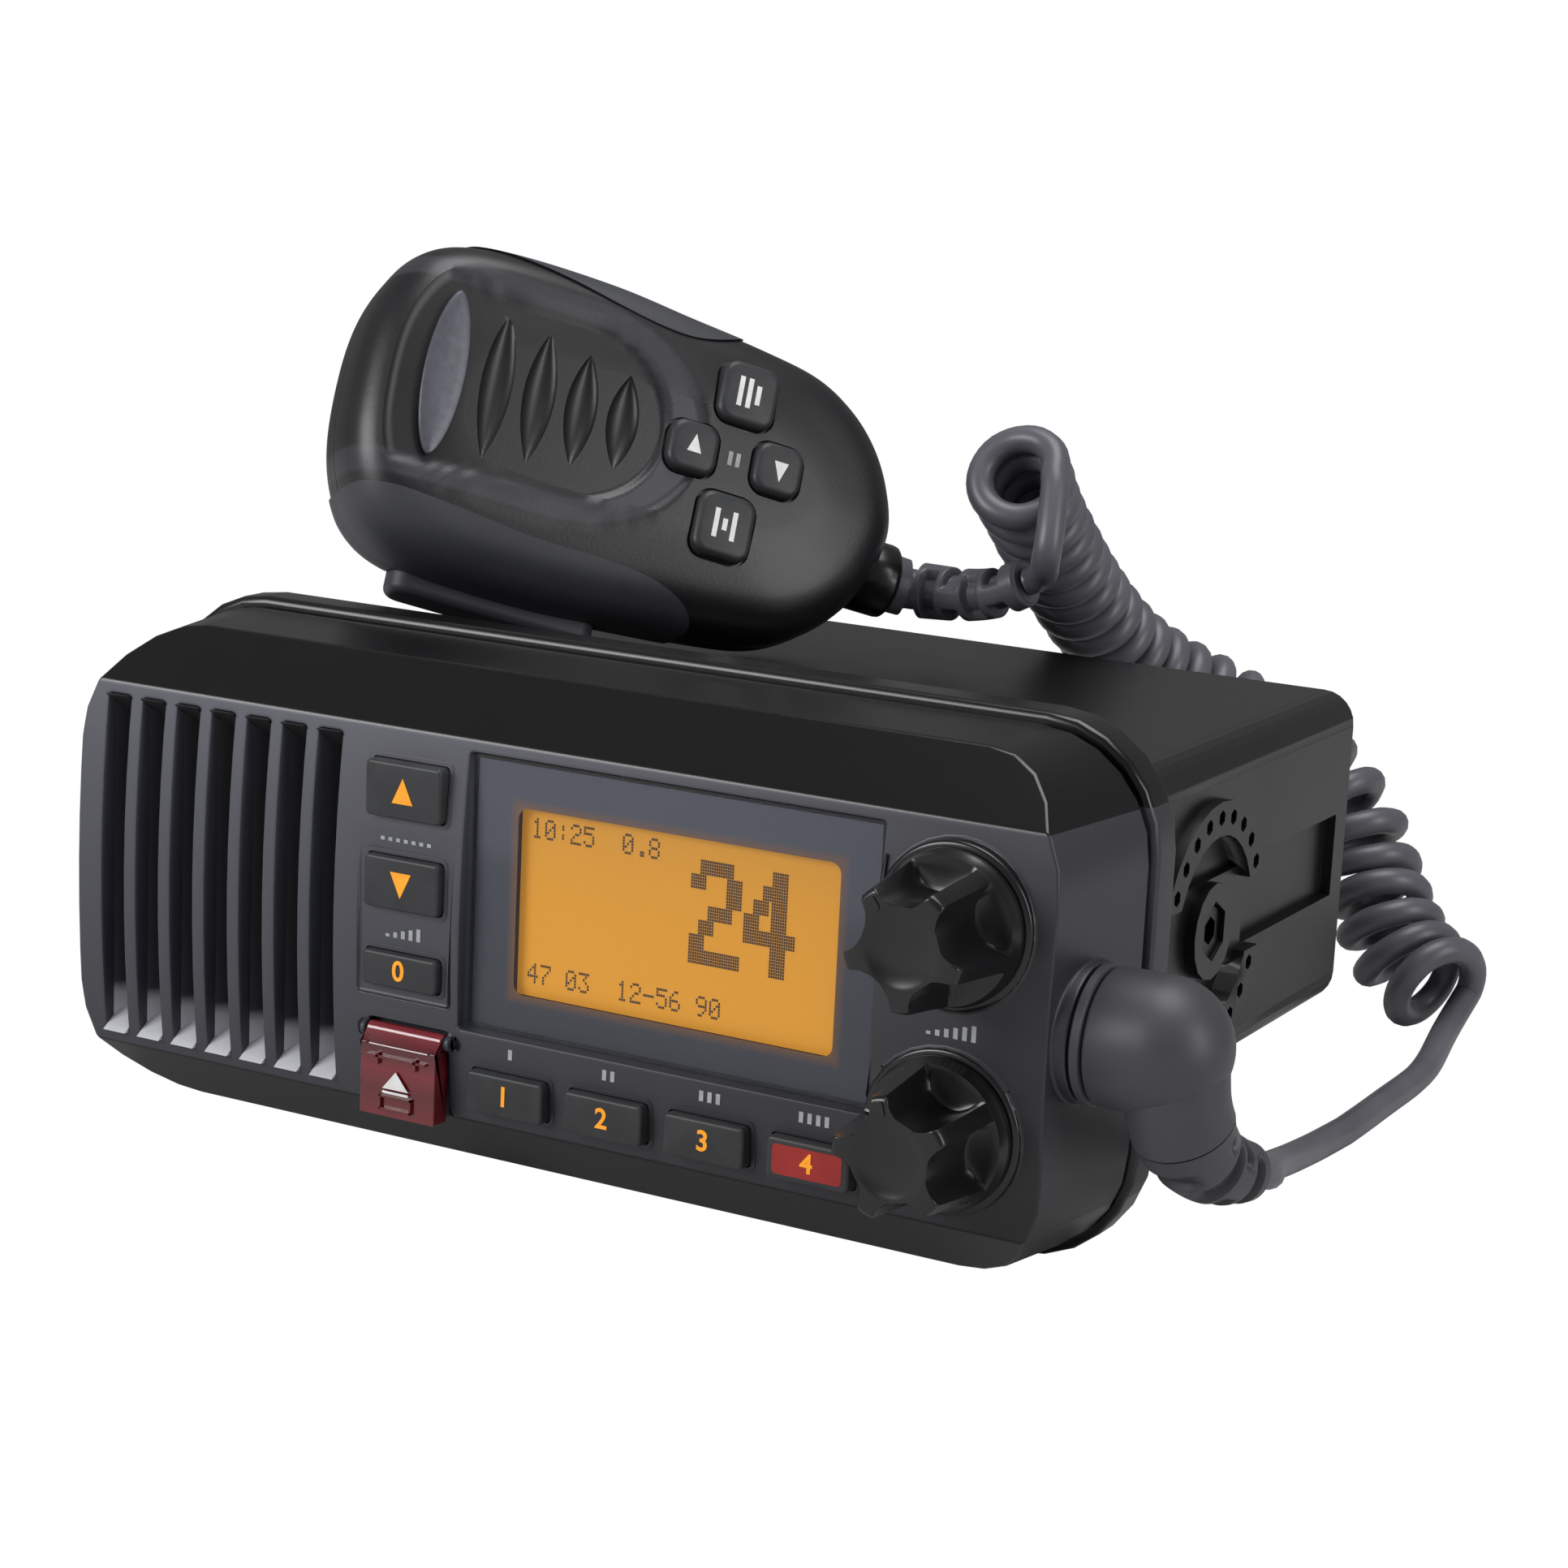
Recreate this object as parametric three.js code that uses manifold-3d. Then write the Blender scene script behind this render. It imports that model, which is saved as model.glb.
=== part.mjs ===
// A fixed-mount marine radio with its hand microphone and curly cord.
// Lengths are millimetres. X points right, Y to the back and Z up.
// Pieces are laid out from the middle of the grey front face, and one group then stands the whole
// radio so that the origin is the middle of the front housing's flat underside.
import * as THREE from 'three';
import { mergeVertices } from 'three/addons/utils/BufferGeometryUtils.js';
import Module from 'manifold-3d';

const wasm = await Module();
wasm.setup();

// Driving dimensions
const flangeWidth = 188.4;
const flangeHeight = 87.4;
const flangeRadius = 20;
const bevelHeight = 12.3;
const faceCrown = 2;
const bezelDepth = 36;
const frontWall = 4.2;
const chassisSideInset = 12.2;
const chassisTopInset = 14.7;
const chassisRear = 149;
const chassisRadius = 6;
const chassisLift = 1.5;
const sheetWall = 3;
const boardThickness = 1.6;
const cordDiameter = 5.2;
const coilDiameter = 18.6;
const micLength = 105;
const micWidth = 61.5;
const micDepth = 32;
const faceHeight = flangeHeight - 2 * bevelHeight;
const chassisWidth = flangeWidth - 2 * chassisSideInset;
const chassisHeight = flangeHeight - 2 * chassisTopInset;

// Clearances
const seatGap = 0.3;
const runGap = 0.3;
const overrun = 1;
const mergeLimit = 0.05;

// Sides of round pieces, as counts
const fineSides = 28;
const roundSides = 16;
const smallSides = 12;
const cornerSteps = 6;
const crownSteps = 8;
const hexSides = 6;

const finishes = {
  housing: { color: 0x4a4a52, roughness: 0.5, metalness: 0 },
  black: { color: 0x1b1b1e, roughness: 0.3, metalness: 0 },
  casting: { color: 0x1e1e20, roughness: 0.45, metalness: 0.4 },
  rubber: { color: 0x3c3e42, roughness: 0.7, metalness: 0 },
  keyRubber: { color: 0x2e2f31, roughness: 0.6, metalness: 0 },
  lens: { color: 0x9aa0ad, roughness: 0.1, metalness: 0 },
  amber: { color: 0xd9912b, roughness: 0.5, metalness: 0 },
  darkPlastic: { color: 0x26272b, roughness: 0.5, metalness: 0 },
  red: { color: 0xa32a36, roughness: 0.25, metalness: 0 },
  board: { color: 0x2f5a3c, roughness: 0.6, metalness: 0 },
  steel: { color: 0xa9abaf, roughness: 0.35, metalness: 1 },
  brass: { color: 0xb8955a, roughness: 0.35, metalness: 1 },
  paper: { color: 0x2a2a2c, roughness: 0.9, metalness: 0 },
  cord: { color: 0x4c4c52, roughness: 0.45, metalness: 0 },
  badge: { color: 0x5f5f6a, roughness: 0.35, metalness: 0.2 },
};

const root = new THREE.Group();
const radio = new THREE.Group();
root.add(radio);

// Turns a closed three.js geometry into a solid that can be cut and joined.
function solidOf(geometry) {
  const bare = geometry.clone();
  bare.deleteAttribute('normal');
  bare.deleteAttribute('uv');
  const merged = mergeVertices(bare);
  const corners = merged.attributes.position.array;
  const index = merged.index.array;
  const triangles = [];
  let volume = 0;
  const a = new THREE.Vector3();
  const b = new THREE.Vector3();
  const c = new THREE.Vector3();
  for (let i = 0; i < index.length; i += 3) {
    const [p, q, r] = index.slice(i, i + 3);
    if (p === q || q === r || r === p) {
      continue;
    }
    triangles.push(p, q, r);
    a.fromArray(corners, p * 3);
    b.fromArray(corners, q * 3);
    c.fromArray(corners, r * 3);
    volume += a.dot(b.cross(c));
  }
  if (volume < 0) {
    triangles.reverse();
  }
  const vertProperties = new Float32Array(corners);
  const triVerts = new Uint32Array(triangles);
  return new wasm.Manifold(new wasm.Mesh({ numProp: 3, vertProperties, triVerts }));
}

function geometryOf(solid) {
  const mesh = solid.asOriginal().simplify(mergeLimit).getMesh();
  const geometry = new THREE.BufferGeometry();
  geometry.setAttribute('position', new THREE.BufferAttribute(new Float32Array(mesh.vertProperties), 3));
  geometry.setIndex(new THREE.BufferAttribute(new Uint32Array(mesh.triVerts), 1));
  geometry.computeVertexNormals();
  return geometry;
}

// Adds one named piece to its carrier. A geometry is made a solid first, so that its seams are closed.
function piece(name, shape, finish, carrier = radio) {
  const solid = shape.isBufferGeometry ? solidOf(shape) : shape;
  const mesh = new THREE.Mesh(geometryOf(solid), new THREE.MeshStandardMaterial(finishes[finish]));
  mesh.name = name;
  carrier.add(mesh);
  return mesh;
}

function box(left, right, front, back, bottom, top) {
  const geometry = new THREE.BoxGeometry(right - left, back - front, top - bottom);
  return geometry.translate((left + right) / 2, (front + back) / 2, (bottom + top) / 2);
}

// A flat shape drawn in X and Z, pulled along Y.
function alongY(shape, front, back, curveSegments = cornerSteps) {
  const settings = { depth: back - front, bevelEnabled: false, curveSegments };
  return new THREE.ExtrudeGeometry(shape, settings).rotateX(Math.PI / 2).translate(0, back, 0);
}

// A flat shape drawn in Y and Z, pulled along X.
function alongX(shape, left, right, curveSegments = cornerSteps) {
  const settings = { depth: right - left, bevelEnabled: false, curveSegments };
  const turn = new THREE.Matrix4().makeBasis(
    new THREE.Vector3(0, 1, 0),
    new THREE.Vector3(0, 0, 1),
    new THREE.Vector3(1, 0, 0),
  );
  return new THREE.ExtrudeGeometry(shape, settings).applyMatrix4(turn).translate(left, 0, 0);
}

// A flat shape drawn in X and Y, pulled along Z.
function alongZ(shape, bottom, top, curveSegments = cornerSteps) {
  const settings = { depth: top - bottom, bevelEnabled: false, curveSegments };
  return new THREE.ExtrudeGeometry(shape, settings).translate(0, 0, bottom);
}

// A turned piece. Each point is a radius and a place along the axis.
function turned(points, sides = roundSides) {
  return new THREE.LatheGeometry(points.map(([radius, place]) => new THREE.Vector2(radius, place)), sides);
}

function turnedX(points, sides) {
  return turned(points, sides).rotateZ(-Math.PI / 2);
}

function turnedZ(points, sides) {
  return turned(points, sides).rotateX(Math.PI / 2);
}

// A solid pin, from one place on its axis to the other.
function pinProfile(radius, start, end) {
  return [[0, start], [radius, start], [radius, end], [0, end]];
}

function tubeProfile(outer, inner, start, end) {
  return [[inner, start], [outer, start], [outer, end], [inner, end], [inner, start]];
}

function roundedRectangle(halfWidth, halfHeight, radius, x = 0, z = 0) {
  const shape = new THREE.Shape();
  const right = x + halfWidth - radius;
  const left = x - halfWidth + radius;
  const top = z + halfHeight - radius;
  const bottom = z - halfHeight + radius;
  shape.absarc(right, bottom, radius, -Math.PI / 2, 0);
  shape.absarc(right, top, radius, 0, Math.PI / 2);
  shape.absarc(left, top, radius, Math.PI / 2, Math.PI);
  shape.absarc(left, bottom, radius, Math.PI, Math.PI * 1.5);
  shape.closePath();
  return shape;
}

function polygon(points) {
  return new THREE.Shape(points.map(([across, up]) => new THREE.Vector2(across, up)));
}

// The corner points of a rounded rectangle that lies across Y at one depth.
function ringAcrossY(depth, halfWidth, halfHeight, radius, lift = 0) {
  const ring = [];
  const signs = [[1, -1], [1, 1], [-1, 1], [-1, -1]];
  signs.forEach(([side, up], corner) => {
    for (let step = 0; step <= cornerSteps; step += 1) {
      const angle = (corner - 1 + step / cornerSteps) * Math.PI / 2;
      const x = side * (halfWidth - radius) + radius * Math.cos(angle);
      const z = lift + up * (halfHeight - radius) + radius * Math.sin(angle);
      ring.push(new THREE.Vector3(x, depth, z));
    }
  });
  return ring;
}

// Joins rings of equal counts into one closed body, with a fan over each end.
function loft(rings) {
  const count = rings[0].length;
  const points = rings.flat();
  const triangles = [];
  for (let ring = 0; ring + 1 < rings.length; ring += 1) {
    for (let i = 0; i < count; i += 1) {
      const here = ring * count + i;
      const next = ring * count + (i + 1) % count;
      triangles.push(here, next, next + count, here, next + count, here + count);
    }
  }
  const ends = [[0, rings[0]], [(rings.length - 1) * count, rings[rings.length - 1]]];
  ends.forEach(([start, ring], side) => {
    const middle = ring.reduce((sum, point) => sum.add(point), new THREE.Vector3());
    points.push(middle.divideScalar(count));
    const hub = points.length - 1;
    for (let i = 0; i < count; i += 1) {
      const pair = [start + i, start + (i + 1) % count];
      triangles.push(...(side === 0 ? pair.reverse() : pair), hub);
    }
  });
  const geometry = new THREE.BufferGeometry();
  geometry.setAttribute('position', new THREE.Float32BufferAttribute(points.flatMap((p) => p.toArray()), 3));
  geometry.setIndex(triangles);
  return geometry;
}

// Frames that follow a curve without twisting.
function framesAlong(points) {
  const frames = [];
  let across = null;
  points.forEach((point, i) => {
    const before = points[Math.max(i - 1, 0)];
    const after = points[Math.min(i + 1, points.length - 1)];
    const ahead = after.clone().sub(before).normalize();
    if (!across) {
      across = new THREE.Vector3(0, 0, 1).cross(ahead);
    }
    across = across.clone().addScaledVector(ahead, -across.dot(ahead)).normalize();
    frames.push({ point, ahead, across, up: ahead.clone().cross(across) });
  });
  return frames;
}

// Round sections along a list of points, with a radius for each point.
function roundRings(points, radii, sides) {
  return framesAlong(points).map(({ point, across, up }, i) => {
    const ring = [];
    for (let side = 0; side < sides; side += 1) {
      const angle = side / sides * Math.PI * 2;
      const spoke = across.clone().multiplyScalar(Math.cos(angle) * radii[i]);
      spoke.addScaledVector(up, Math.sin(angle) * radii[i]);
      ring.push(point.clone().add(spoke));
    }
    return ring;
  });
}

function vector(list) {
  return new THREE.Vector3(...list);
}

// Front housing: one moulding with a crowned face, long bevels above and below, a shadow groove and
// a rear flange that seats the rear casing.
const faceEdge = 1;
const noseDepth = -3;
const noseTaper = 3.7;
const noseDrop = 3.5;
const noseWidth = flangeWidth - 2 * noseTaper;
const noseHeight = flangeHeight - 2 * noseDrop;
const creaseDepth = 11;
const creaseRise = 0.8;
const creaseHeight = noseHeight + 2 * creaseRise;
const noseRadius = 19;
const groovePlace = 27;
const grooveWidth = 1.2;
const grooveInset = 0.9;
const grooveSideInset = 0.8;
const grooveDrop = 1.7;
const bodyWidthAtGroove = flangeWidth - 2 * grooveSideInset;
const bodyHeightAtGroove = flangeHeight - 2 * grooveDrop;
const flangeEase = 0.8;
const innerFace = frontWall - faceCrown + faceEdge;
const flangeTop = flangeHeight / 2;

const sideProfile = new THREE.Shape();
sideProfile.moveTo(faceEdge, -faceHeight / 2);
sideProfile.quadraticCurveTo(faceEdge - 2 * faceCrown, 0, faceEdge, faceHeight / 2);
sideProfile.lineTo(creaseDepth, creaseHeight / 2);
sideProfile.lineTo(creaseDepth, flangeHeight);
sideProfile.lineTo(bezelDepth + overrun, flangeHeight);
sideProfile.lineTo(bezelDepth + overrun, -flangeHeight);
sideProfile.lineTo(creaseDepth, -flangeHeight);
sideProfile.lineTo(creaseDepth, -creaseHeight / 2);
sideProfile.closePath();

const grooveBack = groovePlace + grooveWidth;
const groovedHalfWidth = bodyWidthAtGroove / 2 - grooveInset;
const groovedHalfHeight = bodyHeightAtGroove / 2 - grooveInset;
const bezelRings = [
  ringAcrossY(noseDepth, noseWidth / 2, noseHeight / 2, noseRadius),
  ringAcrossY(groovePlace, bodyWidthAtGroove / 2, bodyHeightAtGroove / 2, flangeRadius - flangeEase),
  ringAcrossY(groovePlace, groovedHalfWidth, groovedHalfHeight, flangeRadius - flangeEase),
  ringAcrossY(grooveBack, groovedHalfWidth, groovedHalfHeight, flangeRadius - flangeEase),
  ringAcrossY(grooveBack, flangeWidth / 2 - flangeEase, flangeTop - flangeEase, flangeRadius - flangeEase),
  ringAcrossY(grooveBack + flangeEase, flangeWidth / 2, flangeTop, flangeRadius),
  ringAcrossY(bezelDepth - flangeEase, flangeWidth / 2, flangeTop, flangeRadius),
  ringAcrossY(bezelDepth, flangeWidth / 2 - flangeEase, flangeTop - flangeEase, flangeRadius - flangeEase),
];
const profileBar = alongX(sideProfile, -flangeWidth, flangeWidth, crownSteps);
let bezel = solidOf(loft(bezelRings)).intersect(solidOf(profileBar));

// Hollow of the front housing, and the ledge that takes the seal
const ledgePlace = 29;
const ledgeWidth = 4;
const rimWall = 3.6;
const frontSideWall = 6.5;
const frontTopWall = 0.6;
const bendSideWall = 4.2;
const bendTopWall = 3.4;
const hollowFrontWidth = noseWidth - 2 * frontSideWall;
const hollowFrontHeight = faceHeight - 2 * frontTopWall;
const hollowBendDepth = 12;
const hollowBendWidth = noseWidth - 2 * bendSideWall;
const hollowBendHeight = noseHeight - 2 * bendTopWall;
const hollowFrontRadius = 6;
const hollowBendRadius = 12;
const recessHalfWidth = flangeWidth / 2 - rimWall;
const recessHalfHeight = flangeTop - rimWall;
const recessRadius = flangeRadius - rimWall;
const hollowHalfWidth = recessHalfWidth - ledgeWidth;
const hollowHalfHeight = recessHalfHeight - ledgeWidth + 2 * seatGap;
const hollow = loft([
  ringAcrossY(innerFace, hollowFrontWidth / 2, hollowFrontHeight / 2, hollowFrontRadius),
  ringAcrossY(hollowBendDepth, hollowBendWidth / 2, hollowBendHeight / 2, hollowBendRadius),
  ringAcrossY(ledgePlace, hollowHalfWidth, hollowHalfHeight, recessRadius - ledgeWidth / 2),
  ringAcrossY(ledgePlace, recessHalfWidth, recessHalfHeight, recessRadius),
  ringAcrossY(bezelDepth + overrun, recessHalfWidth, recessHalfHeight, recessRadius),
]);
bezel = bezel.subtract(solidOf(hollow));

// Posts that take the rear casing's four screws
const screwSideInset = 20.2;
const screwTopInset = 8.9;
const screwX = flangeWidth / 2 - screwSideInset;
const screwZ = flangeTop - screwTopInset;
const screwRadius = 1.5;
const screwHeadRadius = 3;
const screwHeadHeight = 2.2;
const screwLength = 18;
const postRadius = 3.6;
const postFront = creaseDepth + overrun;
const sealThickness = 1.4;
const plateThickness = 3.4;
const plateFront = ledgePlace + seatGap + sealThickness + seatGap;
const plateBack = plateFront + plateThickness;
const screwPlaces = [[-screwX, screwZ], [screwX, screwZ], [screwX, -screwZ], [-screwX, -screwZ]];
for (const [x, z] of screwPlaces) {
  const post = turned(pinProfile(postRadius, postFront, ledgePlace), smallSides);
  bezel = bezel.add(solidOf(post.translate(x, 0, z)));
}
for (const [x, z] of screwPlaces) {
  const bore = turned(pinProfile(screwRadius + runGap, plateBack - screwLength, bezelDepth), smallSides);
  bezel = bezel.subtract(solidOf(bore.translate(x, 0, z)));
}

// Layout of the face, from left to right: the grille, a column of keys, the display over a row of
// keys, and the two knobs in their collars
const slotCount = 7;
const slotWidth = 4.6;
const slotPitch = 7.23;
const grilleInset = 4.9;
const columnGap = 6.42;
const columnKeyWidth = 15.2;
const lensGap = 3.2;
const lensMargin = 2;
const rowMargin = 2.4;
const rowKeyHeight = 7.4;
const rowKeyGap = 3.35;
const rowGap = 5.6;
const rowInset = 2.5;
const rowOutset = 1.35;
const knobInset = 16;
const collarMargin = 2.5;
const collarGap = 5.8;
const grilleLeft = grilleInset - noseWidth / 2;
const grilleRight = grilleLeft + (slotCount - 1) * slotPitch + slotWidth;
const columnLeft = grilleRight + columnGap;
const columnRight = columnLeft + columnKeyWidth;
const collarRadius = (faceHeight - 2 * collarMargin - collarGap) / 4;
const knobX = noseWidth / 2 - knobInset;
const rowBottom = rowMargin - faceHeight / 2;
const rowTop = rowBottom + rowKeyHeight;
const lensLeft = columnRight + lensGap;
const lensRight = knobX - collarRadius;
const lensBottom = rowTop + rowGap;
const lensTop = faceHeight / 2 - lensMargin;
const rowLeft = lensLeft + rowInset;
const rowRight = lensRight - rowOutset;

// Speaker grille: seven upright slots, and behind them a ring of pads that the loudspeaker seats on
const slotMargin = 2.1;
const slotHeight = faceHeight - 2 * slotMargin;
const slotDepth = 7.5;
const speakerRadius = 22;
const speakerFlange = 2.4;
const grilleMiddle = (grilleLeft + grilleRight) / 2;
const padProfile = tubeProfile(speakerRadius, speakerRadius - speakerFlange, innerFace - seatGap, slotDepth);
const padRing = turned(padProfile, fineSides).translate(grilleMiddle, 0, 0);
bezel = bezel.add(solidOf(padRing));
for (let i = 0; i < slotCount; i += 1) {
  const left = grilleLeft + i * slotPitch;
  const slot = box(left, left + slotWidth, noseDepth, slotDepth, -slotHeight / 2, slotHeight / 2);
  bezel = bezel.subtract(solidOf(slot));
}

// Display: a flat lens in a shallow seat, with a smaller window behind it
const lensThickness = 1.5;
const lensSetBack = 0.6;
const lensSeat = 4;
const lensBack = lensSetBack + lensThickness;
const lensCut = box(lensLeft, lensRight, noseDepth, lensBack + seatGap, lensBottom, lensTop);
const windowCut = box(
  lensLeft + lensSeat,
  lensRight - lensSeat,
  noseDepth,
  innerFace + overrun,
  lensBottom + lensSeat,
  lensTop - lensSeat,
);
bezel = bezel.subtract(solidOf(lensCut)).subtract(solidOf(windowCut));
piece(
  'display_lens',
  box(
    lensLeft + seatGap,
    lensRight - seatGap,
    lensSetBack,
    lensBack,
    lensBottom + seatGap,
    lensTop - seatGap,
  ),
  'lens',
);

// Keys: three in a column, four in a row. The column's keys stand at shares of the display's height.
const keyProud = 2.1;
const keyTravel = 1;
const keyLip = 1.2;
const keyLipThickness = 1;
const keyEase = 0.9;
const columnShares = [
  ['channel_up_key', 0.7225, 0.9383],
  ['channel_down_key', 0.3899, 0.5947],
  ['enter_key', 0.1035, 0.2445],
];
const rowNames = ['menu_key', 'memory_key', 'scan_key', 'channel_sixteen_key'];
const rowPitch = (rowRight - rowLeft + rowKeyGap) / rowNames.length;
const rowKeyWidth = rowPitch - rowKeyGap;
const keyHoles = columnShares.map(([name, low, high]) => ({
  name,
  left: columnLeft,
  right: columnRight,
  bottom: lensBottom + low * (lensTop - lensBottom),
  top: lensBottom + high * (lensTop - lensBottom),
}));
rowNames.forEach((name, i) => {
  const left = rowLeft + i * rowPitch;
  keyHoles.push({ name, left, right: left + rowKeyWidth, bottom: rowBottom, top: rowTop });
});
const lipFront = innerFace + seatGap;
const lipBack = lipFront + keyLipThickness;
const matFront = lipBack + keyTravel + seatGap;
const lipRoom = keyLip + 2 * runGap;
for (const hole of keyHoles) {
  const cut = box(hole.left, hole.right, noseDepth, innerFace + overrun, hole.bottom, hole.top);
  const room = box(
    hole.left - lipRoom,
    hole.right + lipRoom,
    innerFace,
    hollowBendDepth,
    hole.bottom - lipRoom,
    hole.top + lipRoom,
  );
  bezel = bezel.subtract(solidOf(cut)).subtract(solidOf(room));
  const halfWidth = (hole.right - hole.left) / 2 - runGap;
  const halfHeight = (hole.top - hole.bottom) / 2 - runGap;
  const cap = loft([
    ringAcrossY(-keyProud, halfWidth - keyEase, halfHeight - keyEase, keyEase),
    ringAcrossY(-keyProud + keyEase, halfWidth, halfHeight, keyEase),
    ringAcrossY(lipBack, halfWidth, halfHeight, keyEase),
  ]);
  const lip = box(
    -halfWidth - keyLip,
    halfWidth + keyLip,
    lipFront,
    lipBack,
    -halfHeight - keyLip,
    halfHeight + keyLip,
  );
  const key = piece(hole.name, solidOf(cap).add(solidOf(lip)), 'keyRubber');
  key.position.set((hole.left + hole.right) / 2, 0, (hole.bottom + hole.top) / 2);
}

// Distress key under a sprung red cover that swings up on a steel pin
const coverInset = 1.4;
const coverWidth = 14.6;
const coverLeft = columnLeft + coverInset;
const coverRight = coverLeft + coverWidth;
const coverDrop = 13.6;
const coverThickness = 1.3;
const coverProud = 3.2;
const coverCheekBack = 0.6;
const pinPlaceY = -0.4;
const pinRise = 2.8;
const pinPlaceZ = rowTop + pinRise;
const pinRadius = 0.6;
const pinGap = 0.25;
const barrelRadius = 1.4;
const earWidth = 1.3;
const pocketBack = 1.4;
const pocketTop = pinPlaceZ + barrelRadius + 2 * runGap;
const pocketBottom = pinPlaceZ - coverDrop - 2 * runGap;
const distressHalfWidth = 4.6;
const distressRise = 0.2;
const distressBottom = rowBottom + distressRise;
const distressTop = rowTop;
const distressProud = 0.9;
const pocket = box(coverLeft - runGap, coverRight + runGap, noseDepth, pocketBack, pocketBottom, pocketTop);
bezel = bezel.subtract(solidOf(pocket));
const earOuterLeft = coverLeft - runGap - earWidth;
const earOuterRight = coverRight + runGap + earWidth;
const earPlaces = [[earOuterLeft, coverLeft - runGap], [coverRight + runGap, earOuterRight]];
for (const [from, to] of earPlaces) {
  const ear = turnedX(pinProfile(barrelRadius, from, to), smallSides).translate(0, pinPlaceY, pinPlaceZ);
  const foot = box(
    from,
    to,
    pinPlaceY,
    innerFace - seatGap,
    pinPlaceZ - barrelRadius,
    pinPlaceZ + barrelRadius,
  );
  bezel = bezel.add(solidOf(ear)).add(solidOf(foot));
}
const pinBore = turnedX(pinProfile(pinRadius + pinGap, earOuterLeft - overrun, earOuterRight + overrun));
bezel = bezel.subtract(solidOf(pinBore.translate(0, pinPlaceY, pinPlaceZ)));
const hingePin = turnedX(pinProfile(pinRadius, earOuterLeft, earOuterRight), smallSides);
piece('distress_hinge_pin', hingePin, 'steel').position.set(0, pinPlaceY, pinPlaceZ);

const coverFace = -(coverProud + pinPlaceY);
const coverTopShare = 0.13;
const coverCrestShare = 0.2;
const coverNeckShare = 0.9;
const coverSection = polygon([
  [coverFace, -coverDrop],
  [coverFace, -coverDrop * coverTopShare],
  [-barrelRadius, barrelRadius * coverCrestShare],
  [0, barrelRadius * coverNeckShare],
  [0, -barrelRadius * coverNeckShare],
  [-barrelRadius * coverNeckShare, -barrelRadius],
  [coverFace + coverThickness, -coverDrop * coverTopShare - coverThickness],
  [coverFace + coverThickness, -coverDrop],
]);
let cover = solidOf(alongX(coverSection, coverLeft, coverRight));
cover = cover.add(solidOf(turnedX(pinProfile(barrelRadius, coverLeft, coverRight), smallSides)));
for (const from of [coverLeft, coverRight - coverThickness]) {
  const cheek = box(
    from,
    from + coverThickness,
    coverFace,
    coverCheekBack - pinPlaceY,
    -coverDrop,
    -barrelRadius,
  );
  cover = cover.add(solidOf(cheek));
}
const coverBore = turnedX(pinProfile(pinRadius + pinGap, coverLeft - overrun, coverRight + overrun));
cover = cover.subtract(solidOf(coverBore));
piece('distress_cover', cover, 'red').position.set(0, pinPlaceY, pinPlaceZ);

const distressMiddle = (coverLeft + coverRight) / 2;
const distressHole = box(
  distressMiddle - distressHalfWidth - runGap,
  distressMiddle + distressHalfWidth + runGap,
  noseDepth,
  innerFace + overrun,
  distressBottom - runGap,
  distressTop + runGap,
);
const distressRoom = box(
  distressMiddle - distressHalfWidth - lipRoom,
  distressMiddle + distressHalfWidth + lipRoom,
  innerFace,
  hollowBendDepth,
  distressBottom - lipRoom,
  distressTop + lipRoom,
);
bezel = bezel.subtract(solidOf(distressHole)).subtract(solidOf(distressRoom));
const distressCap = box(
  distressMiddle - distressHalfWidth,
  distressMiddle + distressHalfWidth,
  -distressProud,
  lipBack,
  distressBottom,
  distressTop,
);
const distressLip = box(
  distressMiddle - distressHalfWidth - keyLip,
  distressMiddle + distressHalfWidth + keyLip,
  lipFront,
  lipBack,
  distressBottom - keyLip,
  distressTop + keyLip,
);
piece('distress_key', solidOf(distressCap).add(solidOf(distressLip)), 'red');

// Volume and squelch knobs on potentiometer shafts
const knobDrop = 0.1;
const knobHeight = collarGap / 2 + collarRadius;
const knobHeights = { volume: knobHeight - knobDrop, squelch: -knobHeight - knobDrop };
const knobInFromCollar = 1;
const knobRadius = collarRadius - knobInFromCollar;
const knobLength = 16.6;
const knobTaper = 3.2;
const knobTipRadius = knobRadius - knobTaper;
const knobTipRim = 3.2;
const knobDishRadius = knobTipRadius - knobTipRim;
const knobDishDepth = 0.9;
const dishRimShare = 0.8;
const knobLobes = 5;
const scallopInset = 0.7;
const scallopWaist = 6.1;
const scallopPlace = knobRadius - scallopInset;
const scallopRadius = scallopPlace - scallopWaist;
const skirtHeight = 3;
const skirtRadiusShare = 0.95;
const knobEase = 0.8;
const collarFront = -1.5;
const shaftRadius = 3;
const shaftTipPlace = -12;
const bushRadius = 4.4;
const potRadiusShare = 2 / 3;
const potRadius = knobRadius * potRadiusShare;
const potLength = 8.5;
const pointerWidth = 1.2;
const pointerLength = 2.4;
const knobLean = { volume: 128, squelch: 104 };
const knobBack = collarFront - seatGap;
const knobFront = knobBack - knobLength;
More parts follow.
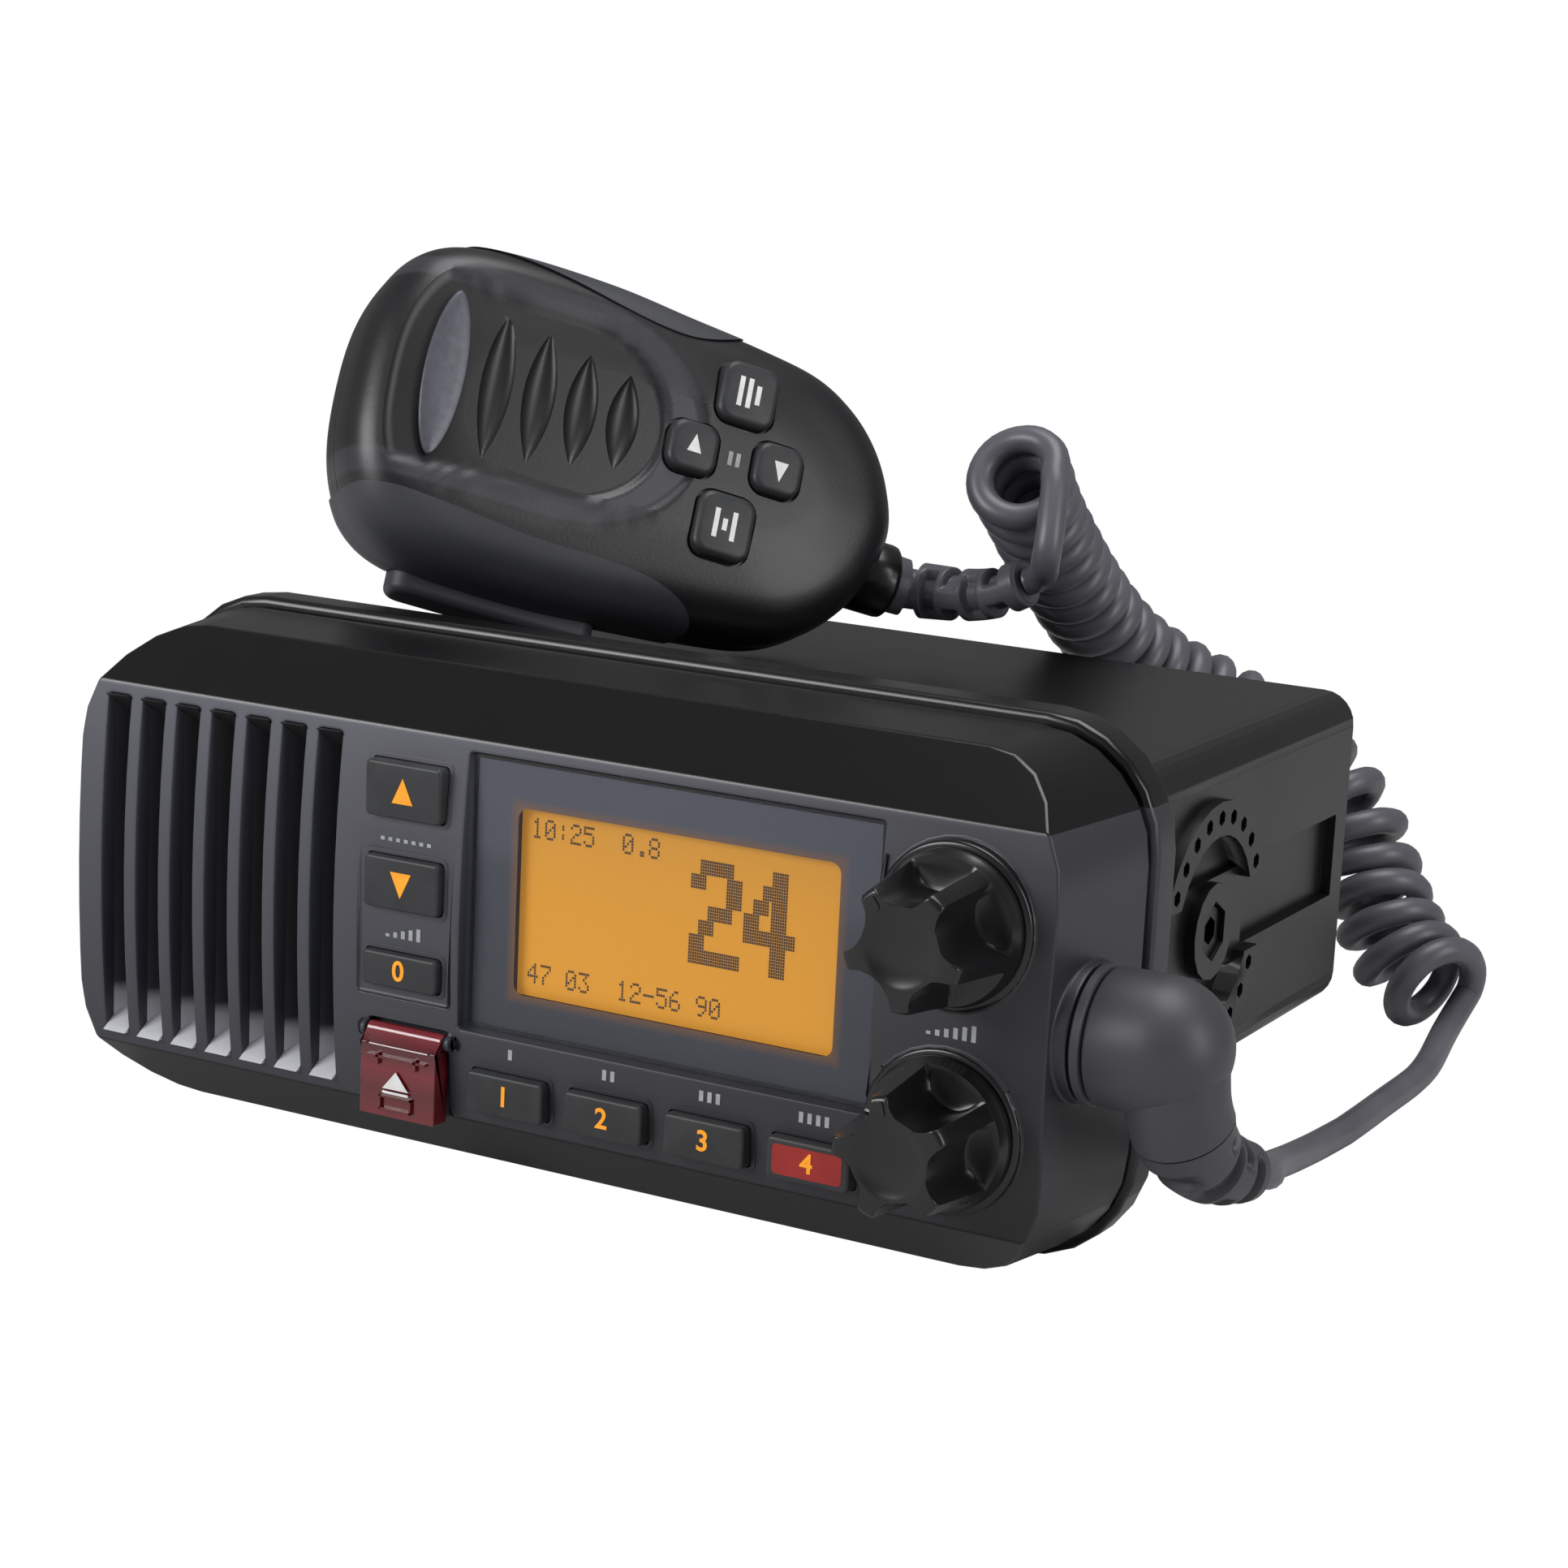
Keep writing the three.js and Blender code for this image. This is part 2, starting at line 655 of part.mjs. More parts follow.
for (const [name, height] of Object.entries(knobHeights)) {
  const collar = turned(pinProfile(collarRadius, collarFront, innerFace - seatGap), fineSides);
  bezel = bezel.add(solidOf(collar.translate(knobX, 0, height)));
  const bushBore = turned(pinProfile(bushRadius + runGap, noseDepth, innerFace + overrun), roundSides);
  bezel = bezel.subtract(solidOf(bushBore.translate(knobX, 0, height)));

  const waistPlace = knobBack - skirtHeight;
  const waistRadius = knobRadius * skirtRadiusShare;
  let knob = solidOf(turned([
    [0, knobBack],
    [knobRadius, knobBack],
    [knobRadius, knobBack - knobEase],
    [waistRadius, waistPlace],
    [knobTipRadius + knobEase, knobFront + knobEase],
    [knobTipRadius, knobFront],
    [knobDishRadius, knobFront],
    [knobDishRadius / 2, knobFront + knobDishDepth * dishRimShare],
    [0, knobFront + knobDishDepth],
  ], fineSides));
  for (let i = 0; i < knobLobes; i += 1) {
    const angle = knobLean[name] * Math.PI / 180 + (2 * i + 1) / knobLobes * Math.PI;
    const scallop = turned(pinProfile(scallopRadius, knobFront - overrun, waistPlace), roundSides);
    scallop.translate(scallopPlace * Math.cos(angle), 0, scallopPlace * Math.sin(angle));
    knob = knob.subtract(solidOf(scallop));
  }
  const pointer = box(
    -pointerWidth / 2,
    pointerWidth / 2,
    knobFront - pointerWidth / 4,
    knobFront + pointerWidth,
    knobTipRadius - pointerLength,
    knobTipRadius - pointerWidth / 4,
  ).rotateY(-(knobLean[name] - 90) * Math.PI / 180);
  knob = knob.add(solidOf(pointer));
  const shaftBore = turned(pinProfile(shaftRadius + seatGap, shaftTipPlace - seatGap, knobBack + overrun));
  knob = knob.subtract(solidOf(shaftBore));
  piece(`${name}_knob`, knob, 'black').position.set(knobX, 0, height);

  const potFront = innerFace + seatGap;
  const shaftBack = potFront + potLength - sheetWall;
  const shaft = turned(pinProfile(shaftRadius, shaftTipPlace, shaftBack), roundSides);
  piece(`${name}_shaft`, shaft, 'steel').position.set(knobX, 0, height);
  const bodyProfile = [
    [0, potFront + potLength],
    [potRadius, potFront + potLength],
    [potRadius, potFront],
    [bushRadius, potFront],
    [bushRadius, collarFront + seatGap],
    [shaftRadius + runGap, collarFront + seatGap],
    [shaftRadius + runGap, shaftBack + runGap],
    [0, shaftBack + runGap],
  ];
  piece(`${name}_potentiometer`, turned(bodyProfile), 'darkPlastic').position.set(knobX, 0, height);
}

// Socket for the microphone plug, in a round boss on the right side
const socketY = 11;
const socketBossRadius = 10.9;
const socketBossInset = 1;
const socketBossEnd = flangeWidth / 2 - socketBossInset;
const socketBoreRadius = 6.2;
const socketInset = 10.5;
const socketInner = noseWidth / 2 - socketInset;
const socketLipRadius = 7.4;
const socketLip = 1.4;
const socketWall = 6.7;
const hollowSide = noseWidth / 2 - socketWall;
const boss = turnedX(pinProfile(socketBossRadius, hollowSide, socketBossEnd), fineSides);
bezel = bezel.add(solidOf(boss.translate(0, socketY, 0)));
const socketBore = turnedX(
  pinProfile(socketBoreRadius + seatGap, hollowSide - overrun, socketBossEnd + overrun),
);
bezel = bezel.subtract(solidOf(socketBore.translate(0, socketY, 0)));
piece('front_bezel', bezel, 'housing');
const pinHoleRadius = 4.4;
const socketProfile = [
  [0, socketInner],
  [socketLipRadius, socketInner],
  [socketLipRadius, hollowSide - seatGap],
  [socketBoreRadius, hollowSide - seatGap],
  [socketBoreRadius, socketBossEnd],
  [pinHoleRadius, socketBossEnd],
  [pinHoleRadius, socketInner + socketLip],
  [0, socketInner + socketLip],
];
piece('mic_socket', turnedX(socketProfile), 'brass').position.set(0, socketY, 0);

// Keypad mat, display and front circuit board behind the face
const matBack = matFront + 3.2;
const matMargin = 2;
const matTopInset = 1.4;
const matColumnTop = lensTop - matTopInset;
const matBottom = rowBottom - keyLip;
const matShape = polygon([
  [columnLeft - matMargin, matBottom],
  [rowRight + matMargin, matBottom],
  [rowRight + matMargin, lensBottom - lensSeat],
  [columnRight + matMargin, lensBottom - lensSeat],
  [columnRight + matMargin, matColumnTop],
  [columnLeft - matMargin, matColumnTop],
]);
piece('keypad_mat', alongY(matShape, matFront, matBack), 'keyRubber');

const screenInset = 8;
const screenOutset = 7.1;
const screenRise = 6.2;
const screenDrop = 7.4;
const screenLeft = lensLeft + screenInset;
const screenRight = lensRight - screenOutset;
const screenBottom = lensBottom + screenRise;
const screenTop = lensTop - screenDrop;
const frameSide = 6;
const frameFront = innerFace + seatGap;
const boardFront = matBack + seatGap;
const frameOutline = polygon([
  [screenLeft - frameSide, screenBottom - frameSide],
  [screenRight + frameSide, screenBottom - frameSide],
  [screenRight + frameSide, screenTop + frameSide],
  [screenLeft - frameSide, screenTop + frameSide],
]);
const frameSolid = solidOf(alongY(frameOutline, frameFront, boardFront - seatGap));
const screenRoom = box(
  screenLeft,
  screenRight,
  frameFront - overrun,
  boardFront + overrun,
  screenBottom,
  screenTop,
);
piece('display_frame', frameSolid.subtract(solidOf(screenRoom)), 'darkPlastic');
piece(
  'display_screen',
  box(
    screenLeft + seatGap,
    screenRight - seatGap,
    frameFront + seatGap,
    boardFront - seatGap,
    screenBottom + seatGap,
    screenTop - seatGap,
  ),
  'amber',
);
const frontBoardLeft = columnLeft - 2 * matMargin;
const frontBoardMargin = 2.5;
const frontBoardInset = 1.4;
const frontBoardRight = lensRight + frontBoardMargin;
const frontBoardTop = faceHeight / 2 - frontBoardInset;
const frontBoardBack = boardFront + boardThickness;
const frontBoard = box(
  frontBoardLeft,
  frontBoardRight,
  boardFront,
  frontBoardBack,
  -frontBoardTop,
  frontBoardTop,
);
piece('front_circuit_board', frontBoard, 'board');

// Loudspeaker behind the grille
const speakerFlangeThickness = 1.4;
const speakerDepth = 14;
const basketRadius = 11;
const basketWall = 1;
const magnetRadius = 12;
const magnetLength = 7;
const coneRadius = 18.6;
const coneWall = 0.7;
const capRadius = 6;
const speakerFront = slotDepth + seatGap;
const speakerBack = speakerFront + speakerDepth;
const flangeBack = speakerFront + speakerFlangeThickness;
const basket = [
  [speakerRadius - speakerFlange, speakerFront],
  [speakerRadius, speakerFront],
  [speakerRadius, flangeBack],
  [speakerRadius - speakerFlange + basketWall, flangeBack],
  [basketRadius + basketWall, speakerBack - basketWall],
  [basketRadius + basketWall, speakerBack],
  [0, speakerBack],
  [0, speakerBack - basketWall],
  [basketRadius, speakerBack - basketWall],
  [speakerRadius - speakerFlange, flangeBack],
  [speakerRadius - speakerFlange, speakerFront],
];
piece('speaker_frame', turned(basket), 'steel').position.set(grilleMiddle, 0, 0);
const coneProfile = [
  [0, speakerBack - basketWall - seatGap - 2 * coneWall],
  [capRadius, speakerBack - basketWall - seatGap - 2 * coneWall],
  [coneRadius, speakerFront + coneWall],
  [coneRadius + coneWall, speakerFront + coneWall],
  [coneRadius + coneWall, speakerFront + 2 * coneWall],
  [basketRadius - 2 * coneWall, speakerBack - basketWall - seatGap],
  [0, speakerBack - basketWall - seatGap],
];
piece('speaker_cone', turned(coneProfile), 'paper').position.set(grilleMiddle, 0, 0);
const magnetFront = speakerBack + seatGap;
const magnet = turned(pinProfile(magnetRadius, magnetFront, magnetFront + magnetLength));
piece('speaker_magnet', magnet, 'steel').position.set(grilleMiddle, 0, 0);

// Seal between the housing's ledge and the rear casing
const sealOuter = roundedRectangle(
  recessHalfWidth - seatGap,
  recessHalfHeight - seatGap,
  recessRadius - seatGap,
);
const sealInner = roundedRectangle(
  hollowHalfWidth + seatGap,
  hollowHalfHeight + seatGap,
  recessRadius - ledgeWidth / 2 + seatGap,
);
sealOuter.holes.push(sealInner);
const sealFront = ledgePlace + seatGap;
piece('housing_seal', alongY(sealOuter, sealFront, sealFront + sealThickness), 'rubber');

// Rear casing: a die-cast tub with a mounting plate, cooling fins and a knuckle on each side for the
// mounting bracket
const tubHalfWidth = chassisWidth / 2;
const tubHalfHeight = chassisHeight / 2;
const rearEase = 2.5;
const rearWall = 4;
const finDepth = 7;
const finSlotWidth = 4.4;
const finPitch = 7;
const finInnermost = 37;
const finSideRoom = 7.8;
const finMargin = 4;
const finCount = 1 + Math.floor((tubHalfWidth - finSideRoom - finInnermost) / finPitch);
const plateRing = [recessHalfWidth - seatGap, recessHalfHeight - seatGap, recessRadius - seatGap];
const plate = loft([ringAcrossY(plateFront, ...plateRing), ringAcrossY(plateBack, ...plateRing)]);
const easedHalfWidth = tubHalfWidth - rearEase;
const easedHalfHeight = tubHalfHeight - rearEase;
const tub = loft([
  ringAcrossY(plateFront + seatGap, tubHalfWidth, tubHalfHeight, chassisRadius, chassisLift),
  ringAcrossY(chassisRear - rearEase, tubHalfWidth, tubHalfHeight, chassisRadius, chassisLift),
  ringAcrossY(chassisRear, easedHalfWidth, easedHalfHeight, chassisRadius, chassisLift),
]);
const tubInner = [tubHalfWidth - sheetWall, tubHalfHeight - sheetWall, chassisRadius - sheetWall / 2];
const tubInnerBack = chassisRear - finDepth - rearWall;
const tubHollow = loft([
  ringAcrossY(plateFront - overrun, ...tubInner, chassisLift),
  ringAcrossY(tubInnerBack, ...tubInner, chassisLift),
]);
let chassis = solidOf(plate).add(solidOf(tub)).subtract(solidOf(tubHollow));
for (const side of [-1, 1]) {
  for (let i = 0; i < finCount; i += 1) {
    const middle = side * (finInnermost + i * finPitch);
    const slot = box(
      middle - finSlotWidth / 2,
      middle + finSlotWidth / 2,
      chassisRear - finDepth,
      chassisRear + overrun,
      chassisLift - tubHalfHeight + finMargin,
      chassisLift + tubHalfHeight - finMargin,
    );
    chassis = chassis.subtract(solidOf(slot));
  }
}
for (const [x, z] of screwPlaces) {
  const holeProfile = pinProfile(screwRadius + runGap, plateFront - overrun, plateBack + overrun);
  const hole = turned(holeProfile, smallSides);
  chassis = chassis.subtract(solidOf(hole.translate(x, 0, z)));
}

// Bracket knuckles: two toothed arcs, a round boss with a captive nut, and a guide slot to the rear
const knuckleY = 79.7;
const arcMargin = 6.8;
const arcBand = 5.9;
const arcOuter = tubHalfHeight - arcMargin;
const arcInner = arcOuter - arcBand;
const arcProud = 2;
const arcCut = 6.5;
const detentInset = 3.1;
const detentCircle = arcInner + detentInset;
const detentRadius = 1.4;
const detentDepth = 1.6;
const detentsPerSide = 4;
const detentEndShare = 0.5;
const detentStep = Math.acos(arcCut / detentCircle) / (detentsPerSide + detentEndShare);
const pocketSink = 1.6;
const bossRadius = 8.3;
const nutAcross = 4.9;
const nutDepth = 6;
const nutHoleRadius = 2.5;
const nutSink = 0.8;
const guideTop = 9;
const guideBottom = -6;
const guideSetBack = 17.3;
const guideRearInset = 8;
const guideFront = knuckleY + guideSetBack;
const guideBack = chassisRear - guideRearInset;
const guideSink = 2;
for (const side of [-1, 1]) {
  const outward = side > 0 ? tubHalfWidth : -tubHalfWidth;
  const proudEnd = outward + side * arcProud;
  const inEnd = outward - side * sheetWall / 2;
  const low = Math.min(proudEnd, inEnd);
  const high = Math.max(proudEnd, inEnd);
  const arc = solidOf(turnedX(tubeProfile(arcOuter, arcInner, low, high), fineSides));
  const middleCut = box(low - overrun, high + overrun, -arcOuter, arcOuter, -arcCut, arcCut);
  const sinkFrom = Math.min(outward - side * pocketSink, proudEnd + side * overrun);
  const sinkTo = Math.max(outward - side * pocketSink, proudEnd + side * overrun);
  const sink = solidOf(turnedX(pinProfile(arcInner, sinkFrom, sinkTo), fineSides));
  const sinkKeep = box(sinkFrom - overrun, sinkTo + overrun, -arcOuter, arcOuter, -bossRadius, bossRadius);
  const disc = turnedX(pinProfile(bossRadius, low, high), roundSides);
  const backingEnd = inEnd - side * nutDepth;
  const backingProfile = pinProfile(bossRadius, Math.min(inEnd, backingEnd), Math.max(inEnd, backingEnd));
  const backing = turnedX(backingProfile, roundSides);
  let knuckle = arc.subtract(solidOf(middleCut)).add(solidOf(disc)).add(solidOf(backing));
  const toPlace = (geometry) => solidOf(geometryOf(geometry).translate(0, knuckleY, 0));
  chassis = chassis.subtract(toPlace(sink.subtract(solidOf(sinkKeep))));
  for (const half of [0, Math.PI]) {
    for (let i = -detentsPerSide; i <= detentsPerSide; i += 1) {
      const angle = half + Math.PI / 2 + i * detentStep;
      const from = Math.min(proudEnd - side * detentDepth, proudEnd + side * overrun);
      const to = Math.max(proudEnd - side * detentDepth, proudEnd + side * overrun);
      const hole = turnedX(pinProfile(detentRadius, from, to), hexSides);
      hole.translate(0, detentCircle * Math.cos(angle), detentCircle * Math.sin(angle));
      knuckle = knuckle.subtract(solidOf(hole));
    }
  }
  chassis = chassis.add(toPlace(knuckle));
  const guide = box(
    Math.min(outward - side * guideSink, outward + side * overrun),
    Math.max(outward - side * guideSink, outward + side * overrun),
    guideFront,
    guideBack,
    guideBottom,
    guideTop,
  );
  chassis = chassis.subtract(solidOf(guide));
  const nutOut = proudEnd - side * nutSink;
  const nutIn = nutOut - side * nutDepth;
  const nutRoomIn = nutIn - side * seatGap;
  const nutRoomOut = proudEnd + side * overrun;
  const nutRoomProfile = pinProfile(
    nutAcross + seatGap,
    Math.min(nutRoomIn, nutRoomOut),
    Math.max(nutRoomIn, nutRoomOut),
  );
  const nutRoom = turnedX(nutRoomProfile, hexSides);
  chassis = chassis.subtract(solidOf(nutRoom.translate(0, knuckleY, 0)));
  const nutProfile = tubeProfile(nutAcross, nutHoleRadius, Math.min(nutIn, nutOut), Math.max(nutIn, nutOut));
  const nut = turnedX(nutProfile, hexSides);
  const nutName = side > 0 ? 'bracket_nut_right' : 'bracket_nut_left';
  piece(nutName, nut, 'steel').position.set(0, knuckleY, 0);
}

// Rear sockets: the aerial's threaded socket and the sealed inlet for the power lead
const aerialX = 18;
const aerialZ = 4;
const aerialRadius = 7.6;
const aerialBoreRadius = 2;
const aerialReach = 12;
const aerialFlange = 10.5;
const rearFlangeThickness = 2.4;
const rearBoreDepth = 6;
const inletX = -18;
const inletRadius = 5.5;
const inletFlange = 8.5;
const inletReach = 9;
const inletBoreRadius = 2.3;
const rearPieces = [
  ['aerial_socket', aerialX, aerialZ, aerialRadius, aerialFlange, aerialReach, aerialBoreRadius, 'brass'],
  ['power_inlet', inletX, aerialZ, inletRadius, inletFlange, inletReach, inletBoreRadius, 'rubber'],
];
const socketFlangeFront = chassisRear + seatGap;
for (const [name, x, z, radius, flange, reach, bore, finish] of rearPieces) {
  const through = turned(pinProfile(radius + seatGap, tubInnerBack - overrun, chassisRear + overrun));
  chassis = chassis.subtract(solidOf(through.translate(x, 0, z)));
  const body = [
    [0, tubInnerBack],
    [radius, tubInnerBack],
    [radius, socketFlangeFront],
    [flange, socketFlangeFront],
    [flange, socketFlangeFront + rearFlangeThickness],
    [radius, socketFlangeFront + rearFlangeThickness],
    [radius, chassisRear + reach],
    [bore, chassisRear + reach],
    [bore, chassisRear + reach - rearBoreDepth],
    [0, chassisRear + reach - rearBoreDepth],
  ];
  piece(name, turned(body), finish).position.set(x, 0, z);
}

// Main circuit board on four posts, with the shielded radio stage
const mainBoardSideInset = 14;
const mainBoardSetBack = 9.6;
const mainBoardRearInset = 10;
const standHeight = 9.5;
const standRadius = 3.2;
const standInset = 6;
const tubFloor = chassisLift - tubHalfHeight + sheetWall;
const mainBoardLeft = mainBoardSideInset - tubHalfWidth;
const mainBoardRight = tubHalfWidth - mainBoardSideInset;
const mainBoardFront = plateBack + mainBoardSetBack;
const mainBoardBack = tubInnerBack - mainBoardRearInset;
const mainBoardZ = tubFloor + standHeight;
const standXs = [mainBoardLeft + standInset, mainBoardRight - standInset];
const standYs = [mainBoardFront + standInset, mainBoardBack - standInset];
for (const x of standXs) {
  for (const y of standYs) {
    const standProfile = pinProfile(standRadius, tubFloor - sheetWall / 2, mainBoardZ - seatGap);
    const stand = turnedZ(standProfile, smallSides);
    chassis = chassis.add(solidOf(stand.translate(x, y, 0)));
  }
}
piece('rear_casing', chassis, 'casting');
const mainBoardTop = mainBoardZ + boardThickness;
piece(
  'main_circuit_board',
  box(mainBoardLeft, mainBoardRight, mainBoardFront, mainBoardBack, mainBoardZ, mainBoardTop),
  'board',
);
const canLeftInset = 28;
const canRightInset = 38;
const canEndInset = 16;
const canHeight = 12;
const canLeft = mainBoardLeft + canLeftInset;
const canRight = mainBoardRight - canRightInset;
const canFront = mainBoardFront + canEndInset;
const canBack = mainBoardBack - canEndInset;
const canBottom = mainBoardTop + seatGap;
const can = box(canLeft, canRight, canFront, canBack, canBottom, canBottom + canHeight);
piece('radio_shield_can', can, 'steel');

// Screws that hold the casing's plate to the housing's posts
const screwNames = ['casing_screw_1', 'casing_screw_2', 'casing_screw_3', 'casing_screw_4'];
const headFront = plateBack + seatGap;
const screwProfile = [
  [0, plateBack - screwLength + overrun],
  [screwRadius, plateBack - screwLength + overrun],
  [screwRadius, headFront],
  [screwHeadRadius, headFront],
  [screwHeadRadius, headFront + screwHeadHeight],
  [0, headFront + screwHeadHeight],
];
screwPlaces.forEach(([x, z], i) => {
  piece(screwNames[i], turned(screwProfile, smallSides), 'steel').position.set(x, 0, z);
});

// Plug: a locking ring, an elbow with a domed end, and a slotted boot that bends down and back
const ringFront = socketBossEnd + seatGap;
const ringLength = 1.7;
const ringRadius = 10.9;
const elbowRadius = 10.7;
const elbowStraight = 8.6;
const elbowStart = ringFront + ringLength + seatGap;
const domeSteps = 7;
const neckRadius = 8;
const ringProfile = [
  [pinHoleRadius, ringFront],
  [ringRadius, ringFront],
  [ringRadius, ringFront + ringLength],
  [pinHoleRadius, ringFront + ringLength],
  [pinHoleRadius, ringFront],
];
piece('plug_ring', turnedX(ringProfile, fineSides), 'rubber').position.set(0, socketY, 0);
const domeCentre = elbowStart + elbowStraight;
const elbowProfile = [
  [0, elbowStart],
  [elbowRadius - seatGap, elbowStart],
  [elbowRadius, elbowStart + seatGap],
];
for (let i = 0; i <= domeSteps; i += 1) {
  const angle = i / domeSteps * Math.PI / 2;
  const radius = i === domeSteps ? 0 : elbowRadius * Math.cos(angle);
  elbowProfile.push([radius, domeCentre + elbowRadius * Math.sin(angle)]);
}
const dome = vector([domeCentre, socketY, 0]);
const bootShares = [
  [0.215, 0, -0.2804],
  [0.2523, 0.0561, -0.7944],
  [0.3271, 0.2617, -1.271],
  [0.4766, 0.6916, -1.7196],
  [0.6262, 1.1776, -1.9533],
  [0.7383, 1.6262, -2.0841],
];
const bootRoute = bootShares.map((shares) => vector(shares).multiplyScalar(elbowRadius).add(dome));
const spigotStart = socketInner + socketLip + seatGap;
const spigotProfile = pinProfile(pinHoleRadius - seatGap, spigotStart, elbowStart + overrun);
const elbowParts = [turnedX(elbowProfile, fineSides), turnedX(spigotProfile, roundSides)];
const [elbowDome, elbowSpigot] = elbowParts.map((shape) => solidOf(shape.translate(0, socketY, 0)));
const bootSteps = 15;
const neckSteps = 5;
const bootTipRadius = 4.8;
const ribSink = 0.8;
const ribSpacing = 3;
const bootPoints = new THREE.CatmullRomCurve3(bootRoute).getSpacedPoints(bootSteps);
const bootRadii = bootPoints.map((point, i) => {
  const along = Math.max(i - neckSteps, 0);
  const taper = neckRadius + (bootTipRadius - neckRadius) * along / (bootSteps - neckSteps);
  return along % ribSpacing === 1 ? taper - ribSink : taper;
});
const bootRings = roundRings(bootPoints, bootRadii, roundSides);
const neckRings = bootRings.slice(0, neckSteps + 1);
const bootAhead = bootPoints[neckSteps + 1].clone().sub(bootPoints[neckSteps - 1]).normalize();
const bootStart = bootRings[neckSteps].map((p) => p.clone().addScaledVector(bootAhead, seatGap));
piece('plug_elbow', elbowDome.add(elbowSpigot).add(solidOf(loft(neckRings))), 'rubber');
piece('plug_boot', loft([bootStart, ...bootRings.slice(neckSteps + 1)]), 'rubber');

// Hand microphone, laid out in its own frame: X towards the cord, Y across and Z out of its front.
// It leans on the casing with the middle of its lower side.
const mic = new THREE.Group();
const micRestShift = -43.661;
const micRestBack = 66.853;
const micRestDrop = 2.383;
const micRestShare = 0.55;
const micTurn = 46;
const micTip = 16;
const micLean = 67.5;
mic.rotation.set(micLean * Math.PI / 180, micTip * Math.PI / 180, micTurn * Math.PI / 180, 'ZYX');
mic.position.set(micRestShift, micRestBack, flangeTop - micRestDrop);
mic.position.addScaledVector(new THREE.Vector3(0, 1, 0).applyEuler(mic.rotation), micWidth / 2);
mic.position.addScaledVector(new THREE.Vector3(0, 0, 1).applyEuler(mic.rotation), micDepth * micRestShare);
radio.add(mic);

// Half of the outline: shares of the length from the blunt end, and of the half width
const outlineShares = [
  [0, 0],
  [0.006, 0.34],
  [0.028, 0.61],
  [0.066, 0.82],
  [0.132, 0.95],
  [0.245, 1],
  [0.415, 1],
  [0.557, 0.955],
  [0.698, 0.91],
  [0.811, 0.845],
  [0.887, 0.71],
  [0.943, 0.52],
  [0.981, 0.28],
  [1, 0],
];
const micStart = -43.4;
const micMiddle = micStart + micLength / 2;
const micSideShift = -1.9;
const micShell = 2.2;
const micPart = -16;

// One ring of the microphone's outline, drawn in by an inset, at one height
function micRing(height, inset) {
  const long = 1 - 2 * inset / micLength;
  const wide = 1 - 2 * inset / micWidth;
  const upper = outlineShares.map(([along, across]) => new THREE.Vector3(
    micMiddle + (along - 0.5) * micLength * long,
    micSideShift + across * micWidth / 2 * wide,
    height,
  ));
  const middle = upper.slice(1, -1).reverse();
  const lower = middle.map((p) => new THREE.Vector3(p.x, 2 * micSideShift - p.y, height));
  return [...upper, ...lower];
}

// Heights as shares of the depth below the front, with insets as shares of half the width
const frontShares = [[0, 0.6], [0.025, 0.37], [0.07, 0.19], [0.15, 0.08], [0.27, 0.02], [0.4, 0]];
const backShares = [[0.7, 0.01], [0.84, 0.07], [0.95, 0.19], [1, 0.36]];
const insetRange = micWidth / 2;
function micBody(shrink) {
  const ringAt = (height, inset) => micRing(height, inset * insetRange + shrink);
  const upper = frontShares.map(([down, inset]) => ringAt(-down * micDepth - shrink, inset));
  const lower = backShares.map(([down, inset]) => ringAt(shrink - down * micDepth, inset));
  return solidOf(loft([...upper, ...lower]));
}
const micWhole = micBody(0);
const gripThickness = 1.6;
const micUnderGrip = micBody(gripThickness);
const micGripBed = micBody(gripThickness + seatGap);
const micHollow = micBody(gripThickness + seatGap + micShell);

// Where the two rubber grips lie: an outline in shares of the length and of the half width
const gripShares = [
  [-0.03, 0.6],
  [0.2, 0.67],
  [0.35, 0.72],
  [0.5, 0.71],
  [0.6, 0.78],
  [0.67, 0.92],
  [0.7, 1.2],
  [-0.03, 1.2],
];
const gripLow = -27;
const gripEndShare = 0.5;
function gripRegion(side, grow) {
  const shape = polygon(gripShares.map(([along, across]) => [
    micStart + along * micLength + (along > gripEndShare ? grow : 0),
    micSideShift + side * (across * micWidth / 2 - grow),
  ]));
  return solidOf(alongZ(shape, gripLow - grow, overrun));
}

// Press-to-talk bar in the lower side
const pttLeft = -26.5;
const pttRight = 12;
const pttHigh = -17;
const pttLow = -26;
const pttOut = 2.6;
const pttTravel = 1.8;
const pttIn = 6.5;
const pttInner = micWidth / 2 - micSideShift - pttIn;
const pttOuter = micWidth / 2 - micSideShift + pttOut;
const pttEase = 2.4;
const pttSlot = box(
  pttLeft - runGap,
  pttRight + runGap,
  -pttOuter - overrun,
  -pttInner + pttTravel,
  pttLow - runGap,
  pttHigh + runGap,
);

function micSlab(bottom, top) {
  return solidOf(box(micStart - overrun, micStart + micLength + overrun, -micWidth, micWidth, bottom, top));
}
let frontShell = micWhole.intersect(micSlab(micPart, micDepth)).subtract(micHollow);
let backShell = micWhole.intersect(micSlab(-2 * micDepth, micPart - seatGap)).subtract(micHollow);
const gripNames = { 1: 'mic_grip_upper', '-1': 'mic_grip_lower' };
for (const side of [1, -1]) {
  const bed = gripRegion(side, seatGap).subtract(micGripBed);
  frontShell = frontShell.subtract(bed);
  backShell = backShell.subtract(bed);
  let grip = micWhole.intersect(gripRegion(side, 0)).subtract(micUnderGrip);
  if (side < 0) {
    grip = grip.subtract(solidOf(pttSlot));
  }
  piece(gripNames[side], grip, 'rubber', mic);
}
backShell = backShell.subtract(solidOf(pttSlot));
frontShell = frontShell.subtract(solidOf(pttSlot));

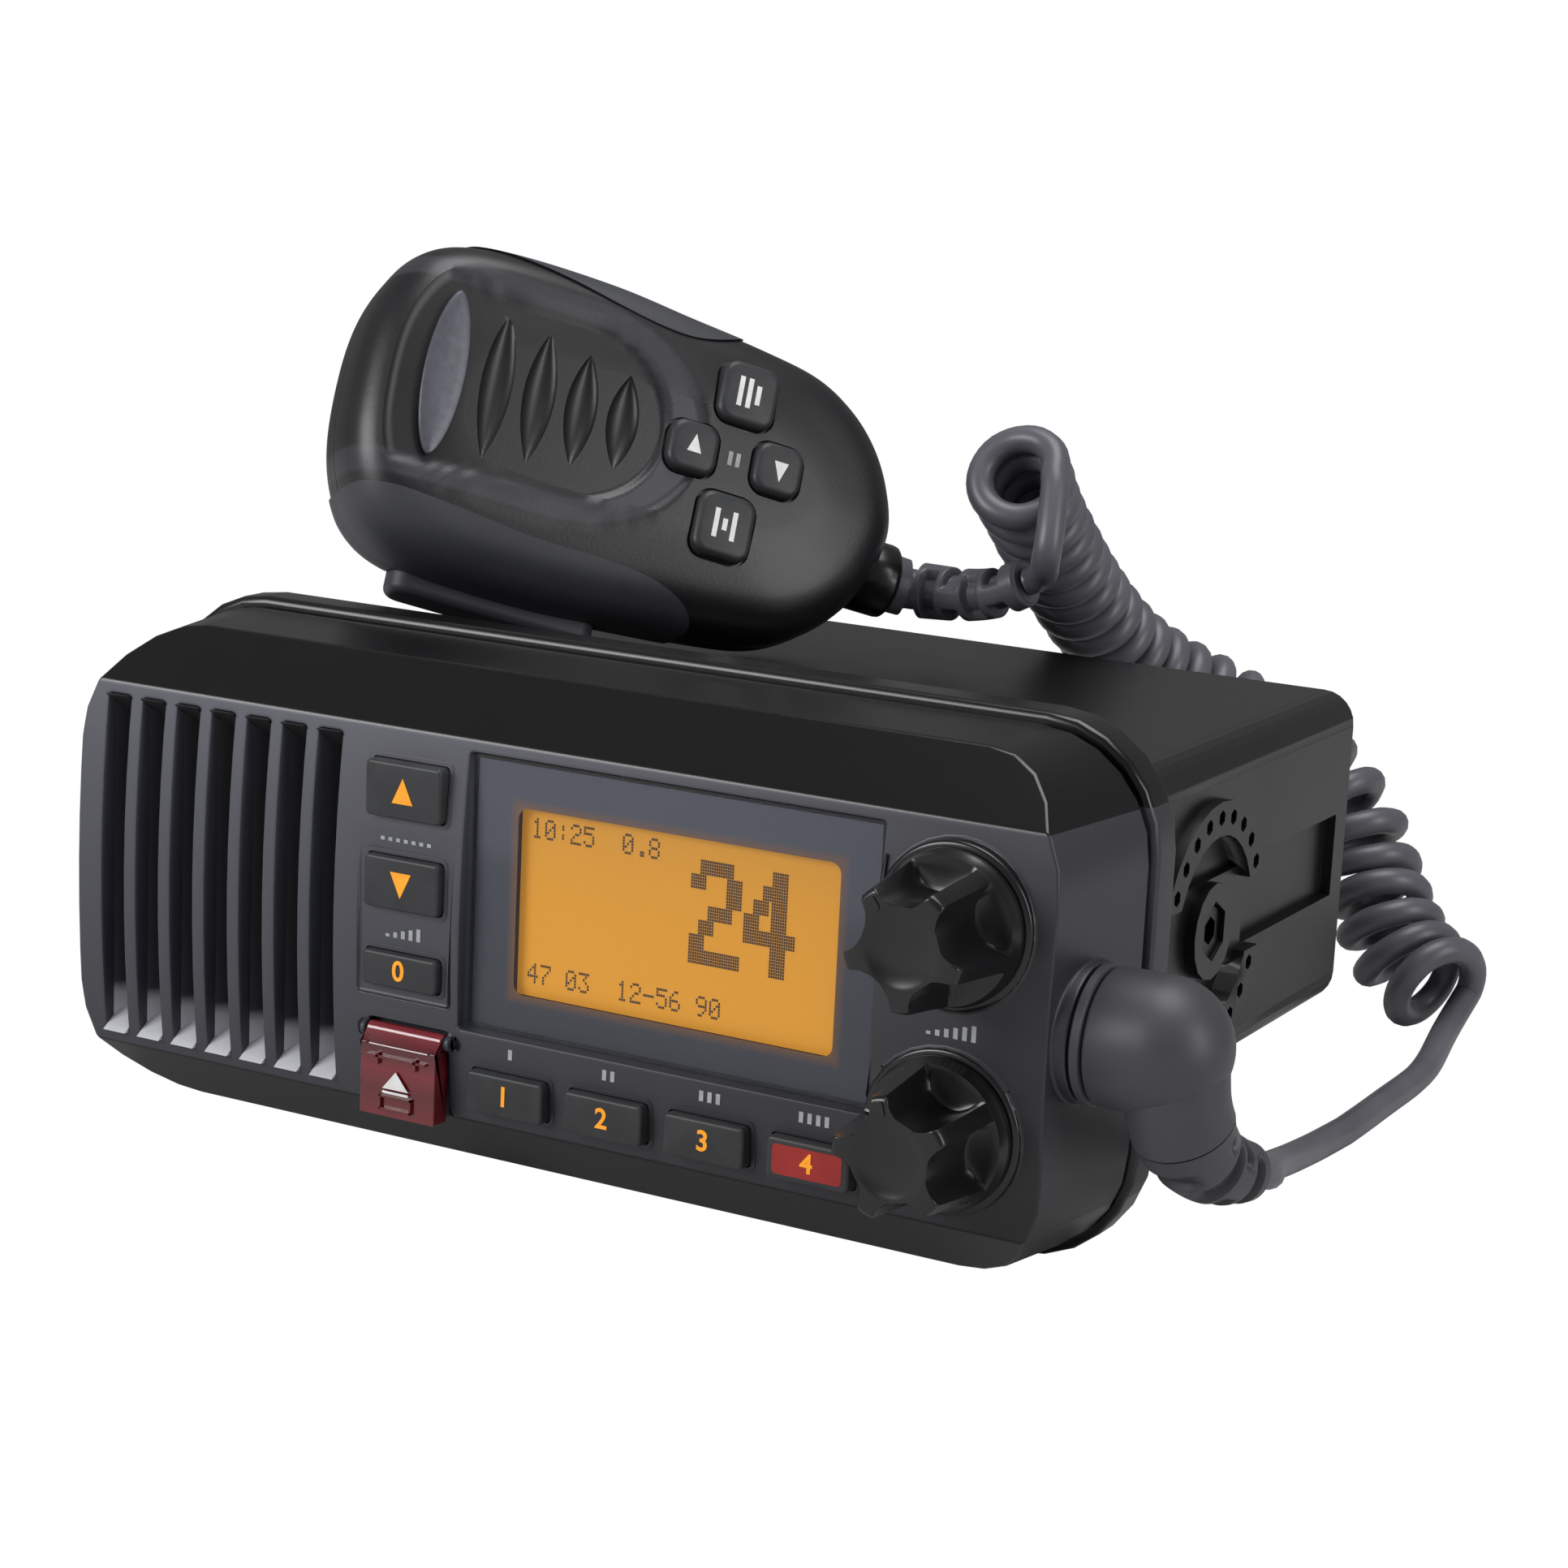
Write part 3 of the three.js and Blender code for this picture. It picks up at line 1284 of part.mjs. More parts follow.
// Recessed field with its four lens-shaped grooves, and the oval plate above them
const fieldFloor = -1.5;
const fieldShares = [
  [0.05, -0.5],
  [0.4, -0.62],
  [0.5, -0.56],
  [0.565, -0.34],
  [0.585, 0],
  [0.565, 0.34],
  [0.5, 0.56],
  [0.4, 0.62],
  [0.05, 0.5],
];
const fieldShape = polygon(fieldShares.map(([along, across]) => [
  micStart + along * micLength,
  across * micWidth / 2,
]));
frontShell = frontShell.subtract(solidOf(alongZ(fieldShape, fieldFloor, overrun)));
const grooveDepth = 1.3;
const grooveFirst = -19.2;
const groovePitch = 7.9;
const grooveHalfWidth = 2.1;
const grooveLengthShares = [0.4748, 0.4163, 0.3512, 0.2959];
const soundHoleRadius = 0.8;

// A lens outline: two equal arcs that meet in points
function lensShape(x, halfWidth, halfLength) {
  const shape = new THREE.Shape();
  shape.moveTo(x, -halfLength);
  shape.quadraticCurveTo(x + 2 * halfWidth, 0, x, halfLength);
  shape.quadraticCurveTo(x - 2 * halfWidth, 0, x, -halfLength);
  return shape;
}
grooveLengthShares.forEach((share, i) => {
  const shape = lensShape(grooveFirst + i * groovePitch, grooveHalfWidth, share * micWidth / 2);
  frontShell = frontShell.subtract(solidOf(alongZ(shape, fieldFloor - grooveDepth, overrun)));
});
const soundHole = turnedZ(pinProfile(soundHoleRadius, -2 * micShell - overrun, 0), smallSides);
frontShell = frontShell.subtract(solidOf(soundHole.translate(grooveFirst, 0, 0)));
const badgeX = -28.8;
const badgeHalfWidth = 3.3;
const badgeHalfLength = 15.2;
const badgeThickness = 0.8;
const badgeSink = 0.5;
const badgeBed = lensShape(badgeX, badgeHalfWidth + 1.5 * seatGap, badgeHalfLength + 3 * seatGap);
frontShell = frontShell.subtract(solidOf(alongZ(badgeBed, fieldFloor - badgeSink - seatGap, overrun)));
const badgeShape = lensShape(badgeX, badgeHalfWidth, badgeHalfLength);
const badgeBottom = fieldFloor - badgeSink;
piece('mic_badge', alongZ(badgeShape, badgeBottom, badgeBottom + badgeThickness), 'badge', mic);

// Four keys near the cord end: each one's place along and across, and half its length and width
const micKeyProud = 1;
const micKeyTravel = 0.8;
const micKeyLip = 0.5;
const micKeyLipThickness = 0.8;
const micKeyEase = 1.4;
const micKeyShares = [
  ['mic_scan_key', 0.661, 0.4065, 0.1789, 0.1886],
  ['mic_sixteen_key', 0.661, -0.4065, 0.1789, 0.1951],
  ['mic_up_key', 0.581, 0, 0.1528, 0.1561],
  ['mic_down_key', 0.7371, 0.0163, 0.1528, 0.1561],
];
const micInnerFace = -(gripThickness + seatGap + micShell);
const micLipTop = micInnerFace - seatGap - micShell / 4;
const micLipBottom = micLipTop - micKeyLipThickness;
function keyRing(height, halfWidth, halfLength, radius) {
  return ringAcrossY(0, halfWidth, halfLength, radius).map((p) => new THREE.Vector3(p.x, p.z, height));
}
for (const [name, ...shares] of micKeyShares) {
  const x = micStart + shares[0] * micLength;
  const [y, halfLength, halfWidth] = shares.slice(1).map((share) => share * micWidth / 2);
  const grow = runGap;
  const hole = loft([
    keyRing(2 * micInnerFace, halfLength + grow, halfWidth + grow, micKeyEase + grow),
    keyRing(micKeyProud + overrun, halfLength + grow, halfWidth + grow, micKeyEase + grow),
  ]);
  const roomGrow = micKeyLip + 2 * runGap;
  const room = loft([
    keyRing(micPart, halfLength + roomGrow, halfWidth + roomGrow, micKeyEase),
    keyRing(micInnerFace - micShell / 4, halfLength + roomGrow, halfWidth + roomGrow, micKeyEase),
  ]);
  frontShell = frontShell.subtract(solidOf(hole.translate(x, y, 0)));
  frontShell = frontShell.subtract(solidOf(room.translate(x, y, 0)));
  const cap = loft([
    keyRing(micLipBottom, halfLength, halfWidth, micKeyEase),
    keyRing(micKeyProud - micKeyEase / 2, halfLength, halfWidth, micKeyEase),
    keyRing(micKeyProud, halfLength - micKeyEase / 2, halfWidth - micKeyEase / 2, micKeyEase / 2),
  ]);
  const lip = loft([
    keyRing(micLipBottom, halfLength + micKeyLip, halfWidth + micKeyLip, micKeyEase),
    keyRing(micLipTop, halfLength + micKeyLip, halfWidth + micKeyLip, micKeyEase),
  ]);
  piece(name, solidOf(cap).add(solidOf(lip)), 'keyRubber', mic).position.set(x, y, 0);
}

// Circuit board and capsule inside the microphone
const domeRoom = 2;
const micBoardTop = micLipBottom - micKeyTravel - domeRoom;
const micBoardLeft = -26;
const micBoardRight = 40;
const micBoardHalf = 16;
piece(
  'mic_circuit_board',
  box(micBoardLeft, micBoardRight, -micBoardHalf, micBoardHalf, micBoardTop - boardThickness, micBoardTop),
  'board',
  mic,
);
const capsuleRadius = 4.8;
const capsuleTop = micInnerFace - 2 * seatGap - micShell / 4;
const capsule = turnedZ(pinProfile(capsuleRadius, micBoardTop + seatGap, capsuleTop), roundSides);
piece('mic_capsule', capsule, 'steel', mic).position.set(grooveFirst, 0, 0);

// Press-to-talk key: a long bar with rounded ends
const pttHalfLength = (pttRight - pttLeft) / 2;
const pttHalfWidth = (pttOuter - pttInner) / 2;
const pttEdge = pttEase / 2;
const pttBody = loft([
  keyRing(pttLow + pttEdge, pttHalfLength - pttEdge, pttHalfWidth - pttEdge, pttEase),
  keyRing(pttLow + pttEase, pttHalfLength, pttHalfWidth, pttEase),
  keyRing(pttHigh - pttEase, pttHalfLength, pttHalfWidth, pttEase),
  keyRing(pttHigh - pttEdge, pttHalfLength - pttEdge, pttHalfWidth - pttEdge, pttEase),
]);
piece('mic_talk_key', pttBody, 'rubber', mic).position.set(
  (pttLeft + pttRight) / 2,
  -(pttOuter + pttInner) / 2,
  0,
);

// Stud on the back that hangs the microphone in its clip
const studX = -8;
const studRadius = 3.4;
const studHeadRadius = 7.5;
const studReach = 6.5;
const studHead = 2.4;
const studBed = turnedZ(pinProfile(studRadius + seatGap, -2 * micDepth, micPart), roundSides);
backShell = backShell.subtract(solidOf(studBed.translate(studX, 0, 0)));
const studProfile = [
  [0, -micDepth - studReach],
  [studHeadRadius, -micDepth - studReach],
  [studHeadRadius, -micDepth - studReach + studHead],
  [studRadius, -micDepth - studReach + studHead],
  [studRadius, -micDepth + micShell + gripThickness + 2 * seatGap],
  [studHeadRadius, -micDepth + micShell + gripThickness + 2 * seatGap],
  [studHeadRadius, -micDepth + 2 * micShell + gripThickness + seatGap],
  [0, -micDepth + 2 * micShell + gripThickness + seatGap],
];
piece('mic_hanger_stud', turnedZ(studProfile), 'steel', mic).position.set(studX, 0, 0);

// Collar where the cord enters, and the notched boot that follows it
const collarOuter = 7;
const collarY = -7.9;
const collarZ = -17;
const collarStart = 50;
const collarEnd = 65.4;
const collarRim = 1.2;
const collarBed = turnedX(pinProfile(collarOuter - collarRim + seatGap, collarStart - overrun, collarEnd));
const bedAtPlace = solidOf(collarBed.translate(0, collarY, collarZ));
const seatEnd = 57.6;
const rimBed = turnedX(pinProfile(collarOuter + seatGap, seatEnd, collarEnd));
const rimCut = solidOf(rimBed.translate(0, collarY, collarZ));
frontShell = frontShell.subtract(bedAtPlace).subtract(rimCut);
backShell = backShell.subtract(bedAtPlace).subtract(rimCut);
piece('mic_front_shell', frontShell, 'black', mic);
piece('mic_back_shell', backShell, 'black', mic);
const collarProfile = [
  [0, collarStart],
  [collarOuter - collarRim, collarStart],
  [collarOuter - collarRim, seatEnd + seatGap],
  [collarOuter - seatGap, seatEnd + seatGap],
  [collarOuter, seatEnd + collarRim],
  [collarOuter, collarEnd - collarRim],
  [collarOuter - collarRim / 2, collarEnd],
  [0, collarEnd],
];
piece('mic_cord_collar', turnedX(collarProfile), 'black', mic).position.set(0, collarY, collarZ);

const micBootSteps = 9;
const micBootRoot = 5.4;
const micBootTip = 4.4;
const micBootSink = 0.9;
const micBootShares = [
  [0.5714, 0, 0.0286],
  [1.1714, -0.0571, 0.5714],
  [1.7143, -0.1571, 1.3714],
  [2.1857, -0.1571, 2.2857],
  [2.5714, 0.0429, 3.1571],
];
const collarMiddle = vector([collarEnd, collarY, collarZ]);
const micBootRoute = [
  vector([collarEnd + 1.5 * seatGap, collarY, collarZ]),
  ...micBootShares.map((shares) => vector(shares).multiplyScalar(collarOuter).add(collarMiddle)),
];
const micBootPoints = new THREE.CatmullRomCurve3(micBootRoute).getSpacedPoints(micBootSteps);
const micBootRadii = micBootPoints.map((point, i) => {
  const taper = micBootRoot + (micBootTip - micBootRoot) * i / micBootSteps;
  return i % ribSpacing === 2 ? taper - micBootSink : taper;
});
piece('mic_cord_boot', loft(roundRings(micBootPoints, micBootRadii, roundSides)), 'cord', mic);

// Curly cord. Its middle line is chosen by hand: from above the casing, over its rear edge, down
// behind it and forward along the floor.
const coilRoute = [
  [25.1, 117, 68],
  [23.4, 135, 54.6],
  [23.4, 155, 39.5],
  [26.6, 168.9, 28.5],
  [32.5, 179.2, 21.5],
  [42.1, 188.5, 15],
  [52.2, 193.5, 8.7],
  [60.6, 195.4, 1.9],
  [66.7, 195.2, -5],
  [71.1, 194, -13.2],
  [75.9, 190.2, -19.9],
  [83, 186.2, -27.6],
  [91.8, 182.2, -31.6],
].map(vector);
const innerGap = 0.6;
const coilGrowth = 3.2;
const coilHeadGrowth = 0.8;
const coilHeadShare = 0.08;
const coilTurns = 23;
const stepsPerTurn = 8;
const cordSides = 5;
const fineSteps = 1200;
const coilStartShare = 0.5;
const coilEndShare = 0.375;
const endRun = cordDiameter;
const startRadius = (coilDiameter - cordDiameter) / 2;
const coilCurve = new THREE.CatmullRomCurve3(coilRoute, false, 'centripetal');
const fineFrames = framesAlong(coilCurve.getSpacedPoints(fineSteps));
const fineStep = coilCurve.getLength() / fineSteps;

// The turns are spread where the middle line bends, so that their inner sides stay apart
function coilRadiusAt(share) {
  const headShare = Math.max(0, 1 - share / coilHeadShare);
  return startRadius + coilHeadGrowth * headShare + coilGrowth / 2 * share * share;
}
const turnsAt = fineFrames.map(() => 0);
const bendSpan = 30;
for (let i = 1; i <= fineSteps; i += 1) {
  const before = fineFrames[Math.max(i - bendSpan, 0)];
  const after = fineFrames[Math.min(i + bendSpan, fineSteps)];
  const span = (Math.min(i + bendSpan, fineSteps) - Math.max(i - bendSpan, 0)) * fineStep;
  const bend = before.ahead.angleTo(after.ahead) / span;
  const spread = 1 - coilRadiusAt(i / fineSteps) * bend;
  turnsAt[i] = turnsAt[i - 1] + fineStep * spread / (cordDiameter + innerGap);
}
const turnScale = turnsAt[fineSteps] / (coilTurns + coilEndShare);
const coilSteps = (coilTurns + coilEndShare) * stepsPerTurn;
const windings = [];
let fineIndex = 0;
for (let i = 0; i <= coilSteps; i += 1) {
  while (fineIndex < fineSteps && turnsAt[fineIndex] < i / stepsPerTurn * turnScale) {
    fineIndex += 1;
  }
  const { point, across, up } = fineFrames[fineIndex];
  const radius = coilRadiusAt(fineIndex / fineSteps);
  const angle = (coilStartShare - i / stepsPerTurn) * Math.PI * 2;
  const place = point.clone().addScaledVector(across, Math.cos(angle) * radius);
  windings.push(place.addScaledVector(up, Math.sin(angle) * radius));
}

// Each end turns out of the coil in short steps and then runs straight
const turnSteps = 3;
const turnLength = 2.4;
const headDirection = vector([0.15, -0.45, -0.88]).normalize();
const tailDirection = vector([0.12, -0.99, 0]).normalize();
function leadOut(end, before, direction) {
  const heading = end.clone().sub(before).normalize();
  const run = [end.clone()];
  for (let i = 1; i <= turnSteps; i += 1) {
    const turn = heading.clone().lerp(direction, i / turnSteps).normalize();
    run.push(run[i - 1].clone().addScaledVector(turn, turnLength));
  }
  run.push(run[turnSteps].clone().addScaledVector(direction, endRun));
  return run.slice(1);
}
const headRun = leadOut(windings[0], windings[1], headDirection);
const tailRun = leadOut(windings[coilSteps], windings[coilSteps - 1], tailDirection);
windings.unshift(...headRun.reverse());
windings.push(...tailRun);

// Least gap between one stretch of the coil and any other that is over half a turn away
let leastGap = Infinity;
for (let i = 0; i < windings.length; i += 1) {
  for (let j = i + stepsPerTurn / 2 + 1; j < windings.length; j += 1) {
    const gap = windings[i].distanceTo(windings[j]) - cordDiameter;
    leastGap = Math.min(leastGap, gap);
  }
}
console.log('least gap between the turns of the curly cord, in mm:', leastGap.toFixed(2));
const coilRings = roundRings(windings, windings.map(() => cordDiameter / 2), cordSides);
piece('cord_coil', loft(coilRings), 'cord');

// Free leads at each end of the coil, with a round section along a hand-chosen route
const leadCurveSteps = 4;
const micLeadSteps = 16;
const plugLeadSteps = 24;
function lead(name, route, steps) {
  const section = new THREE.Shape();
  section.absarc(0, 0, cordDiameter / 2, 0, Math.PI * 2);
  const extrudePath = new THREE.CatmullRomCurve3(route.map((p) => (p.isVector3 ? p : vector(p))));
  const settings = { steps, bevelEnabled: false, curveSegments: leadCurveSteps, extrudePath };
  piece(name, new THREE.ExtrudeGeometry(section, settings), 'cord');
}
root.updateMatrixWorld(true);
const bootEnd = mic.localToWorld(micBootRoute[micBootRoute.length - 1].clone());
const bootBefore = mic.localToWorld(micBootRoute[micBootRoute.length - 2].clone());
const micExit = bootEnd.clone().sub(bootBefore).normalize();
const micLeadStart = bootEnd.clone().addScaledVector(micExit, seatGap);
const coilHead = windings[0].clone().addScaledVector(headDirection, seatGap);
lead('cord_mic_lead', [
  micLeadStart,
  micLeadStart.clone().addScaledVector(micExit, cordDiameter),
  [33.5, 111.6, 51],
  coilHead.clone().addScaledVector(headDirection, cordDiameter),
  coilHead,
], micLeadSteps);
const coilTail = windings[windings.length - 1].clone().addScaledVector(tailDirection, seatGap);
const plugEnd = bootRoute[bootRoute.length - 1];
const plugBefore = bootRoute[bootRoute.length - 2];
const plugExit = plugEnd.clone().sub(plugBefore).normalize();
const plugLeadStart = plugEnd.clone().addScaledVector(plugExit, seatGap);
lead('cord_plug_lead', [
  coilTail,
  coilTail.clone().addScaledVector(tailDirection, cordDiameter),
  [98.2, 158, -40.9],
  [97.2, 142, -40.9],
  [98, 122, -40.9],
  [97.6, 104, -40.4],
  [98.9, 86, -38],
  [103.6, 59, -32],
  plugLeadStart.clone().addScaledVector(plugExit, cordDiameter),
  plugLeadStart,
], plugLeadSteps);

// Stand the radio on its underside
const baseMiddle = (grooveBack + bezelDepth) / 2;
radio.position.set(0, -baseMiddle, flangeTop);

export default root;
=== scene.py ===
import math

import bmesh
import bpy
from mathutils import Matrix, Vector


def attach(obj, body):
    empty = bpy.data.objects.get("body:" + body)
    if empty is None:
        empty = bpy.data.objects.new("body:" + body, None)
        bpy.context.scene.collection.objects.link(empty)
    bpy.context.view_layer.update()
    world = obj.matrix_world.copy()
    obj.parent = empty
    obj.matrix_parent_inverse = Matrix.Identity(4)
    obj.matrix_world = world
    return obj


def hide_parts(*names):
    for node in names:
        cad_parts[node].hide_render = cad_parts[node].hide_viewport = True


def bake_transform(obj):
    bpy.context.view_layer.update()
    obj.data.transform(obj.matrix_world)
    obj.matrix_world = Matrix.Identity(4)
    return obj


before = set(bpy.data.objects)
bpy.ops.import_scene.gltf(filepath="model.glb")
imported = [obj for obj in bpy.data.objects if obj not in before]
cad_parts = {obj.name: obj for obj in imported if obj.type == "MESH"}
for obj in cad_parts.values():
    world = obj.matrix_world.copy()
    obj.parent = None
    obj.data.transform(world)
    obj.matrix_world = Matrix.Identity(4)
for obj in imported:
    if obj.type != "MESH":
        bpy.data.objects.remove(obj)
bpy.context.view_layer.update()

# Camera and studio.
# The radio was photographed from the front right, a little from above, with a long lens.
# It stands on a plain pale floor under broad soft lamps.
LENS_MM = 82.0
SENSOR_MM = 36.0
AZIMUTH = 28.412
ELEVATION = 12.218
ROLL = 2.773
CAMERA_PLACE = (294.7, -462.7, 146.6)
FARTHEST_SEEN = 50


def metres(*values_mm):
    return Vector([value / 1000 for value in values_mm])


FACE_PLACE_MM, FACE_HEIGHT_MM = -32.1, 43.7
FACE_MIDDLE = metres(0, FACE_PLACE_MM, FACE_HEIGHT_MM)


def on_radio(x, y, z):
    """A place measured in millimetres from the middle of the radio's front face."""
    return FACE_MIDDLE + metres(x, y, z)


camera_data = bpy.data.cameras.new("camera")
camera_data.lens = LENS_MM
camera_data.sensor_width = SENSOR_MM
camera_data.sensor_fit = "HORIZONTAL"
camera_data.clip_end = FARTHEST_SEEN
camera = bpy.data.objects.new("camera", camera_data)
bpy.context.scene.collection.objects.link(camera)
camera.matrix_world = (
    Matrix.Translation(on_radio(*CAMERA_PLACE))
    @ Matrix.Rotation(math.radians(AZIMUTH), 4, "Z")
    @ Matrix.Rotation(math.radians(90 - ELEVATION), 4, "X")
    @ Matrix.Rotation(math.radians(ROLL), 4, "Z")
)
bpy.context.scene.camera = camera
bpy.context.scene.view_settings.view_transform = "Standard"


def linear(hex_colour):
    """An sRGB hex colour as the linear colour that a shader takes."""
    shares = [int(hex_colour[i:i + 2], 16) / 255 for i in (1, 3, 5)]
    return [s / 12.92 if s <= 0.04045 else ((s + 0.055) / 1.055) ** 2.4 for s in shares] + [1.0]


def add_node(owner, kind, settings=None, links=None):
    """Adds one node to a material or the world. links maps its sockets to the sockets that feed them.

    The setting "stops" gives a colour ramp its places and colours.
    """
    tree = owner.node_tree
    node = tree.nodes.new(kind)
    for name, value in (settings or {}).items():
        if name == "stops":
            elements = node.color_ramp.elements
            for i, (place, colour) in enumerate(value):
                element = elements[i] if i < len(elements) else elements.new(place)
                element.position = place
                element.color = linear(colour)
        elif isinstance(name, int) or name in node.inputs:
            node.inputs[name].default_value = value
        else:
            setattr(node, name, value)
    for name, source in (links or {}).items():
        tree.links.new(source, node.inputs[name])
    return node


def new_material(name):
    """An empty node material with its shader, ready for its pattern."""
    material = bpy.data.materials.new(name)
    material.use_nodes = True
    shader = material.node_tree.nodes["Principled BSDF"]
    return material, shader


def object_from(shape, name, material=None):
    """Makes a finished bmesh into an object in the scene, and frees it."""
    mesh = bpy.data.meshes.new(name)
    shape.to_mesh(mesh)
    shape.free()
    if material:
        mesh.materials.append(material)
    made = bpy.data.objects.new(name, mesh)
    bpy.context.scene.collection.objects.link(made)
    return made


# The world is white to the camera and behind the clear lens, and lights the radio far more weakly
WORLD_LIGHT = 0.2
world = bpy.data.worlds.new("studio")
bpy.context.scene.world = world
world.use_nodes = True
light_path = add_node(world, "ShaderNodeLightPath")
seen = add_node(
    world, "ShaderNodeMath", {"operation": "MAXIMUM"},
    {0: light_path.outputs["Is Camera Ray"], 1: light_path.outputs["Is Transmission Ray"]},
)
world_level = add_node(
    world, "ShaderNodeMapRange", {"To Min": WORLD_LIGHT, "To Max": 1.0}, {"Value": seen.outputs[0]},
)
background = world.node_tree.nodes["Background"]
background.inputs["Color"].default_value = (1, 1, 1, 1)
world.node_tree.links.new(world_level.outputs["Result"], background.inputs["Strength"])

# The floor throws light back up and is hidden from the camera, as the photograph shows plain white
FLOOR_SIZE = 12.0
floor_paint, floor_shader = new_material("matt_white_studio_floor")
floor_shader.inputs["Roughness"].default_value = 0.9
floor_shader.inputs["Base Color"].default_value = linear("#c8c8c8")
floor_shader.inputs["Specular IOR Level"].default_value = 0.1
floor_shape = bmesh.new()
bmesh.ops.create_grid(floor_shape, x_segments=1, y_segments=1, size=FLOOR_SIZE / 2)
floor = object_from(floor_shape, "floor", floor_paint)
floor.visible_camera = False

# Each lamp: its place, what it faces, its width and height in metres, and its power in watts
LAMPS = {
    "front_softbox": ((-0.6, -0.85, 0.5), (-0.05, 0, 0.05), (0.6, 0.45), 7.5),
    "top_softbox": ((0.1, 0.1, 1.2), (0, 0, 0.05), (0.9, 0.7), 9),
    "right_softbox": ((1.3, -0.1, 0.5), (0, 0, 0.05), (0.35, 0.9), 6),
}
for lamp_name, (place, target, (lamp_width, lamp_height), watts) in LAMPS.items():
    lamp_data = bpy.data.lights.new(lamp_name, "AREA")
    lamp_data.shape = "RECTANGLE"
    lamp_data.size = lamp_width
    lamp_data.size_y = lamp_height
    lamp_data.energy = watts
    lamp = bpy.data.objects.new(lamp_name, lamp_data)
    bpy.context.scene.collection.objects.link(lamp)
    heading = Vector(target) - Vector(place)
    lamp.matrix_world = Matrix.Translation(place) @ heading.to_track_quat("-Z", "Y").to_matrix().to_4x4()


# Front housing: one ABS moulding with a crowned face, bevels above and below and a rear flange.
# It takes the frame's solid, welded, with its recesses cut and its edges rounded as the mould has them.
HOUSING_EDGE_MM = 0.5
EDGE_ANGLE = 28
SMOOTH_ANGLE = 32
PANEL_DEPTH_MM = 0.5
WELD_MM = 0.002
FLAT_ANGLE = 1.5
SHADING_WEIGHT = 80


def smooth_to(piece, angle):
    """Shades a piece smooth, but for the edges that turn by more than an angle in degrees."""
    piece.data.shade_smooth()
    piece.data.set_sharp_from_angle(angle=math.radians(angle))


def piece_from(shape, name, material, body, smooth=SMOOTH_ANGLE):
    """Makes a finished bmesh into a shown piece that rides on a body, if it has one."""
    piece = object_from(shape, name, material)
    smooth_to(piece, smooth)
    if body:
        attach(piece, body)
    return piece


def welded(node):
    """A copy of a frame solid as a bmesh, welded, with flat neighbours joined."""
    shape = bmesh.new()
    shape.from_mesh(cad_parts[node].data)
    bmesh.ops.remove_doubles(shape, verts=shape.verts, dist=WELD_MM / 1000)
    bmesh.ops.dissolve_limit(
        shape, angle_limit=math.radians(FLAT_ANGLE), verts=shape.verts, edges=shape.edges,
    )
    return shape


def block(shape, low, high):
    """Adds a box between two corners and returns its vertices."""
    low, high = Vector(low), Vector(high)
    size = high - low
    place = Matrix.Translation((low + high) / 2) @ Matrix.Diagonal((*size, 1))
    return bmesh.ops.create_cube(shape, size=1, matrix=place)["verts"]


def cut_away(piece, cutter, operation="DIFFERENCE"):
    """Cuts a closed bmesh out of a piece, or keeps only what the two share."""
    tool = object_from(cutter, "cutter")
    cut = piece.modifiers.new("cut", "BOOLEAN")
    cut.operation = operation
    cut.solver = "EXACT"
    cut.object = tool
    finish_modifiers(piece)
    bpy.data.meshes.remove(tool.data)


def finish_modifiers(piece):
    """Applies a piece's modifiers to its mesh."""
    view = bpy.context.evaluated_depsgraph_get()
    view.update()
    mesh = bpy.data.meshes.new_from_object(piece.evaluated_get(view))
    piece.modifiers.clear()
    piece.data = mesh


def round_edges(piece, width_mm, steps=2, angle=EDGE_ANGLE, by_weight=False):
    """Rounds the sharp edges of a piece, or its weighted ones, by a bevel, and evens its shading."""
    bevel = piece.modifiers.new("edges", "BEVEL")
    bevel.width = width_mm / 1000
    bevel.segments = steps
    bevel.limit_method = "WEIGHT" if by_weight else "ANGLE"
    bevel.angle_limit = math.radians(angle)
    bevel.use_clamp_overlap = by_weight
    bevel.miter_outer = "MITER_SHARP" if by_weight else "MITER_ARC"
    finish_modifiers(piece)
    smooth_to(piece, SMOOTH_ANGLE)
    even = piece.modifiers.new("even_shading", "WEIGHTED_NORMAL")
    even.keep_sharp = True
    even.weight = SHADING_WEIGHT


def grain_bump(material, shader, source, size_mm, depth_mm, strength, detail=2.0):
    """A fine even grain, as a texture etched into the mould leaves, fed to the shader's normal.

    The real grain is too fine to show here, so it is drawn coarser, 0.2 to 0.7 mm across.
    """
    noise = add_node(
        material, "ShaderNodeTexNoise",
        {"Scale": 1000 / size_mm, "Detail": detail, "Roughness": 0.6}, {"Vector": source},
    )
    bump = add_node(
        material, "ShaderNodeBump",
        {"Distance": depth_mm / 1000, "Strength": strength}, {"Height": noise.outputs["Fac"]},
    )
    material.node_tree.links.new(bump.outputs["Normal"], shader.inputs["Normal"])


# ABS moulded in a lightly spark-eroded tool: a soft satin with a fine grain, greyer on the face where
# the grain scatters light, and near black and glossier on the bevels. The face's grey is painted
# lighter towards the top, a painted reflection of the bright space above it, and painted darker
# towards the knobs as painted shade.
abs_housing, shader = new_material("moulded_satin_ABS")
where = add_node(abs_housing, "ShaderNodeTexCoord").outputs["Object"]
place = add_node(abs_housing, "ShaderNodeSeparateXYZ", links={0: where})
FACE_HALF_MM = 31.2
FACE_LOW = on_radio(0, 0, -FACE_HALF_MM).z
FACE_HIGH = on_radio(0, 0, FACE_HALF_MM).z
above = add_node(
    abs_housing, "ShaderNodeMath", {"operation": "GREATER_THAN", 1: FACE_LOW}, {0: place.outputs["Z"]},
)
below = add_node(
    abs_housing, "ShaderNodeMath", {"operation": "LESS_THAN", 1: FACE_HIGH}, {0: place.outputs["Z"]},
)
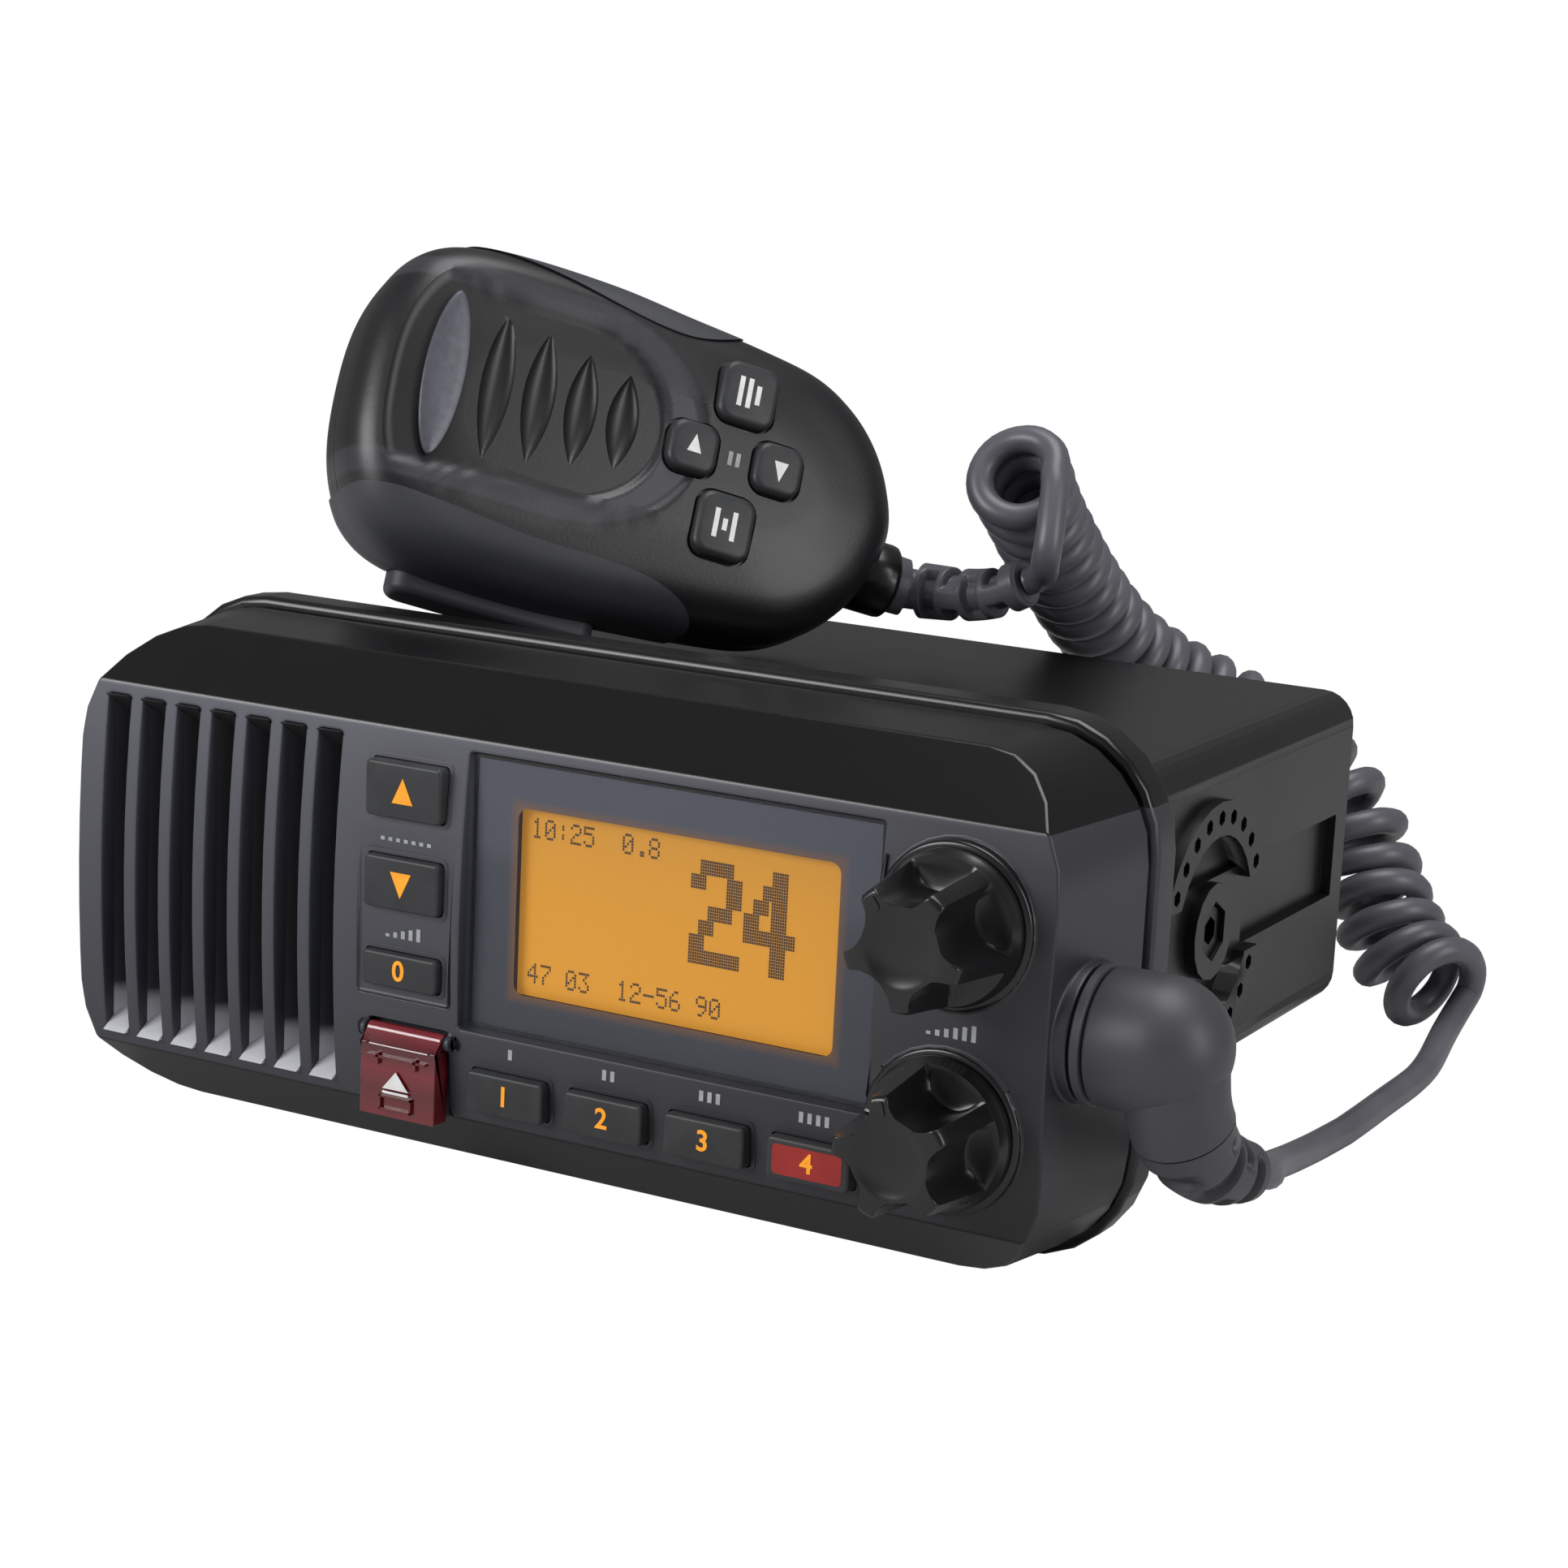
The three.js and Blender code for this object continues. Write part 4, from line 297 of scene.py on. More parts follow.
on_face = add_node(
    abs_housing, "ShaderNodeMath", {"operation": "MULTIPLY"},
    {0: above.outputs[0], 1: below.outputs[0]},
)
height = add_node(
    abs_housing, "ShaderNodeMapRange", {"From Min": FACE_LOW, "From Max": FACE_HIGH},
    {"Value": place.outputs["Z"]},
)
CLOUD_MM = 16.667
mottle = add_node(
    abs_housing, "ShaderNodeTexNoise", {"Scale": 1000 / CLOUD_MM, "Detail": 3.0}, {"Vector": where},
)
# The face's grey, painted lighter towards the top as a painted reflection
face_grey_and_painted_reflection = add_node(
    abs_housing, "ShaderNodeValToRGB",
    {"stops": [(0.0, "#34353c"), (0.45, "#44454d"), (0.9, "#50515a"), (1.0, "#565761")]},
    {"Fac": height.outputs[0]},
).outputs["Color"]
body_shade = add_node(
    abs_housing, "ShaderNodeValToRGB",
    {"stops": [(0.3, "#09090a"), (0.7, "#0d0d0e")]},
    {"Fac": mottle.outputs["Fac"]},
).outputs["Color"]
colour = add_node(
    abs_housing, "ShaderNodeMix", {"data_type": "RGBA"},
    {0: on_face.outputs[0], 6: body_shade, 7: face_grey_and_painted_reflection},
)
# Painted shade: the face is painted darker towards the knobs, as the light falls off across it
PAINTED_SHADE_FROM, PAINTED_SHADE_TO = on_radio(-40, 0, 0).x, on_radio(92, 0, 0).x
along = add_node(
    abs_housing, "ShaderNodeMapRange",
    {"From Min": PAINTED_SHADE_FROM, "From Max": PAINTED_SHADE_TO, "To Min": 1.0, "To Max": 0.36},
    {"Value": place.outputs["X"]},
)
colour = add_node(
    abs_housing, "ShaderNodeMix", {"data_type": "RGBA", "blend_type": "MULTIPLY", 0: 1.0},
    {6: colour.outputs[2], 7: along.outputs[0]},
)
abs_housing.node_tree.links.new(colour.outputs[2], shader.inputs["Base Color"])
gloss = add_node(
    abs_housing, "ShaderNodeMapRange", {"To Min": 0.26, "To Max": 0.42},
    {"Value": on_face.outputs[0]},
)
abs_housing.node_tree.links.new(gloss.outputs[0], shader.inputs["Roughness"])
shader.inputs["IOR"].default_value = 1.53
grain_bump(abs_housing, shader, where, size_mm=0.35, depth_mm=0.012, strength=0.5)

housing = piece_from(welded("front_bezel"), "housing_front", abs_housing, "radio_body")
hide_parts("front_bezel")

# The wells that the keys rise through: left, right, bottom and top of each
KEY_HOLES = {
    "channel_up": (-31.2, -16.0, 16.8, 26.6),
    "channel_down": (-31.2, -16.0, 1.7, 11.0),
    "enter": (-31.2, -16.0, -11.3, -4.9),
    "menu": (-10.3, 4.8, -29.0, -21.6),
    "memory": (8.15, 23.25, -29.0, -21.6),
    "scan": (26.6, 41.7, -29.0, -21.6),
    "channel_sixteen": (45.05, 60.15, -29.0, -21.6),
}
# A shallow panel frames the key column
PANEL_LEFT, PANEL_RIGHT, PANEL_BOTTOM, PANEL_TOP = -32.4, -14.6, -12.8, 29.0
FACE_CREST = -1.05
PANEL_FACE = FACE_CREST + PANEL_DEPTH_MM
IN_FRONT = -6
panel = bmesh.new()
block(panel, on_radio(PANEL_LEFT, IN_FRONT, PANEL_BOTTOM), on_radio(PANEL_RIGHT, PANEL_FACE, PANEL_TOP))
cut_away(housing, panel)
round_edges(housing, HOUSING_EDGE_MM)

# Louvres inside the speaker slots: a slanted rib runs the height of each slot and closes it to dust,
# with a ramp at its foot that sheds water. They are part of the same moulding.
SLOT_COUNT = 7
SLOT_LEFT = -85.6
SLOT_WIDTH = 4.6
SLOT_PITCH = 7.23
SLOT_HALF = 29.3
LOUVRE_FRONT = 2.6
LOUVRE_BACK = 8.6
RAMP_RISE = 6.2
RAMP_FRONT = -0.2


def prism(shape, corners, pull):
    """A flat polygon pulled by one vector into a closed prism."""
    flat = shape.faces.new([shape.verts.new(corner) for corner in corners])
    pulled = bmesh.ops.extrude_face_region(shape, geom=[flat])["geom"]
    bmesh.ops.translate(shape, vec=pull, verts=[v for v in pulled if isinstance(v, bmesh.types.BMVert)])


louvres = bmesh.new()
for i in range(SLOT_COUNT):
    left = SLOT_LEFT + i * SLOT_PITCH
    right = left + SLOT_WIDTH
    prism(
        louvres,
        [
            on_radio(left, LOUVRE_FRONT, -SLOT_HALF),
            on_radio(right, LOUVRE_BACK, -SLOT_HALF),
            on_radio(left, LOUVRE_BACK, -SLOT_HALF),
        ],
        metres(0, 0, 2 * SLOT_HALF),
    )
    for level, rise in ((-SLOT_HALF, RAMP_RISE), (SLOT_HALF, -RAMP_RISE)):
        prism(
            louvres,
            [
                on_radio(left, RAMP_FRONT, level),
                on_radio(left, LOUVRE_BACK, level),
                on_radio(left, LOUVRE_BACK, level + rise),
            ],
            metres(SLOT_WIDTH, 0, 0),
        )
bmesh.ops.recalc_face_normals(louvres, faces=louvres.faces)


def graded(name, low, high, stops):
    """A whole material whose colour changes with height, between two heights in millimetres."""
    material, shader = new_material(name)
    where = add_node(material, "ShaderNodeTexCoord").outputs["Object"]
    height = add_node(
        material, "ShaderNodeMapRange",
        {"From Min": on_radio(0, 0, low).z, "From Max": on_radio(0, 0, high).z},
        {"Value": add_node(material, "ShaderNodeSeparateXYZ", links={0: where}).outputs["Z"]},
    )
    ramp = add_node(material, "ShaderNodeValToRGB", {"stops": stops}, {"Fac": height.outputs[0]})
    material.node_tree.links.new(ramp.outputs["Color"], shader.inputs["Base Color"])
    return material, shader, where, ramp.outputs["Color"]


# The same plastic as the housing's, with painted light: the ramps at the slots' feet are painted pale
# where they catch the light, and the tops of the slots are painted darker as painted shade.
louvre_plastic_painted_light, shader, where, _ = graded(
    "moulded_satin_ABS_louvre", -SLOT_HALF, SLOT_HALF,
    [(0.0, "#d4d4dc"), (0.1, "#b4b4bc"), (0.135, "#2c2d33"), (0.9, "#26272c"), (1.0, "#161618")],
)
shader.inputs["Roughness"].default_value = 0.45
grain_bump(louvre_plastic_painted_light, shader, where, size_mm=0.35, depth_mm=0.012, strength=0.5)
piece_from(louvres, "grille_louvres", louvre_plastic_painted_light, "radio_body")


# Display: a clear acrylic lens, printed grey on its back round a window, over an amber back-lit screen.
# The screen shows plain numbers in square dots, as a dot-matrix liquid crystal does.
LENS = (-12.5, 61.2, -15.7, 29.1)
WINDOW = (-4.2, 53.8, -9.2, 21.4)
WINDOW_CORNER_MM = 1.8
PRINT_PLACE = 2.14
PRINT_MM = 0.2
GLOW_MM = 1.6
SCREEN_PLACE = 3.8
DOT_ACROSS, DOT_DOWN = 0.4, 0.48
DOT_SHARE = 0.84
DOT_RISE = 0.04
BIG_CELL = (4, 5)
FIGURE_PITCH = 6
WINDOW_CUT_MM = 1
TOUCH = 0.000001


def soften(shape, edges, width_mm, steps):
    """Rounds some edges of a bmesh."""
    bmesh.ops.bevel(
        shape, geom=edges, offset=width_mm / 1000, offset_type="OFFSET",
        segments=steps, profile=0.5, affect="EDGES", material=-1,
    )


def dress(material, *nodes):
    """Gives solids of the frame that stay in view their material."""
    for node in nodes:
        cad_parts[node].data.materials.clear()
        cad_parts[node].data.materials.append(material)


def rounded_block(shape, low, high, radius_mm, axis=1, steps=5):
    """A box whose edges along one axis are rounded."""
    corners = block(shape, low, high)
    edges = dict.fromkeys(e for v in corners for e in v.link_edges)
    edges = [e for e in edges if abs((e.verts[1].co - e.verts[0].co)[axis]) > TOUCH]
    soften(shape, edges, radius_mm, steps)


# Cast acrylic: clear, hard and glossy, so it shows a clean reflection over what lies behind it.
clear_acrylic, shader = new_material("polished_clear_acrylic")
shader.inputs["Base Color"].default_value = linear("#8c93a3")
shader.inputs["Roughness"].default_value = 0.05
shader.inputs["IOR"].default_value = 1.49
where = add_node(clear_acrylic, "ShaderNodeTexCoord").outputs["Object"]
SMEAR_MM = 40
smear = add_node(clear_acrylic, "ShaderNodeTexNoise", {"Scale": 1000 / SMEAR_MM}, {"Vector": where})
veil = add_node(
    clear_acrylic, "ShaderNodeMapRange", {"To Min": 0.03, "To Max": 0.05}, {"Value": smear.outputs["Fac"]},
)
clear_acrylic.node_tree.links.new(veil.outputs[0], shader.inputs["Alpha"])
dress(clear_acrylic, "display_lens")

# Screen-printed ink: an even satin grey, painted lighter towards the top as a painted reflection, with a
# painted warm glow of the back light round the window.
lens_ink, shader, where, shade = graded(
    "screen_printed_grey_ink", LENS[2], LENS[3],
    [(0.0, "#34353e"), (0.6, "#3d3f49"), (0.68, "#4a4d58"), (1.0, "#4e515c")],
)
place = add_node(lens_ink, "ShaderNodeSeparateXYZ", links={0: where})
window_middle = on_radio((WINDOW[0] + WINDOW[1]) / 2, 0, (WINDOW[2] + WINDOW[3]) / 2)
reach = []
for axis_name, middle, half in (
    ("X", window_middle.x, (WINDOW[1] - WINDOW[0]) / 2000),
    ("Z", window_middle.z, (WINDOW[3] - WINDOW[2]) / 2000),
):
    offset = add_node(
        lens_ink, "ShaderNodeMath", {"operation": "SUBTRACT", 1: middle}, {0: place.outputs[axis_name]},
    )
    size = add_node(lens_ink, "ShaderNodeMath", {"operation": "ABSOLUTE"}, {0: offset.outputs[0]})
    over = add_node(lens_ink, "ShaderNodeMath", {"operation": "SUBTRACT", 1: half}, {0: size.outputs[0]})
    reach.append(over.outputs[0])
edge = add_node(lens_ink, "ShaderNodeMath", {"operation": "MAXIMUM"}, {0: reach[0], 1: reach[1]})
# Painted glow of the back light: the ink is painted warmer near the window's edge
glow = add_node(
    lens_ink, "ShaderNodeMapRange",
    {"From Min": 0.0, "From Max": GLOW_MM / 1000, "To Min": 0.55, "To Max": 0.0}, {"Value": edge.outputs[0]},
)
warm_painted_glow = add_node(
    lens_ink, "ShaderNodeMix", {"data_type": "RGBA", 7: linear("#8a5a1c")},
    {0: glow.outputs[0], 6: shade},
)
lens_ink.node_tree.links.new(warm_painted_glow.outputs[2], shader.inputs["Base Color"])
shader.inputs["Roughness"].default_value = 0.4
lens_print = bmesh.new()
block(lens_print, on_radio(LENS[0], PRINT_PLACE, LENS[2]), on_radio(LENS[1], PRINT_PLACE + PRINT_MM, LENS[3]))
print_piece = piece_from(lens_print, "lens_print", lens_ink, "radio_body")
window = bmesh.new()
rounded_block(
    window, on_radio(WINDOW[0], PRINT_PLACE - WINDOW_CUT_MM, WINDOW[2]),
    on_radio(WINDOW[1], PRINT_PLACE + WINDOW_CUT_MM, WINDOW[3]), WINDOW_CORNER_MM,
)
cut_away(print_piece, window)
print_piece.data.shade_flat()

# Back-lit liquid crystal: the amber light guide glows evenly, a little stronger low down.
amber_screen, shader, _, shade = graded(
    "amber_backlit_liquid_crystal", WINDOW[2], WINDOW[3],
    [(0.0, "#d08d0e"), (0.5, "#cc8a0d"), (0.8, "#c68710"), (1.0, "#c08414")],
)
amber_screen.node_tree.links.new(shade, shader.inputs["Emission Color"])
shader.inputs["Emission Strength"].default_value = 0.42
shader.inputs["Roughness"].default_value = 0.5
dress(amber_screen, "display_screen")

DIGITS = {
    "0": "01110 10001 10011 10101 11001 10001 01110",
    "1": "00100 01100 00100 00100 00100 00100 01110",
    "2": "01110 10001 00001 00110 01000 10000 11111",
    "3": "11111 00010 00100 00010 00001 10001 01110",
    "4": "00010 00110 01010 10010 11111 00010 00010",
    "5": "11111 10000 11110 00001 00001 10001 01110",
    "6": "00110 01000 10000 11110 10001 10001 01110",
    "7": "11111 00001 00010 00100 01000 01000 01000",
    "8": "01110 10001 10001 01110 10001 10001 01110",
    "9": "01110 10001 10001 01111 00001 00010 01100",
    ":": "00000 00100 00100 00000 00100 00100 00000",
    ".": "00000 00000 00000 00000 00000 00110 00110",
    "-": "00000 00000 00000 11111 00000 00000 00000",
    " ": "00000 00000 00000 00000 00000 00000 00000",
}


def dot_number(shape, text, left, top, cell=(1, 1), bold=0):
    """Draws numbers as small dots. A cell of a five by seven figure is some dots wide and high."""
    cell_wide, cell_high = cell
    dot = Matrix.Diagonal((DOT_ACROSS * DOT_SHARE / 1000, DOT_DOWN * DOT_SHARE / 1000, 1, 1))
    dots = set()
    for place, letter in enumerate(text):
        for row, cells in enumerate(DIGITS[letter].split()):
            for column, filled in enumerate(cells):
                if filled == "1":
                    across, down = (place * FIGURE_PITCH + column) * cell_wide, row * cell_high
                    cell_dots = [(i, j) for i in range(cell_wide + bold) for j in range(cell_high)]
                    dots |= {(across + i, down + j) for i, j in cell_dots}
    for across, down in sorted(dots):
        middle = on_radio(left + across * DOT_ACROSS, SCREEN_PLACE - DOT_RISE, top - down * DOT_DOWN)
        bmesh.ops.create_grid(
            shape, x_segments=1, y_segments=1, size=0.5,
            matrix=Matrix.Translation(middle) @ Matrix.Rotation(math.pi / 2, 4, "X") @ dot,
        )


def mottled(name, shades, cloud_mm, detail=2.0, roughness=0.5, ior=1.5, metallic=0.0, glow=0.0,
            ends=(0.3, 0.7), grain=None):
    """A whole material whose two close shades drift over it in soft clouds.

    A roughness of two values drifts with the clouds. A glow lights the shades from within. The grain is
    its size and depth in millimetres and its strength.
    """
    material, shader = new_material(name)
    where = add_node(material, "ShaderNodeTexCoord").outputs["Object"]
    clouds = add_node(
        material, "ShaderNodeTexNoise", {"Scale": 1000 / cloud_mm, "Detail": detail}, {"Vector": where},
    ).outputs["Fac"]
    ramp = add_node(material, "ShaderNodeValToRGB", {"stops": list(zip(ends, shades))}, {"Fac": clouds})
    material.node_tree.links.new(ramp.outputs["Color"], shader.inputs["Base Color"])
    if isinstance(roughness, tuple):
        smooth, rough = roughness
        polish = add_node(
            material, "ShaderNodeMapRange", {"To Min": smooth, "To Max": rough}, {"Value": clouds},
        )
        material.node_tree.links.new(polish.outputs[0], shader.inputs["Roughness"])
    else:
        shader.inputs["Roughness"].default_value = roughness
    shader.inputs["IOR"].default_value = ior
    shader.inputs["Metallic"].default_value = metallic
    if glow:
        material.node_tree.links.new(ramp.outputs["Color"], shader.inputs["Emission Color"])
        shader.inputs["Emission Strength"].default_value = glow
    if grain:
        grain_bump(material, shader, where, *grain)
    return material


# Liquid crystal: each dot is dark and matt, painted a little warm for the back light that leaks through it.
dark_dots = mottled("dark_liquid_crystal_dots", ("#3a2508", "#4a310f"), cloud_mm=11.111, ends=(0.2, 0.8))
readout = bmesh.new()
dot_number(readout, "10:25  0.8", -2.4, 19.6)
dot_number(readout, "47 03  12-56 90", -2.4, -4.2)
dot_number(readout, "24", 27.0, 17.6, BIG_CELL, bold=3)
piece_from(readout, "screen_readout", dark_dots, "radio_body")


# Keys: moulded silicone caps that rise through the face, with marks that the amber light shines through.
# Three stand in a column and four in a row.
KEY_TOP = -2.1
KEY_FOOT = 4.2
KEY_CORNER_MM = 0.9
KEY_CROWN_MM = 0.55
KEY_GAP = 0.3
CREST_MM = 0.01
MARK_THICKNESS = 0.12

# Silicone rubber: a soft dark grey with a dull sheen and the finest grain.
silicone = mottled(
    "moulded_silicone_rubber", ("#2d2e30", "#37383a"), cloud_mm=4.5455, detail=4.0, roughness=0.42, ior=1.43,
    grain=(0.25, 0.008, 0.5),
)

# Amber light through translucent ink: warm and even, a little brighter in some places than in others.
amber_light = mottled(
    "amber_lit_translucent_ink", ("#e08a12", "#f7a41d"), cloud_mm=3.3333, glow=0.35, ends=(0.2, 0.8),
)

# Pad-printed ink on plastic: a flat light grey with a faintly uneven film.
grey_ink = mottled(
    "pad_printed_grey_ink", ("#a2a4a8", "#b4b6ba"), cloud_mm=2.5, detail=3.0, roughness=0.55,
)

for name, (left, right, bottom, top) in KEY_HOLES.items():
    key = bmesh.new()
    rounded_block(
        key,
        on_radio(left + KEY_GAP, KEY_TOP, bottom + KEY_GAP),
        on_radio(right - KEY_GAP, KEY_FOOT, top - KEY_GAP),
        KEY_CORNER_MM,
    )
    crest = on_radio(0, KEY_TOP + CREST_MM, 0).y
    soften(key, [e for e in key.edges if all(v.co.y < crest for v in e.verts)], KEY_CROWN_MM, 4)
    key_piece = piece_from(key, f"{name}_cap", silicone, name, smooth=50)
    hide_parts(f"{name}_key")


# A thin lip stands round each key, moulded with the housing, and follows its crown or the flat panel
LIP_MM, LIP_RISE_MM, LIP_GAP_MM = 0.55, 0.14, 0.12
LIP_FOOT, HOLE_REACH = 0.8, 3
LIP_EDGE_MM = 0.07
CROWN_FRONT, CROWN_FALL, CROWN_HALF = -1, 2, 31.4


def face_depth(z):
    """How far back the crowned face lies at one height."""
    return CROWN_FRONT + CROWN_FALL * (z / CROWN_HALF) ** 2


lips = bmesh.new()
lip_holes = bmesh.new()
for name, (left, right, bottom, top) in KEY_HOLES.items():
    in_column = right < 0
    for shape, grow, front, back in (
        (lips, LIP_MM, -LIP_RISE_MM, LIP_FOOT),
        (lip_holes, LIP_GAP_MM - KEY_GAP, -HOLE_REACH, HOLE_REACH),
    ):
        corners = set(shape.verts)
        rounded_block(
            shape, on_radio(left - grow, front, bottom - grow), on_radio(right + grow, back, top + grow),
            KEY_CORNER_MM + grow,
        )
        for corner in set(shape.verts) - corners:
            level = face_depth(corner.co.z * 1000 - FACE_HEIGHT_MM)
            corner.co.y += (max(level, PANEL_FACE) if in_column else level) / 1000
lip_piece = piece_from(lips, "key_lips", abs_housing, "radio_body")
cut_away(lip_piece, lip_holes)
round_edges(lip_piece, LIP_EDGE_MM)


# A font's figures are smaller than its size
FONT_SIZE_SHARE = 1.45
BOLD_MM = 0.09


def numeral(name, text, place, height_mm, body):
    """A plain number that the amber light shines through, centred on a place and facing the front."""
    words = bpy.data.curves.new(name, "FONT")
    words.body = text
    words.size = height_mm / 1000 * FONT_SIZE_SHARE
    words.align_x = "CENTER"
    words.align_y = "CENTER"
    words.extrude = MARK_THICKNESS / 2000
    words.offset = BOLD_MM / 1000
    holder = bpy.data.objects.new(name, words)
    bpy.context.scene.collection.objects.link(holder)
    view = bpy.context.evaluated_depsgraph_get()
    view.update()
    mesh = bpy.data.meshes.new_from_object(holder.evaluated_get(view))
    bpy.data.objects.remove(holder)
    mesh.transform(Matrix.Translation(place) @ Matrix.Rotation(math.pi / 2, 4, "X"))
    mesh.materials.clear()
    mesh.materials.append(amber_light)
    piece = bpy.data.objects.new(name, mesh)
    bpy.context.scene.collection.objects.link(piece)
    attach(piece, body)


def flat_mark(name, outlines, y, material, body):
    """A flat printed mark on the front, from outlines in millimetres across and up."""
    shape = bmesh.new()
    for outline in outlines:
        prism(shape, [on_radio(x, y, z) for x, z in outline], metres(0, -MARK_THICKNESS, 0))
    bmesh.ops.recalc_face_normals(shape, faces=shape.faces)
    return piece_from(shape, name, material, body)


KEY_MARK_PLACE = KEY_TOP + MARK_THICKNESS / 2
ARROW_HALF, ARROW_TIP = 2, 2.2
FIGURE_MM = 3.2
for name, up in (("channel_up", 1), ("channel_down", -1)):
    left, right, bottom, top = KEY_HOLES[name]
    middle_x, middle_z = (left + right) / 2, (bottom + top) / 2
    foot, tip = middle_z - ARROW_HALF * up, middle_z + ARROW_TIP * up
    arrow = [(middle_x - ARROW_HALF, foot), (middle_x + ARROW_HALF, foot), (middle_x, tip)]
    flat_mark(f"{name}_arrow", [arrow], KEY_MARK_PLACE, amber_light, name)
for name, text in (("enter", "0"), ("menu", "1"), ("memory", "2"), ("scan", "3")):
    left, right, bottom, top = KEY_HOLES[name]
    place = on_radio((left + right) / 2, KEY_TOP - MARK_THICKNESS / 4, (bottom + top) / 2)
    numeral(f"{name}_number", text, place, FIGURE_MM, name)

# The last key of the row has a red patch, in translucent ink: deep and even, with a slight sheen.
red_ink = mottled("red_lit_translucent_ink", ("#941b16", "#a9241c"), cloud_mm=6.6667, roughness=0.45)
PATCH_SIDE, PATCH_FOOT, PATCH_CORNER_MM = 1.5, 1.3, 0.7
PATCH_FIGURE_MM = 3.0
left, right, bottom, top = KEY_HOLES["channel_sixteen"]
patch = bmesh.new()
rounded_block(
    patch,
    on_radio(left + PATCH_SIDE, KEY_TOP - MARK_THICKNESS / 2, bottom + PATCH_FOOT),
    on_radio(right - PATCH_SIDE, KEY_TOP + MARK_THICKNESS, top - PATCH_FOOT),
    PATCH_CORNER_MM,
)
piece_from(patch, "channel_sixteen_patch", red_ink, "channel_sixteen")
place = on_radio((left + right) / 2, KEY_TOP - MARK_THICKNESS, (bottom + top) / 2)
numeral("channel_sixteen_number", "4", place, PATCH_FIGURE_MM, "channel_sixteen")


# Printed marks beside the keys: rising bars, dashes and dots in place of words
BAR_WIDTH, BAR_PITCH = 0.75, 1.5
PANEL_PLACE = -0.52
PRINT_SINK = 0.05
KEY_MARKS_FOOT, KEY_MARK_HEIGHT = -19.4, 1.7
RISING = (0.5, 0.9, 1.3, 1.7, 2.1)
UNEVEN = (2.1, 1.2, 2.1, 0.7, 1.6, 2.1, 0.9)


def face_bars(name, left, foot, sizes, place):
    """A row of printed grey bars that stand on one line of the housing."""
    outlines = []
    for i, size in enumerate(sizes):
        near = left + i * BAR_PITCH
        far = near + BAR_WIDTH
        outlines.append([(near, foot), (far, foot), (far, foot + size), (near, foot + size)])
    flat_mark(name, outlines, place, grey_ink, "radio_body")


face_bars("channel_marks", -28.6, 13.0, (0.6,) * 7, PANEL_PLACE)
face_bars("power_marks", -27.2, -2.9, RISING, PANEL_PLACE)
for i, name in enumerate(("menu", "memory", "scan", "channel_sixteen")):
    left, right, bottom, top = KEY_HOLES[name]
    first = (left + right) / 2 - BAR_WIDTH / 2 - BAR_PITCH / 2 * i
    place = face_depth(KEY_MARKS_FOOT + 1) + PRINT_SINK
    face_bars(f"{name}_marks", first, KEY_MARKS_FOOT, (KEY_MARK_HEIGHT,) * (i + 1), place)
face_bars("volume_marks", 71.0, -1.3, RISING + (2.5,), face_depth(0) + PRINT_SINK)
face_bars("squelch_marks", 70.6, -5.6, UNEVEN, face_depth(-4.6) + PRINT_SINK)


# Distress key: a red cap under a clear red cover that swings up on its pin.
# The cover is moulded in tinted polycarbonate, so its ribs and the key show through it.
COVER_LEFT, COVER_RIGHT = -29.8, -15.2
COVER_FRONT = -3.6
COVER_TOP, COVER_BOTTOM = -20.6, -32.4
COVER_EDGE_MM = 0.25
RIB_FRONT, RIB_BACK = COVER_FRONT - 0.25, COVER_FRONT + 0.3
FRAME_FRONT = COVER_FRONT - 0.2
# Painted highlights and painted shade: the cover's red lightens and darkens in bands with height
tinted_cover, shader, _, _ = graded(
    "tinted_red_polycarbonate", COVER_BOTTOM, COVER_TOP + 3,
    [(0.0, "#861a26"), (0.3, "#6e101b"), (0.55, "#8f1f2b"), (0.8, "#5c0c16"), (1.0, "#a03540")],
)
shader.inputs["Roughness"].default_value = 0.12
shader.inputs["IOR"].default_value = 1.58
shader.inputs["Transmission Weight"].default_value = 0.3
shader.inputs["Coat Weight"].default_value = 0.4
cover = piece_from(
    welded("distress_cover"), "distress_cover_lid", tinted_cover, "distress_lid",
)
round_edges(cover, COVER_EDGE_MM)
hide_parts("distress_cover")
# Each rib: its left, right, bottom, top and front. The last four frame the arrow.
ribs = bmesh.new()
for left, right, bottom, top, front in (
    (COVER_LEFT + 1.6, COVER_RIGHT - 1.6, -22.4, -22.0, RIB_FRONT),
    (COVER_LEFT + 3.4, COVER_LEFT + 3.9, -23.6, -21.6, RIB_FRONT),
    (COVER_RIGHT - 3.9, COVER_RIGHT - 3.4, -23.6, -21.6, RIB_FRONT),
    (COVER_LEFT + 4.2, COVER_RIGHT - 4.2, -28.9, -28.6, FRAME_FRONT),
    (COVER_LEFT + 4.2, COVER_RIGHT - 4.2, -31.0, -30.7, FRAME_FRONT),
    (COVER_LEFT + 4.2, COVER_LEFT + 4.5, -31.0, -28.6, FRAME_FRONT),
    (COVER_RIGHT - 4.5, COVER_RIGHT - 4.2, -31.0, -28.6, FRAME_FRONT),
):
    block(ribs, on_radio(left, front, bottom), on_radio(right, RIB_BACK, top))
piece_from(ribs, "distress_cover_ribs", tinted_cover, "distress_lid")
# Pad-printed ink: flat and nearly white, with the faintest unevenness.
white_ink = mottled("pad_printed_white_ink", ("#e4e4e4", "#f6f6f6"), cloud_mm=2.5, detail=3.0)
lift_arrow = [
    [(-25.0, -27.4), (-20.0, -27.4), (-22.5, -24.4)],
    [(-25.0, -28.2), (-20.0, -28.2), (-20.0, -27.8), (-25.0, -27.8)],
]
flat_mark("distress_lift_mark", lift_arrow, COVER_FRONT + 0.02, white_ink, "distress_lid")
dress(red_ink, "distress_key")


